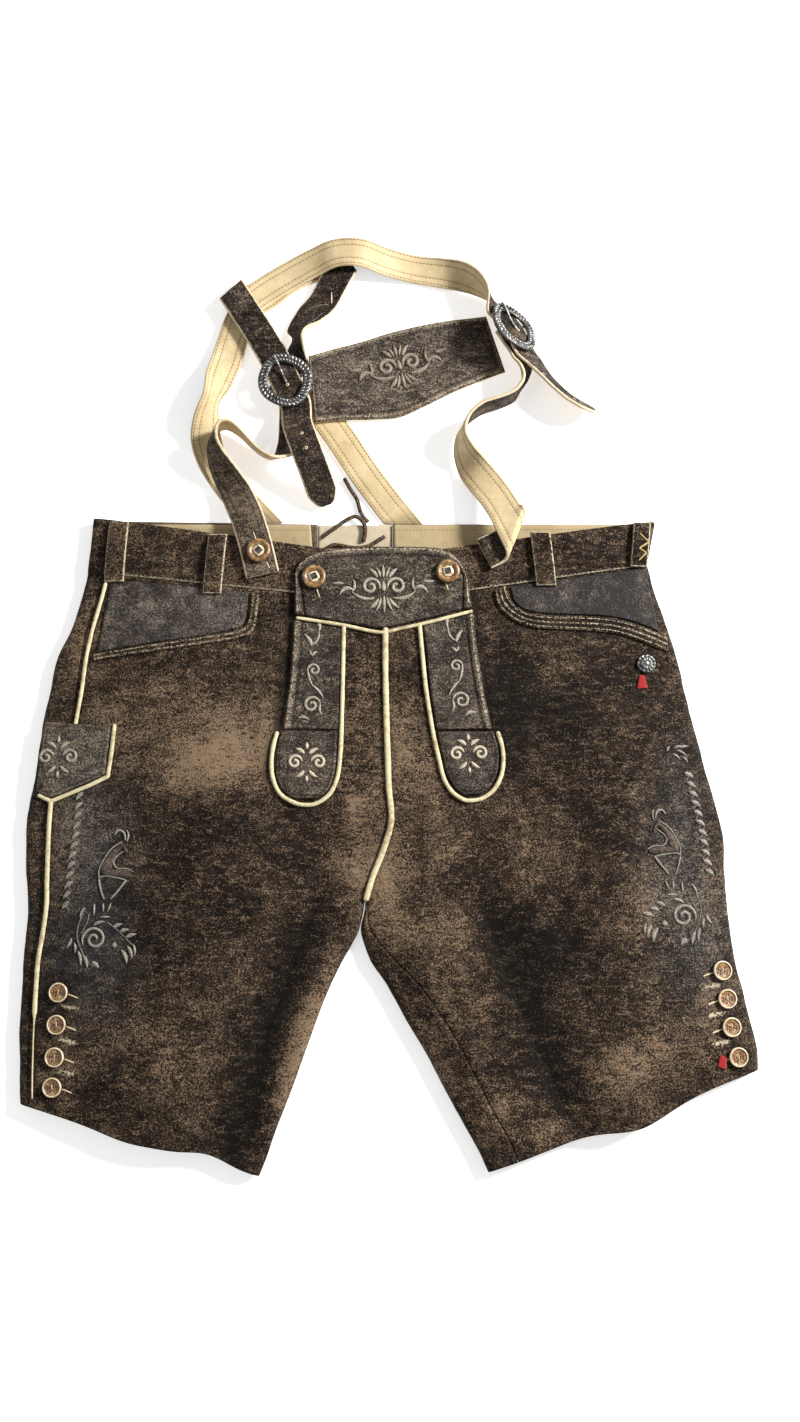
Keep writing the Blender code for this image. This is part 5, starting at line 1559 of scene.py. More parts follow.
def make_panels():
    """Front and back panels of both legs."""
    pieces = []
    for side, rows, sign in LEGS:
        sections = leg_sections(rows, sign)
        spans = {"front": [], "back": []}
        for section, seam, inseam, folded in sections:
            short, long = (inseam + SEAM / 2, inseam - SEAM / 2) if folded else (0.0, 0.0)
            spans["front"].append((seam + SEAM / 2, section.top_length - short))
            spans["back"].append((seam - SEAM / 2, -section.bottom_length - long))
        buttons = LEG_BUTTONS[side]
        pale = [(((x - 3 * sign, y - 11), (x - 14 * sign, y - 13)), 2.6, 0.72) for x, y in buttons[:3]]
        # the seams' darker lines, the flap's painted shadow, and darkening round each leg button
        soot = [*SEAM_DARKENING_AND_FLAP_SHADOW, *((((x, y + 2), (x, y - 2)), 10.0, 0.7) for x, y in buttons)]
        for kind, (columns, lump, seed) in PANEL_GRIDS.items():
            front = kind == "front"
            face, inner = (hem_waved(grid, side) for grid in ring_grid(sections, spans[kind], columns))
            normals = grid_normals(face, face - inner)
            calm = edge_calm(face, 9.0)
            calm = 0.15 + 0.85 * calm if front else calm * off_table(face)
            face, move = creased(face, normals, CREASES if front else (), lump, seed + sign, calm)
            # wear and shade follow the creases' height: paler over their ridges, painted shade in their dips
            marks = leather_marks(face, pale if front else (), soot, high=0.12 * np.clip(move, -1, 1.5))
            piece = shell(f"leg_{kind}_{side}", face, face - normals * LEATHER, BROWN, marks)
            node = f"{kind}_leg_{side}"
            nodes = (node, "back_seat_right") if node == "back_leg_right" else (node,)
            pieces.append(placed(piece, *nodes, slot="worn_leather"))
            cut(piece, face, "laid", *(("back_leg_" + side,) if front else ()))
    return pieces


def make_bands():
    """Front and back waistbands, with their rolled top edge."""
    pieces = []
    lift = SEAM * 1.5
    for side, rows, sign in LEGS:
        (top_x, top_y), vent_x = BAND_ENDS[side]
        first, seam = leg_sections(rows, sign)[0][:2]
        (out_x, out_y), (in_x, in_y), (back_x, back_y) = first.outer, first.inner, first.back_inner
        seam_y = blend(out_y, back_y, (vent_x - out_x) / (back_x - out_x)) + lift
        grids = {"front": ([], []), "back": ([], [])}
        for t in np.linspace(0, 1, BAND_ROWS):
            outer = (blend(out_x, top_x, t), blend(out_y + lift, top_y, t))
            inner = (in_x, blend(in_y + lift, CENTRE_BAND_TOP[1], t))
            back = (vent_x, blend(seam_y, BACK_BAND_TOP, t))
            pillow = 0.5 + 0.5 * min(1.0, min(t, 1 - t) / 0.14)
            section = Section(outer, inner, back, 0.0, False, 0.0, BAND_RISE * pillow)
            starts, ends = (seam + SEAM / 2, seam - SEAM / 2), (section.top_length, -section.bottom_length)
            for grid, start, end in zip(grids.values(), starts, ends):
                places = np.linspace(start, end, BAND_COLUMNS)
                for rows_made, depth in zip(grid, (0.0, BAND_LEATHER)):
                    rows_made.append([section.point(s, depth) for s in places])
        for kind, grid in grids.items():
            front = kind == "front"
            face, inner = map(np.array, grid)
            normals = grid_normals(face, face - inner)
            calm = (0.2 + 0.8 * edge_calm(face, 6.0)) * (1.0 if front else off_table(face))
            face, move = creased(face, normals, (), 0.35, 9 + sign, calm)
            pale = [(face[0, ::6, :2], 1.3, 0.75), (face[-1, ::6, :2], 1.0, 0.35)] if front else []
            # wear and shade follow the ripples' height: paler over their ridges, painted shade in their dips
            marks = leather_marks(face, pale, high=0.1 + 0.1 * np.clip(move, -1, 1.5))
            piece = shell(f"band_{kind}_{side}", face, face - normals * BAND_LEATHER, BROWN, marks)
            node = f"waistband_{kind}_{side}"
            pieces.append(placed(piece, node, slot="worn_leather"))
            cut(piece, face, "laid", f"{kind}_leg_{side}")
            if front:
                run = [(0.35 * face[0] + 0.65 * face[1], normals[1])]
                stitch_rows(piece, "band_seam_" + side, run, THREAD_GREY, 2.6, 1.1, 0.62, 0.3, wander=0.22)
    return pieces


def make_waist_inside():
    """Linings of the back band and the pale gusset in its vent, with soft ripples."""
    for name, ((x1, y1), (x2, y2), x3, low, thick, look, slot, strong) in WAIST_INSIDE.items():
        columns = int(abs(x2 - x1) / 2.4)
        share = np.linspace(0, 1, columns)
        t = np.linspace(0, 1, 18)[:, None]
        x = x1 + (x2 + (x3 - x2) * t - x1) * share
        y = (y1 + (y2 - y1) * share) * (1 - t) + LINING_TOP * t
        ripple = (0.28 * fractal(x, y * 2.5, 16, 4) + 0.15 * noise(x, y, 5, 8)) * strong
        calm = np.clip(np.minimum(t, 1 - t) * 6, 0, 1) * np.clip(np.minimum(share, 1 - share) * 14, 0, 1)
        back = np.stack([x, y, np.full(x.shape, low)], axis=-1)
        face = back + UP * (thick + np.maximum(ripple, -0.5 * thick) * calm)[..., None]
        piece = placed(shell(name + "_leather", face, back, [look] * 3), name, slot=slot)
        cut(piece, face, "laid", "waistband_back_right", "waistband_back_left")
        if look == LINING_LOOK:
            stitch_rows(piece, name + "_seam", [on_top(face[15])], THREAD_TAN, 2.2, 0.9, 0.6)


# ---------------------------------------------------------------- pieces that lie on the panels
def laid(node, ground, rows, across, between, thickness, materials, slot, lift=GAP, bulge=0.0,
         hold=BACK_BAND_TOP, edge=1.0, ridge=None, ridged=(1, 1, 1, 1), step=1.6, pale=0.0, soot=0.5, wear=0.0,
         ribs=0, shade=0.0):
    """A flat piece on the ground, between the two edges that rows hold, with a rounded rim. The ground is
    sounded at steps across and between the rows, but not above hold. ridge is the width and height of a rolled
    border, along the sides that ridged names: start, end, first and last edge. ribs is a number of parallel
    rolls between the first edge and the last."""
    coarse = (len(rows) - 1) * between + 1
    table = np.array([curve_point(rows, i / (coarse - 1)) for i in range(coarse)])
    share = np.linspace(0, 1, across + 1)[None, :]
    x = table[:, :1] * (1 - share) + table[:, 2:3] * share
    y = table[:, 1:2] * (1 - share) + table[:, 3:4] * share
    low = ground.heights(np.stack([x, np.minimum(y, hold)], axis=-1), LAID_REACH) + lift
    hump = bulge * np.sin(math.pi * np.linspace(0, 1, coarse))[:, None]
    grid = np.stack([x, y, low + hump], axis=-1)
    length = run_along(grid[:, across // 2])[-1]
    width = np.linalg.norm(np.diff(grid, axis=1), axis=-1).sum(axis=1).max()
    back = smooth_grid(grid, max(8, int(length / step)), max(6, int(width / step)))
    under = ground.heights(back) + 0.08
    back[..., 2] = np.maximum(back[..., 2], np.where(back[..., 1] < hold, under, 0.0))
    down = run_along(back[:, back.shape[1] // 2])[:, None]
    over = np.cumsum(np.linalg.norm(np.diff(back, axis=1, prepend=back[:, :1]), axis=-1), axis=1)
    sides = np.broadcast_arrays(down, down[-1] - down, over, over[:, -1:] - over)
    from_edge = np.min(sides, axis=0)
    from_roll = np.min([side for side, on in zip(sides, ridged) if on], axis=0)
    rise = thickness * rounded(from_edge, edge, 0.04)
    marks = leather_marks(back, wear=() if ridge else WEAR_AND_SHADE_SPOTS, high=wear)
    marks[..., PALE] = pale * bell(from_edge - 0.6, 0.8)
    # the rim darkened by the dirt and shade amount, and painted shade fading in from the rim by the shade
    # amount
    marks[..., DIRT_AND_SHADE] = np.maximum(soot * bell(from_edge, 0.5), shade * np.exp(-from_edge / 5.0))
    if ridge:
        wide, height = ridge
        strong = min(1.0, height / 0.5)
        rise = rise + height * bell(from_roll - wide * 0.5, wide * 0.36)
        rise = rise - 1.1 * height * bell(from_roll - wide * 1.12, 0.8)
        marks[..., WEAR_AND_SHADE] += 0.45 * strong * bell(from_roll - wide * 0.5, wide * 0.40)
        at_least(marks, PALE, 0.56 * strong * bell(from_roll - wide * 0.40, 0.15 * wide))
        # painted shade in the groove inside the rolled border
        at_least(marks, DIRT_AND_SHADE, 0.85 * bell(from_roll - wide * 1.12, 0.75))
    if ribs:
        crest = -np.cos(2 * math.pi * ribs * over / np.maximum(over[:, -1:], 1e-6))
        rise = rise + 0.32 * crest * np.clip(from_edge / 1.2, 0, 1)
        at_least(marks, PALE, 0.60 * np.clip((crest - 0.55) / 0.4, 0, 1))
        # painted shade in the valleys between the ribs
        at_least(marks, DIRT_AND_SHADE, 0.9 * np.clip((-crest - 0.45) / 0.4, 0, 1) * (from_edge > 0.7))
    rise = rise + 0.18 * fractal(back[..., 0], back[..., 1], 12, 1) * np.clip(from_edge / 3, 0, 1)
    face = back + UP * rise[..., None]
    return placed(shell(node + "_leather", face, back, materials, marks), node, slot=slot), face


LIES_ON = {
    "facing_right": "front_leg_right", "facing_left": "front_leg_left", "welt_left": "front_leg_left",
    "bib": "strip_right", "strip_right": "front_leg_right", "strip_left": "front_leg_left",
    "strip_end_right": "front_leg_right", "strip_end_left": "front_leg_left", "knife_flap": "front_leg_right",
    "belt_loop_right_outer": "waistband_front_right", "belt_loop_right_inner": "waistband_front_right",
    "belt_loop_left_inner": "waistband_front_left", "belt_loop_left_outer": "waistband_front_left",
}
TRIM_SEAMS = {
    # distances from the start, end, first and last edges, and width of the stitches
    "bib": ((7.4, 7.4, 7.4, 2.6), 0.55),
    "strip_right": ((0, 0, 6.9, 2.4), 0.55),
    "strip_left": ((0, 0, 6.9, 2.4), 0.55),
    "strip_end_right": ((2.6, 2.8, 2.8, 2.8), 0.5),
    "strip_end_left": ((2.6, 2.8, 2.8, 2.8), 0.5),
    "knife_flap": ((0, 2.8, 2.4, 2.8), 0.5),
    "belt_loop_right_outer": ((0, 0, 3.2, 3.2), 0.5),
    "belt_loop_right_inner": ((0, 0, 3.2, 3.2), 0.5),
    "belt_loop_left_inner": ((0, 0, 3.2, 3.2), 0.5),
    "belt_loop_left_outer": ((0, 0, 2.6, 2.6), 0.5),
}
PIPINGS = {
    # line, width, and how far its start and its end are tucked under
    "piping_bib": (BIB_PIPING, 3.0, (0, 0)),
    "piping_strip_right": (RIGHT_END_PIPING, 3.5, (5, 0)),
    "piping_strip_left": (LEFT_END_PIPING, 3.5, (5, 0)),
    "piping_centre": (CENTRE_PIPING, 4.8, (7, 0)),
    "piping_side_upper": (SIDE_PIPING_UPPER, 3.2, (3, 7)),
    "piping_side_lower": (SIDE_PIPING_LOWER, 3.7, (6, 0)),
    "piping_knife_flap": (KNIFE_FLAP_PIPING, 3.4, (0, 0)),
}


def inset(face, distance):
    """Lines on a grid's surface, distance in from each of its four sides: start, end, first and last edge."""
    rows, columns = face.shape[:2]
    step_r = np.linalg.norm(np.diff(face, axis=0), axis=-1).mean()
    step_c = np.linalg.norm(np.diff(face, axis=1), axis=-1).mean(axis=1)
    r = min(rows // 2, int(round(distance / step_r)))
    sides = []
    for at in (r, rows - 1 - r):
        c = min(columns // 2, int(round(distance / step_c[at])))
        sides.append(face[at, c:columns - c])
    first, last = [], []
    for i in range(r, rows - r):
        at = np.clip(distance / max(step_c[i], 1e-6), 0, (columns - 1) / 2)
        k = int(at)
        f = at - k
        first.append(face[i, k] * (1 - f) + face[i, min(k + 1, columns - 1)] * f)
        k2 = columns - 1 - k
        last.append(face[i, k2] * (1 - f) + face[i, max(k2 - 1, 0)] * f)
    return sides[0], sides[1], np.array(first), np.array(last)


def on_top(line):
    return line, np.tile(UP, (len(line), 1))


def make_trim(panels):
    """Flap, pockets, loops and tabs, and the ground that they lie on."""
    ground = Ground(panels)
    made = {}

    def lay(node, rows, across, between, *settings, base=ground, **more):
        piece, face = laid(node, base, rows, across, between, *settings, **more)
        made[node] = piece
        if node in LIES_ON:
            cut(piece, face, "laid", LIES_ON[node])
        if node in TRIM_SEAMS:
            distances, width = TRIM_SEAMS[node]
            seams = [on_top(inset(face, d)[k]) for k, d in enumerate(distances) if d]
            stitch_rows(piece, node + "_seam", seams, THREAD_DARK, 2.0, 0.8, width)

    facing = {
        "thickness": FACING, "materials": [FACING_LOOK] * 3, "slot": "smooth_leather", "soot": 0.0, "edge": 0.6}
    lay("facing_right", RIGHT_FACING, 3, 2, **facing, shade=0.4)
    lay("facing_left", LEFT_FACING, 3, 2, **facing, shade=0.8, wear=-0.2)
    lay("welt_right", RIGHT_WELT, 1, 2, WELT, BROWN, "worn_leather", step=0.55, pale=0.45, wear=0.15, ribs=2)
    lay("welt_left", LEFT_WELT, 2, 2, WELT, BROWN, "worn_leather", edge=1.2, step=0.7, pale=0.42, wear=0.1,
        ribs=3)
    smooth = {"materials": DARK_BROWN, "slot": "smooth_leather"}
    lay("bib", BIB, 4, 2, OVERLAY, **smooth, lift=0.6, hold=CENTRE_BAND_TOP[1] - 6, edge=1.6, ridge=(6.6, 1.0),
        ridged=(1, 1, 1, 0), step=1.0, pale=0.1)
    for side, strip, end in (("right", RIGHT_STRIP, RIGHT_END), ("left", LEFT_STRIP, LEFT_END)):
        lay("strip_" + side, strip, 3, 2, OVERLAY, DARK_BROWN, "worn_leather", lift=0.5, wear=0.05,
            ridge=(6.2, 0.9), ridged=(0, 0, 1, 0), step=1.0, pale=0.1)
        lay("strip_end_" + side, end, 3, 1, OVERLAY, **smooth, lift=0.5, ridge=(2.6, 0.12),
            ridged=(0, 1, 1, 1), step=1.2)
    lay("knife_flap", KNIFE_FLAP, 3, 2, POCKET_FLAP, **smooth, lift=0.6, edge=1.4, ridge=(2.8, 0.15), wear=0.24)
    over_trim = Ground(panels + list(made.values()))
    for name, (top_x, top_y, low_x, low_y, width) in BELT_LOOPS.items():
        half = width / 2
        rows = ((top_x - half, top_y, top_x + half, top_y), (low_x - half, low_y, low_x + half, low_y))
        lay(name, rows, 2, 6, OVERLAY, BROWN, "worn_leather", base=over_trim, lift=0.4, bulge=LOOP_BULGE,
            hold=top_y - 6, edge=1.2, pale=0.75, step=0.9,
            # the left outer loop is dark: darker leather and painted shade
            wear=-0.9 if name == "belt_loop_left_outer" else 0.2)
    for name, rows in (("concho_tab", CONCHO_TAB), ("hem_tab", HEM_TAB)):
        lay(name, rows, 1, 2, TAB, [RED_TAPE] * 3, "red_tab", step=0.7, edge=0.4, soot=0)
    return made, ground


def make_pipings(ground):
    """Cords along the edges of the flap, the seams and the knife pocket."""
    for name, (line, width, tucks) in PIPINGS.items():
        plan = even_line(line, 1.3, smooth=name != "piping_knife_flap")
        for end, reach in zip((0, -1), tucks):
            if reach:
                way = plan[end] - plan[3 if end == 0 else -4]
                beyond = (plan[end] + way / np.linalg.norm(way) * reach)[None]
                plan = np.concatenate([beyond, plan] if end == 0 else [plan, beyond])
        plan = even_line(plan, 1.3, smooth=False)
        x, y = plan.T
        heights = np.array([ground.height(*place, PIPING) for place in plan])
        heights = np.maximum(evened(heights, 2), heights - 0.2)
        points = np.column_stack([plan, heights + GAP + PIPING / 2])
        wobble = 1 + 0.07 * noise(x, y, 2.2, 3) + 0.05 * noise(x, y, 7, 5)
        slim = np.interp(y, [-252, -244], [0.32, 1.0]) if name == "piping_side_lower" else 1.0
        radii = np.column_stack([wobble * width * slim, wobble * PIPING * np.sqrt(slim)]) / 2
        radii[[0, -1]] *= 0.6
        vertices, faces = tube_arrays(points, radii)
        placed(mesh_object(name + "_cord", vertices, faces, [PIPING_LOOK]), name, slot="cream_piping")


# ---------------------------------------------------------------- buttons
# Profiles of the turned bodies: share of the radius, share of the height, look. They run outwards from the
# middle of the top, round the edge and back to the middle of the bottom.
LEG_PROFILE = (
    (0, 0.60, 1), (0.16, 0.60, 1), (0.30, 0.56, 1), (0.44, 0.60, 1), (0.58, 0.64, 1), (0.70, 0.66, 1),
    (0.78, 0.68, 2), (0.82, 0.82, 0), (0.87, 0.94, 0), (0.93, 0.92, 0), (0.98, 0.78, 0), (1, 0.60, 0),
    (0.97, 0.42, 0), (0.84, 0.20, 0), (0.5, 0.04, 0), (0, 0, 0),
)
FLAP_PROFILE = (
    (0, 0.50, 0), (0.26, 0.50, 0), (0.30, 0.64, 0), (0.42, 0.66, 0), (0.46, 0.54, 2), (0.50, 0.54, 2),
    (0.54, 0.60, 1), (0.60, 0.72, 1), (0.70, 0.92, 1), (0.78, 0.99, 1), (0.86, 0.97, 1), (0.94, 0.84, 1),
    (1, 0.60, 1), (0.96, 0.40, 1), (0.82, 0.18, 1), (0.45, 0.04, 1), (0, 0, 1),
)
CONCHO_PROFILE = (
    (0, 1, 0), (0.10, 0.97, 0), (0.20, 0.88, 1), (0.30, 0.70, 1), (0.40, 0.84, 0), (0.56, 0.80, 0),
    (0.66, 0.56, 1), (0.76, 0.50, 1), (0.86, 0.62, 0), (0.95, 0.48, 1), (1, 0.30, 1), (0.9, 0.10, 1),
    (0.4, 0, 1), (0, 0, 1),
)
CENTRE_HOLE = 0.01     # radius left open at a turned body's axis
TURNED_SIDES = 64


def turned(profile, radius, height, ribs, rib_height, rib_zone):
    """Vertices, faces and looks of a turned body, with ribs over a zone of its face."""
    angles = np.arange(TURNED_SIDES) * 2 * math.pi / TURNED_SIDES
    r = np.array([max(CENTRE_HOLE, share * radius) for share, _, _ in profile])[:, None]
    z = np.array([share * height for _, share, _ in profile])[:, None]
    x, y = r * np.cos(angles), r * np.sin(angles)
    first, last = (share * radius for share in rib_zone)
    on_face = np.arange(len(profile))[:, None] < len(profile) * 0.6
    z = z + rib_height * np.cos(angles * ribs) * ((r >= first) & (r <= last) & on_face)
    vertices = np.stack([x, y, z], axis=-1).reshape(-1, 3)
    owners = np.repeat([look for _, _, look in profile[:-1]], TURNED_SIDES)
    return vertices, ring_faces(len(profile), TURNED_SIDES), owners


def in_seat(points, seat, turn):
    """Points of a button's own frame, turned about its axis, as drawing points."""
    spin = np.array(seat @ Matrix.Rotation(math.radians(turn), 4, "Z"))
    return ((np.asarray(points) * MM) @ spin[:3, :3].T + spin[:3, 3]) / MM + ORIGIN


def node_seat(node):
    """A frame at a CAD button: its middle on its base, and its axis from the lie of its mesh."""
    points = np.array([v.co for v in frame["nodes"][node].data.vertices])
    middle = points.mean(axis=0)
    spread = np.linalg.svd(points - middle)[2]
    axis = spread[2] if spread[2][2] > 0 else -spread[2]
    base = middle + axis * ((points - middle) @ axis).min()
    turn = UP_VECTOR.rotation_difference(Vector(axis)).to_matrix().to_4x4()
    return Matrix.Translation(Vector(base)) @ turn


def set_turned(name, node, profile, radius, height, materials, slot, turn, **ribs):
    """A turned piece at its CAD node. Returns its seat."""
    seat = node_seat(node)
    vertices, faces, owners = turned(profile, radius, height, **ribs)
    placed(mesh_object(name, in_seat(vertices, seat, turn), faces, materials, owners), node, slot=slot)
    return seat


def button_holes(name, seat, turn, reach, top):
    """Two sewing holes, dark bumps of painted shade, with the thread that crosses them, and the dark streaks
    beside them.
    """
    shapes = (
        # x, y, half size along x and y, height, look
        (-reach, 0.2, 0.75, 0.95, 0.20, 0), (reach, 0.2, 0.75, 0.95, 0.20, 0), (0.0, 0.3, 0.34, 2.2, 0.34, 1),
        (-2.4 * reach, 0.1, 0.55, 2.9, 0.16, 0), (2.4 * reach, -0.2, 0.55, 2.6, 0.16, 0),
        (-0.9 * reach, -3.0, 0.6, 1.6, 0.14, 0), (1.0 * reach, 3.1, 0.6, 1.5, 0.14, 0),
    )
    points, faces = ball(10, 6)
    parts = []
    for x, y, wide, long, high, _ in shapes:
        parts.append((in_seat(points * (wide, long, high) + (x, y, top + 0.1), seat, turn), faces))
    placed(joined(name, parts, [HORN_DARK, HORN_RIM], [row[-1] for row in shapes]))


STUD_TURNS = {"flap_button_right": 24, "flap_button_left": 12, "brace_button": 45}


def square_stud(name, seat, turn, half, low, top, look):
    """A square plate with bevelled sides, on a button's face."""
    square = ((-half, -half), (half, -half), (half, half), (-half, half))
    corners = [(x * k, y * k, z) for k, z in ((1, low), (1, top), (0.82, top + 0.35)) for x, y in square]
    quads = [(3, 2, 1, 0), (8, 9, 10, 11), *ring_faces(3, 4)]
    placed(mesh_object(name, in_seat(corners, seat, turn), quads, [look], smooth=False))


def make_buttons():
    """Leg buttons with their holes, flap buttons with their square studs, and the concho."""
    horn = [HORN_RIM, HORN_LOOK, HORN_DARK]
    r, h = LEG_BUTTON / 2, LEG_BUTTON_RISE
    for side in ("right", "left"):
        for i in range(1, 5):
            node = f"leg_button_{side}_{i}"
            seat = set_turned(
                node + "_horn", node, LEG_PROFILE, r, h, horn, "horn", turn=37 * i, ribs=9, rib_height=0.08,
                rib_zone=(0.2, 0.6))
            button_holes(node + "_holes", seat, 8 - 16 * (i % 2), 0.20 * r, 0.60 * h)
    r, h = FLAP_BUTTON / 2, FLAP_BUTTON_RISE
    for node, turn in STUD_TURNS.items():
        seat = set_turned(
            node + "_horn", node, FLAP_PROFILE, r, h, horn, "horn", turn=20, ribs=24, rib_height=0.10,
            rib_zone=(0.60, 0.9))
        square_stud(node + "_plate", seat, turn, 0.36 * r, 0.4 * h, 0.78 * h, HORN_RIM)
        square_stud(node + "_stud", seat, turn, 0.27 * r, 0.5 * h, 0.86 * h, DARK_SILVER)
    set_turned(
        "concho_silver", "concho", CONCHO_PROFILE, CONCHO / 2, CONCHO_RISE, [DULL_SILVER, DARK_SILVER],
        "old_silver", turn=0, ribs=12, rib_height=0.30, rib_zone=(0.36, 0.9))


# ---------------------------------------------------------------- braces
def strap_frames(rows):
    """Fine samples of a strap: middle, width vector of unit half width, and face normal."""
    samples = []
    for chain, ruled in strap_chains(strap_stations(rows)):
        count = (len(chain) - 1) * (3 if ruled else 10) + 1
        samples += list(smooth_along(chain, count))[1 if samples else 0:]
    samples = np.array(samples)
    places, across = samples[:, :3], samples[:, 3:]
    return places, across, unit(np.cross(across, unit(np.gradient(places, axis=0))))


EDGE_STATIONS = (0, 0.4, 1.0, 1.6, 2.2, 2.8, 3.8, 5.4, 6.4, 7.0, 7.6, 9.0, 11.2)    # columns, from the edge
STITCH_LINES = (2.2, 7.0)       # distances of the stitch rows from a strap's edge
STRAP_WEAR = {"front_strap_right": 0.55, "long_strap_right": -0.12}
STRAPS = {
    # stations, width, slot, length of the tip, height of the cut at the end, what it rests on
    "front_strap_right": (
        RIGHT_FRONT_STRAP, FRONT_STRAP_WIDTH, "worn_leather", 0.0, None, "waistband_front_right"),
    "front_strap_left": (
        LEFT_FRONT_STRAP, FRONT_STRAP_WIDTH, "worn_leather", 0.0, None, "waistband_front_left"),
    "long_strap_right": (RIGHT_LONG_STRAP, LONG_STRAP_WIDTH, "worn_leather", 12.0, None, "buckle_right"),
    "rear_strap_left": (
        LEFT_REAR_STRAP, LONG_STRAP_WIDTH, "tan_lining", 0.0, BACK_BAND_TOP + 0.5, "waistband_back_left"),
    "long_strap_left": (
        LEFT_LONG_STRAP, LONG_STRAP_WIDTH, "tan_lining", 12.0, BACK_BAND_TOP + 1.6, "buckle_left"),
}


def set_strap(name, rows, width, slot, tip, mitre, seed):
    """A strap of brown leather over tan lining, narrowed over tip and cut off at the height mitre. Returns the
    piece, its two grids, the places of their columns and the strap's half widths."""
    places, across, up = strap_frames(rows)
    run = run_along(places)
    half = np.full(len(places), width / 2)
    if tip:
        half = np.where(run < tip, half * (0.3 + 0.7 * np.sqrt(np.clip(run / tip, 0, 1))), half)
    u = 1 - np.array(EDGE_STATIONS) / (width / 2)
    u = np.concatenate([-u, u[::-1]])
    centre = places[:, None] + across[:, None] * (half[:, None] * u)[..., None]
    turning = np.linalg.norm(np.gradient(across, axis=0), axis=1)
    if mitre is not None:
        way = (places[-1] - places[-2]) / np.linalg.norm(places[-1] - places[-2])
        last = centre[-1] + way * ((mitre - centre[-1][:, 1]) / way[1])[:, None]
        centre = np.concatenate([centre, last[None]])
        up = np.concatenate([up, up[-1:]])
        run = np.append(run, run[-1] + 5)
        half = np.append(half, half[-1])
    turning = evened(turning / np.maximum(np.gradient(run[:len(across)]), 0.1), 6)
    turning = np.clip(turning * 60, 0, 1)
    turning = np.append(turning, turning[-1:]) if mitre is not None else turning
    from_edge = (1 - np.abs(u))[None, :] * half[:, None]
    roll = rounded(from_edge, 1.3, 0.08)
    groove = sum(bell(from_edge - at, 0.55) for at in STITCH_LINES)
    dent = 0.26 * groove
    wrinkle = 0.20 * noise(run[:, None] + 3 * u, u[None] * 5, 2.4, seed) * turning[:, None]
    lump = 0.10 * fractal(run[:, None] + 0 * from_edge, from_edge * 2 + 40 * (u > 0), 9, seed) + wrinkle
    face = centre + up[:, None] * (STRAP / 2 * roll - dent + lump * roll)[..., None]
    back = centre - up[:, None] * (STRAP / 2 * roll - 0.6 * dent)[..., None]
    marks = np.zeros((*face.shape[:2], 4))
    rubbing = fractal(run[:, None] + 0 * from_edge, u[None] * 14, 26, seed)
    marks[..., WEAR_AND_SHADE] = STRAP_WEAR.get(name, 0.0) + 0.35 * rubbing
    marks[..., WEAR_AND_SHADE] += 0.35 * bell(from_edge - 1.2, 1.2)
    from_rim = np.minimum(from_edge, (run[-1] - run)[:, None]) if mitre is None else from_edge
    marks[..., PALE] = np.exp(-(from_rim / 1.25) ** 4)
    # painted shade in the stitch grooves and in the dips of the wrinkles
    marks[..., DIRT_AND_SHADE] = np.clip(0.75 * groove + 0.3 * np.clip(-wrinkle * 8, 0, 1), 0, 1)
    piece = shell(name + "_leather", face, back, [STRAP_LEATHER, LINING_LOOK, EDGE_LOOK], marks)
    return placed(piece, name, slot=slot), face, back, u, half


def strap_rows(grid, u, half, outward):
    """Rows for the stitches along both edges of a strap's grid."""
    rows = []
    normals = grid_normals(grid, outward)
    for distance in STITCH_LINES:
        for side in (-1, 1):
            points, ups = [], []
            for i in range(1, len(grid) - 1):
                at = side * (1 - distance / half[i])
                k = int(np.clip(np.searchsorted(u, at) - 1, 0, len(u) - 2))
                f = (at - u[k]) / (u[k + 1] - u[k])
                points.append(grid[i, k] * (1 - f) + grid[i, k + 1] * f)
                ups.append(normals[i, k])
            rows.append((np.array(points), np.array(ups)))
    return rows


def make_straps():
    """The braces, each with the stitches of its brown and its tan face."""
    made = []
    for seed, (name, (rows, width, slot, tip, mitre, rests_on)) in enumerate(STRAPS.items(), 3):
        piece, face, back, u, half = set_strap(name, rows, width, slot, tip, mitre, seed)
        made.append(piece)
        cut(piece, face, "folded", rests_on)
        brown, tan = strap_rows(face, u, half, face - back), strap_rows(back, u, half, back - face)
        stitch_rows(piece, name + "_seam_brown", brown, THREAD_DARK, 2.1, 0.7, 0.55, 0.3)
        stitch_rows(piece, name + "_seam_tan", tan, THREAD_TAN, 2.0, 1.3, 0.80, 0.34)
    return made


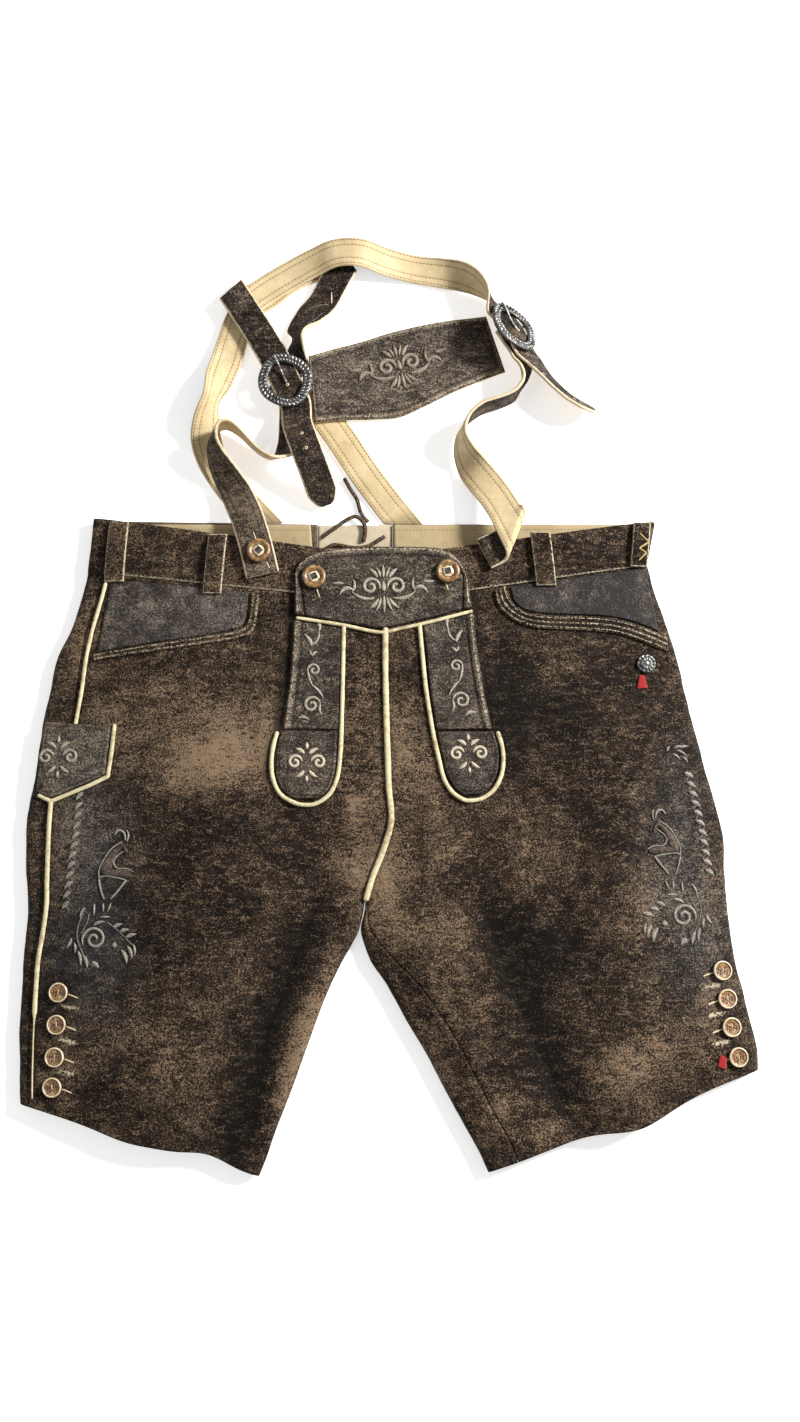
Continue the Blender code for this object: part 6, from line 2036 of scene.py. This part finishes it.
def make_chest():
    """The embroidered chest piece, with a rolled and bound edge."""
    rows, columns = 130, 60
    table = np.array(smooth_along(CHEST_PIECE, rows))
    share = np.linspace(0, 1, columns)[None, :, None]
    middle = table[:, None, :3] * (1 - share) + table[:, None, 3:] * share
    step_r = np.linalg.norm(np.diff(middle, axis=0), axis=-1).mean()
    width = np.linalg.norm(middle[:, -1] - middle[:, 0], axis=1)[:, None]
    from_long = np.minimum(share[..., 0], 1 - share[..., 0]) * width
    r = np.arange(rows)[:, None] * step_r
    from_edge = np.minimum(from_long, np.minimum(r, r[::-1]))
    roll = rounded(from_edge, 1.8, 0.06)
    ridge = 0.65 * bell(from_edge - 2.8, 1.6) - 0.5 * bell(from_edge - 6.2, 1.0)
    lump = 0.22 * fractal(middle[..., 0], middle[..., 1], 14, 5)
    face = middle + UP * (STRAP / 2 * roll + (ridge + lump) * roll)[..., None]
    back = middle - UP * (STRAP / 2 * roll)[..., None]
    marks = leather_marks(face, wear=(), high=0.15)
    marks[..., WEAR_AND_SHADE] += 0.35 * bell(from_edge - 2.8, 2.0)
    marks[..., PALE] = np.maximum(0.58 * bell(from_long - 2.2, 0.8), 0.9 * bell(from_long - 0.4, 0.5))
    # painted shade in the groove inside the rolled edge
    marks[..., DIRT_AND_SHADE] = 0.85 * bell(from_edge - 6.2, 0.9)
    piece = shell("chest_leather", face, back, [SMOOTH, LINING_LOOK, EDGE_LOOK], marks)
    placed(piece, "chest_piece", slot="smooth_leather")
    cut(piece, face, "laid", "front_strap_right", "front_strap_left")
    seam, *braid = ([on_top(line) for line in inset(face, distance)[2:]] for distance in (6.4, 1.0, 3.0))
    stitch_rows(piece, "chest_seam", seam, THREAD_DARK, 2.0, 0.8, 0.6, 0.3)
    stitch_rows(
        piece, "chest_braid", sum(braid, []), THREAD_GOLD_WORN, 2.6, 0.5, 0.7, 0.28, lean=0.9, wander=0.25)
    return piece


RIM = 8.2          # width of a buckle's cast rim
RIM_DEPTH = 2.2    # half its thickness
BEADS = 40         # in each of a rim's two rows
BEAD_SLANT = math.radians(38)


def make_buckle(side, spec):
    """A cast oval rim with two rows of slanting beads, its dipping bar and its prong."""
    seat = np.array(buckle_frame(spec))
    turn, origin = seat[:3, :3], seat[:3, 3] / MM + ORIGIN
    half_x, half_y = (BUCKLE_WIDTH - RIM) / 2, (BUCKLE_LENGTH - RIM) / 2
    steps, sides = 120, 16
    angles = np.arange(steps) * 2 * math.pi / steps
    around = np.arange(sides) * 2 * math.pi / sides
    out = np.stack([np.cos(angles), np.sin(angles), 0 * angles], axis=1)
    across = np.sign(np.cos(around)) * np.abs(np.cos(around)) ** 0.8 * RIM / 2
    up = np.minimum(np.sign(np.sin(around)) * np.abs(np.sin(around)) ** 0.8 * RIM_DEPTH, 0.66 * RIM_DEPTH)
    middle = oval(angles, half_x, half_y)[:, None]
    body = middle + out[:, None] * across[None, :, None] + UP * up[None, :, None]
    last = sides - 1
    closing = [
        (i * sides + last, i * sides, j * sides, j * sides + last)
        for i, j in zip(range(steps), [*range(1, steps), 0])]
    parts = [(body.reshape(-1, 3), grid_faces(steps, sides, wrap=True).tolist() + closing)]
    ball_points, ball_faces = ball(8, 6)
    for k in range(BEADS):
        for off, long, wide, shift in ((1.75, 2.0, 1.0, 0.25), (-1.75, 1.6, 0.8, 0.75)):
            angle = 2 * math.pi * (k + shift) / BEADS
            c, d = math.cos(angle + BEAD_SLANT), math.sin(angle + BEAD_SLANT)
            x, y, z = (ball_points * (long, wide, 0.95)).T
            bead = np.column_stack([x * c - y * d, x * d + y * c, z])
            outwards = np.array([math.cos(angle), math.sin(angle), 0])
            centre = oval(np.array([angle]), half_x, half_y)[0] + outwards * off
            parts.append((bead + centre + UP * 0.62 * RIM_DEPTH, ball_faces))
    line = [(u * half_x, 0.0, -BAR_DIP * (1 - abs(u) ** 6)) for u in np.linspace(-1, 1, 25)]
    parts.append(tube_arrays(line, (BAR / 2, BAR / 2), 12, (0, 1, 0.01)))
    owners = [1] + [0] * (len(parts) - 1)
    parts = [(np.asarray(v) @ turn.T + origin, f) for v, f in parts]
    rim = joined(f"buckle_{side}_silver", parts, [SILVER, DARK_SILVER], owners)
    placed(rim, "buckle_" + side, slot="old_silver")
    rest = OVER_BAR + STRAP / 2 + 2 * GAP + PRONG / 2
    over = BUCKLE_WIRE / 2 + GAP + PRONG / 2
    line = (
        (0, -3, rest), (0, 4, rest), (0, 10, blend(rest, over, 0.3)), (0, 16, blend(rest, over, 0.8)),
        (0, 22, over), (0, 24, over))
    size = np.interp(np.linspace(0, 1, 30), [0, 0.06, 0.85, 1], [0.7, 1, 0.85, 0.35]) * PRONG / 2
    v, f = tube_arrays(smooth_along(line, 30), np.column_stack([size, size]), 12, (1, 0, 0.01))
    prong = mesh_object(f"prong_{side}_silver", v @ turn.T + origin, f, [SILVER])
    placed(prong, "buckle_prong_" + side, slot="old_silver")


def oval(angles, half_x, half_y):
    """Points of a slightly squared oval."""
    squared = 1 + 0.03 * np.cos(4 * angles)
    return np.stack([half_x * squared * np.cos(angles), half_y * squared * np.sin(angles), 0 * angles], axis=1)


def ball(steps, rings):
    """Vertices and faces of a ball of radius 1."""
    vertices = [(0, 0, 1)]
    for i in range(1, rings):
        a = math.pi * i / rings
        for b in (2 * math.pi * k / steps for k in range(steps)):
            vertices.append((math.sin(a) * math.cos(b), math.sin(a) * math.sin(b), math.cos(a)))
    vertices.append((0, 0, -1))
    faces = [(0, 1 + k, 1 + (k + 1) % steps) for k in range(steps)]
    faces += ring_faces(rings - 1, steps, start=1, inward=True)
    last, start = len(vertices) - 1, 1 + (rings - 2) * steps
    faces += [(last, start + (k + 1) % steps, start + k) for k in range(steps)]
    return np.array(vertices), faces


# ---------------------------------------------------------------- embroidery
LEAF, SPIRAL, LINE = "leaf", "spiral", "line"
# Motifs, in millimetres from their middle. LEAF: x, y, direction, length, sag to the left, width.
# SPIRAL: x, y, direction of its outer end, radius, turns (right-handed below zero), width.
FLAP_MOTIF = (
    (LEAF, 0, 8.0, 90, 10.0, 0, 2.5),
    (LEAF, 2.4, 8.2, 68, 8.6, 0.6, 2.0),
    (LEAF, 4.6, 7.8, 48, 9.8, 0.8, 2.7),
    (LEAF, 0, -7.0, -90, 13.0, 0, 2.6),
    (LEAF, 2.4, -8.2, -68, 11.5, -0.8, 2.1),
    (LEAF, 4.4, -9.0, -46, 10.6, -1.0, 2.7),
    (LEAF, 0, -3.4, 90, 8.0, 0, 3.6),
    (SPIRAL, 10.2, 0.6, 196, 7.4, -1.4, 2.3),
    (LEAF, 7.2, -8.6, 17, 18.6, -2.6, 2.5),
    (LEAF, 24.8, -3.4, 96, 10.5, 1.6, 2.1),
    (LEAF, 23.8, -1.6, -20, 11.4, 3.2, 3.0),
    (LEAF, 31.0, 3.8, 2, 10.0, 0, 2.0),
)
END_MOTIF = (
    (SPIRAL, 9.6, 0.2, 170, 6.0, -1.35, 2.1),
    (LEAF, 2.0, 7.2, 31, 8.2, 0.8, 2.8),
    (LEAF, 2.0, -6.6, -38, 8.6, -0.8, 2.6),
    (LEAF, 0, 11.4, 90, 5.2, 0, 2.6),
    (LEAF, 0, -11.0, -90, 4.8, 0, 2.4),
)
STRIP_MOTIF = (
    (LEAF, 0.6, 71, -78, 12, 2.2, 2.4),
    (LEAF, 3.6, 60, -122, 13, 2.2, 1.8),
    (LEAF, -2.2, 48.5, 122, 11, -1.2, 2.6),
    (LEAF, -1.8, 40.5, 44, 5.5, 0.5, 2.0),
    (LEAF, -2.2, 41.0, 110, 4.5, 0, 1.6),
    (SPIRAL, -0.2, 29.0, 186, 5.2, -1.35, 1.7),
    (LEAF, -5.2, 29.8, -72, 15, -1.0, 1.8),
    (LEAF, -1.6, 16.6, -50, 14.5, 1.2, 1.8),
    (SPIRAL, -1.7, 0.8, 8, 7.0, 1.4, 1.8),
    (LEAF, 5.4, 1.4, -82, 9, -1.4, 1.8),
    (LEAF, -12.2, -9.8, -12, 9, 1.6, 2.0),
)
CHAMOIS_BODY = (
    # lines of x, y, half width
    (LINE, (16.9, 43.2, 2.0), (11.6, 38.9, 2.8), (6.8, 31.9, 4.2), (3.6, 25.0, 5.2), (4.2, 21.5, 4.2)),
    (LINE, (2.5, 21.6, 4.0), (10.1, 21.1, 3.2), (16.2, 21.1, 3.4), (21.2, 20.2, 3.8), (24.6, 21.2, 2.2)),
    (LINE, (15.6, 44.6, 2.0), (18.6, 41.2, 1.7), (20.6, 36.8, 0.9)),
)
CHAMOIS_LINES = (
    (LINE, (20.7, 15.7, 1.0), (14.7, 7.9, 0.8), (8.6, 0.5, 0.6)),
    (LINE, (-1.2, 15.7, 1.0), (0.3, 7.9, 0.8), (3.3, 0.2, 0.6)),
    (LINE, (10.1, 51.9, 0.6), (12.9, 55.2, 0.9), (17.4, 53.4, 0.9), (18.9, 47.4, 0.6)),
    (LINE, (19.7, 55.4, 0.5), (21.2, 51.5, 0.8), (20.1, 46.5, 0.6)),
    (LINE, (16.2, 45.9, 0.6), (8.6, 41.2, 0.6), (2.5, 32.7, 0.6), (-1.5, 23.4, 0.6), (-1.2, 16.4, 0.5)),
    (LINE, (-1.2, 17.6, 0.6), (4, 18.6, 0.6), (10.1, 17.6, 0.6), (17.7, 16.2, 0.6), (21.0, 14.7, 0.4)),
    (LINE, (18.4, 38.9, 0.5), (12.4, 34.6, 0.6), (9.8, 29.6, 0.6), (13.1, 24.9, 0.6), (20.7, 24.4, 0.6),
     (26, 21.9, 0.5)),
)
SCROLL_STEMS = (
    ((-7.6, 24.8), (-12.9, 12.4), (-13.9, 1.6), (-9.1, -10.9), (-3, -19.4), (4.4, -23)),
    ((-4.6, 20.5), (-6.4, 13), (-11, 4)),
    ((9.1, 14), (19.7, 5.4), (31.8, -6.2)),
)
SCROLL = (
    (SPIRAL, 0, 0, 205, 9.9, -1.6, 2.1),
    (LEAF, -18.4, 0.6, -119, 8.6, 0.8, 2.4), (LEAF, -15.9, -3.0, -86, 8.0, 0.6, 2.1),
    (LEAF, -12.6, -9.6, -78, 11.4, 0.9, 2.5), (LEAF, -8.3, -12.6, -71, 10.6, 0.8, 2.9),
    (LEAF, -1.2, -18, -40, 7.2, 0.5, 3.4),
    (LEAF, -1.2, 10.6, 20, 9.6, 0.9, 2.3), (LEAF, -1.0, 28, -90, 9.4, 0, 1.8),
    (LEAF, 6.1, 28.4, -88, 7.0, 0, 1.6),
    (LEAF, 12.2, 28.7, -108, 7.6, 0, 1.5), (LEAF, 3.6, 17.4, 1, 8.8, 0, 1.6),
    (LEAF, -8.4, 25, -112, 9.4, -1.2, 1.8),
    (LEAF, 14.4, 9.0, 22, 8.0, 0.6, 2.8), (LEAF, 20.0, 5.8, 14, 7.4, 0.6, 2.8),
    (LEAF, 24.6, 1.2, 17, 9.0, 0.7, 2.9),
    (LEAF, 15.9, -6.6, 90, 4.2, 0, 3.9), (LEAF, 21.6, -8.6, -66, 11.4, 1.1, 3.2),
    (LEAF, 26.4, -5.6, -68, 10.6, 0.9, 2.7), (LEAF, 31, -4.2, -80, 8.6, 0.6, 2.1),
)
CHAMOIS_PLACES = {"right": (-240, -156), "left": (224, -136.5)}
SCROLL_PLACES = {"right": ((-243.3, -187.3), 1), "left": ((226.5, -169.2), -1)}
PLUME = (
    # leaves on the left leg: x, y, direction, length
    (218, -36, 60, 5), (222, -38, -35, 8), (224, -33, 8, 8),
    (226, -35, -30, 9), (230, -40, -48, 7), (229, -33, 12, 7),
)
# Name, motif, place, turn, scale, width factor, whether it has a mirrored copy of its right half, whether it
# is flipped, ground, look, height and sheet.
EMBROIDERED = (
    ("flap", FLAP_MOTIF, (-13.6, 100.6), 1.5, 1.06, 1.25, True, False,
     "trim", THREAD_GREY, 0.95, "bib_leather"),
    ("end_right", END_MOTIF, (-75.8, -45.6), 0, 1.0, 1.3, True, False,
     "trim", THREAD_PALE, 0.8, "strip_end_right_leather"),
    ("end_left", END_MOTIF, (55.8, -38.6), 2, 1.0, 1.3, True, False,
     "trim", THREAD_PALE, 0.8, "strip_end_left_leather"),
    ("knife", END_MOTIF, (-278.3, -41), 0, 1.06, 1.15, True, False,
     "trim", THREAD_GREY, 0.8, "knife_flap_leather"),
    ("strip_right", STRIP_MOTIF, (-70.5, 1), 0, 1.03, 1.35, False, False,
     "trim", THREAD_GREY, 0.8, "strip_right_leather"),
    ("strip_left", STRIP_MOTIF, (48.5, 4.5), 5, 1.03, 1.35, False, True,
     "trim", THREAD_GREY, 0.8, "strip_left_leather"),
    ("chest", FLAP_MOTIF, (-0.8, 302.4), 14.5, 1.06, 1.5, True, False,
     "chest", THREAD_WORN, 1.2, "chest_leather"),
    ("chamois_body_right", CHAMOIS_BODY, CHAMOIS_PLACES["right"], 0, 1.0, 1, False, False,
     "panel", PADDED, 1.4, "leg_front_right"),
    ("chamois_body_left", CHAMOIS_BODY, CHAMOIS_PLACES["left"], 0, 0.95, 0.95, False, True,
     "panel", PADDED, 1.4, "leg_front_left"),
    ("chamois_lines_right", CHAMOIS_LINES, CHAMOIS_PLACES["right"], 0, 1.0, 1.15, False, False,
     "panel", THREAD_MOSS, 1.1, "leg_front_right"),
    ("chamois_lines_left", CHAMOIS_LINES, CHAMOIS_PLACES["left"], 0, 0.95, 1.2, False, True,
     "panel", THREAD_MOSS, 1.1, "leg_front_left"),
    ("scroll_right", SCROLL, SCROLL_PLACES["right"][0], 0, 1.0, 1.2, False, False,
     "panel", THREAD_MOSS, 1.0, "leg_front_right"),
    ("scroll_left", SCROLL, SCROLL_PLACES["left"][0], 3, 1.0, 1.4, False, True,
     "panel", THREAD_MOSS, 1.0, "leg_front_left"),
)


def widths_along(line, half, thin):
    """A line with a half width at each point, thin towards its ends."""
    t = np.linspace(0, 1, len(line))
    if thin:
        shape = np.sin(math.pi * np.clip(t, 0.04, 0.96) ** 0.8) ** 0.75
    else:
        shape = np.clip(np.minimum(t, 1 - t) * 9 + 0.3, 0, 1)
    return np.column_stack([line, half * shape])


def leaf_stroke(x, y, angle, length, sag, width):
    t = np.linspace(0, 1, 9)
    c, s = math.cos(math.radians(angle)), math.sin(math.radians(angle))
    along, aside = length * t, sag * 4 * t * (1 - t)
    line = np.column_stack([x + along * c - aside * s, y + along * s + aside * c])
    return widths_along(line, width / 2, True)


def spiral_stroke(x, y, angle, radius, turns, width):
    t = np.linspace(0, 1, 44)
    way = math.radians(angle) + 2 * math.pi * turns * t
    r = radius * (1 - 0.84 * t)
    return widths_along(np.column_stack([x + r * np.cos(way), y + r * np.sin(way)]), width / 2, False)


def motif_strokes(motif, place, turn, scale, bold, mirrored, flipped):
    """The strokes of a motif at its place. mirrored adds the other half of a motif drawn for one side."""
    c, s = math.cos(math.radians(turn)) * scale, math.sin(math.radians(turn)) * scale
    strokes = []
    for kind, *row in motif:
        if kind == LINE:
            made = [smooth_along(row, 6 * len(row))]
        else:
            made = [(leaf_stroke if kind == LEAF else spiral_stroke)(*row)]
            if mirrored and row[0] > 0:
                made.append(made[0] * (-1, 1, 1))
        for x, y, half in (stroke.T for stroke in made):
            x = -x if flipped else x
            turned_x, turned_y = place[0] + x * c - y * s, place[1] + x * s + y * c
            strokes.append(np.column_stack([turned_x, turned_y, half * scale * bold]))
    return strokes


ROPES = {
    # the rope's line, the slant of its links to the line, and how full the links are
    "right": ((
        (-259.6, -70), (-260.6, -90), (-261.6, -106), (-263.8, -124), (-265, -136), (-266.6, -152),
        (-267.8, -166)), -42, 3.9),
    "left": (((234.3, -52.9), (239.2, -76.3), (243.9, -100.4), (246.3, -118.9), (250.6, -144.1)), 48, 5.0),
}


def rope_strokes(line, lean, full):
    """The links of a twisted rope: a full slanting drop for each, and a thin strand to the next."""
    line = even_line(line, 0.5)
    links, strands = [], []
    for k in range(6, len(line) - 6, 16):
        way = line[min(k + 4, len(line) - 1)] - line[max(k - 4, 0)]
        slant = math.degrees(math.atan2(way[1], way[0])) + lean
        c, d = math.cos(math.radians(slant)), math.sin(math.radians(slant))
        x, y = line[k]
        links.append(leaf_stroke(x - 4.0 * c, y - 4.0 * d, slant, 8.0, 0.9 * np.sign(lean), full))
        strands.append(
            leaf_stroke(x + 1.6 * c, y + 1.6 * d, slant - 1.9 * lean, 6.4, -1.3 * np.sign(lean), 1.1))
    return links, strands


def embroider(sheet, name, strokes, ground, look, height):
    """Padded satin stitch sewn on a sheet: each stroke is a rounded ridge that lies on the ground."""
    across = np.array([-1.0, -0.62, 0.0, 0.62, 1.0])
    rise = np.array([-0.25, 0.72, 1.0, 0.72, -0.25])
    parts = []
    for stroke in strokes:
        line = even_line(stroke, 0.8, smooth=False)
        if len(line) < 3:
            continue
        places, normals = ground.seated(line)
        side = unit(np.cross(normals, np.gradient(places, axis=0)))
        half = line[:, 2:3]
        high = height * np.clip(half / 0.7, 0.3, 1.3) * (1 + 0.10 * (np.arange(len(line)) % 2)[:, None])
        ring = places[:, None] + side[:, None] * (half * across)[..., None]
        ring += normals[:, None] * (high * rise)[..., None]
        parts.append((ring.reshape(-1, 3), grid_faces(len(line), len(across)).tolist()))
    sewn(SHEETS[sheet][0], placed(joined(name, parts, [look])))


def make_embroidery(grounds):
    """All the embroidery of the flap, the chest piece and the legs."""
    for name, motif, place, turn, scale, bold, mirrored, flipped, ground, look, height, sheet in EMBROIDERED:
        strokes = motif_strokes(motif, place, turn, scale, bold, mirrored, flipped)
        embroider(sheet, "embroidery_" + name, strokes, grounds[ground], look, height)
    panel = grounds["panel"]
    for side, (line, lean, full) in ROPES.items():
        links, strands = rope_strokes(line, lean, full)
        embroider("leg_front_" + side, "rope_strands_" + side, strands, panel, THREAD_SHADE, 0.7)
        embroider("leg_front_" + side, "rope_links_" + side, links, panel, THREAD_MOSS, 1.2)
    for side, (place, sign) in SCROLL_PLACES.items():
        stems = [
            widths_along(even_line(np.array(place) + np.array(stem) * (sign, 1), 1.5), 0.6, False)
            for stem in SCROLL_STEMS]
        embroider("leg_front_" + side, "scroll_stems_" + side, stems, panel, THREAD_SHADE, 0.7)
    plume = [leaf_stroke(*leaf, 0.8, 2.4) for leaf in PLUME]
    embroider("leg_front_left", "embroidery_plume_left", plume, panel, THREAD_MOSS, 0.9)


# ---------------------------------------------------------------- buttonholes, strap holes and small seams
SLITS = (
    # name, ground, sheet, look, height, lines of x, y, half width
    ("bib_slits", "trim", "bib_leather", SLIT_LOOK, 0.45, (
        ((-68.8, 98.5, 0.7), (-66.6, 92, 0.6)), ((38.2, 104, 0.7), (39.8, 98.5, 0.6)))),
    ("bib_slits_dark", "trim", "bib_leather", THREAD_DARK, 0.3, (
        ((-66.8, 92.6, 0.7), (-65.2, 86, 0.4)), ((39.6, 99.4, 0.7), (41.2, 93, 0.4)))),
    ("brace_slits", "strap", "front_strap_right_leather", SLIT_LOOK, 0.45, (
        ((-122.1, 147.4, 0.5), (-118.6, 137.1, 0.6)), ((-110.9, 121.6, 0.7), (-108.3, 116.5, 0.6)))),
    ("fold_slit", "strap", "long_strap_right_leather", SLIT_LOOK, 0.5, (
        ((-59.5, 368, 0.4), (-59.5, 363, 0.8), (-59.4, 358, 0.5)),)),
    ("fold_seams", "strap", "long_strap_right_leather", THREAD_DARK, 0.4, (
        ((-72.8, 355, 0.4), (-76.4, 341, 0.4)),)),
    # dark strips along the fold's creases: painted crease shade
    ("fold_crease_shade", "strap", "long_strap_right_leather", THREAD_SHADE, 0.4, (
        ((-82.6, 349.8, 0.4), (-73.4, 355.6, 0.5), (-61.3, 357.2, 0.4)),
        ((-66.5, 348.8, 0.3), (-79.6, 335, 0.4)))),
    ("loop_lacing", "loop", "belt_loop_left_outer_leather", THREAD_GOLD, 0.8, (
        ((200.2, 147.4, 0.7), (207.2, 140.2, 0.9)), ((207.4, 140.0, 0.9), (199.6, 134.6, 0.8)),
        ((199.4, 134.4, 0.7), (205.2, 130.8, 0.9)), ((205.0, 130.6, 0.9), (199.2, 124.6, 0.6)))),
)
BUTTONHOLES = (
    # name, stations from the button towards the middle of the leg: along, up, half width; look, height
    ("buttonholes", ((7.4, -1.6, 0.6), (11, -2.8, 0.7), (15.2, -4.4, 0.7)), SLIT_LOOK, 0.5),
    ("buttonhole_ends", ((14.6, -4.2, 0.9), (20, -6.4, 0.4)), THREAD_DARK, 0.3),
)
STRAP_HOLES = {
    # places of the holes in each strap's tail and under its buckle
    "long_strap_right_leather": ((-82.2, 231.3), (-78.4, 218.5), (-96, 280.3)),
    "long_strap_left_leather": ((122.2, 288.2), (148.5, 267.8), (101.7, 330)),
}


def make_small_work(grounds):
    """Slits, painted crease shade, buttonholes and the holes of the straps."""
    for name, ground, sheet, look, height, lines in SLITS:
        embroider(sheet, name, [even_line(line, 0.8) for line in lines], grounds[ground], look, height)
    for side, sign in (("right", 1), ("left", -1)):
        for name, stations, look, height in BUTTONHOLES:
            strokes = [
                even_line([(x + dx * sign, y + dy, half) for dx, dy, half in stations], 0.8)
                for x, y in LEG_BUTTONS[side]]
            embroider("leg_front_" + side, f"{name}_{side}", strokes, grounds["panel"], look, height)
    points, faces = ball(12, 6)
    for sheet, places in STRAP_HOLES.items():
        parts = []
        for place, normal in zip(*grounds["strap"].seated(places)):
            turn = np.array(UP_VECTOR.rotation_difference(Vector(normal)).to_matrix())
            # each hole: a pale rim round a dark disc, which is painted shade for the hole's inside
            for radius, high in ((1.5, 0.30), (0.85, 0.45)):
                parts.append(((points * (radius, radius, high)) @ turn.T + place, faces))
        holes = joined(sheet + "_holes", parts, [SLIT_LOOK, THREAD_DARK], [0, 1] * len(places))
        sewn(SHEETS[sheet][0], placed(holes))


# ---------------------------------------------------------------- everything
set_camera()
set_laces()
set_stage()
BASE = [*make_panels(), *make_bands()]
make_waist_inside()
TRIM, GROUND = make_trim(BASE)
make_pipings(GROUND)
make_buttons()
STRAP_PIECES = make_straps()
CHEST = make_chest()
GROUNDS = {
    "panel": GROUND,
    "trim": Ground(BASE + [piece for name, piece in TRIM.items() if not name.startswith("belt_loop")]),
    "chest": Ground([CHEST]),
    "strap": Ground(STRAP_PIECES),
    "loop": Ground([TRIM["belt_loop_left_outer"]]),
}
make_embroidery(GROUNDS)
make_small_work(GROUNDS)
for SIDE, SPEC in (("right", RIGHT_BUCKLE), ("left", LEFT_BUCKLE)):
    make_buckle(SIDE, SPEC)
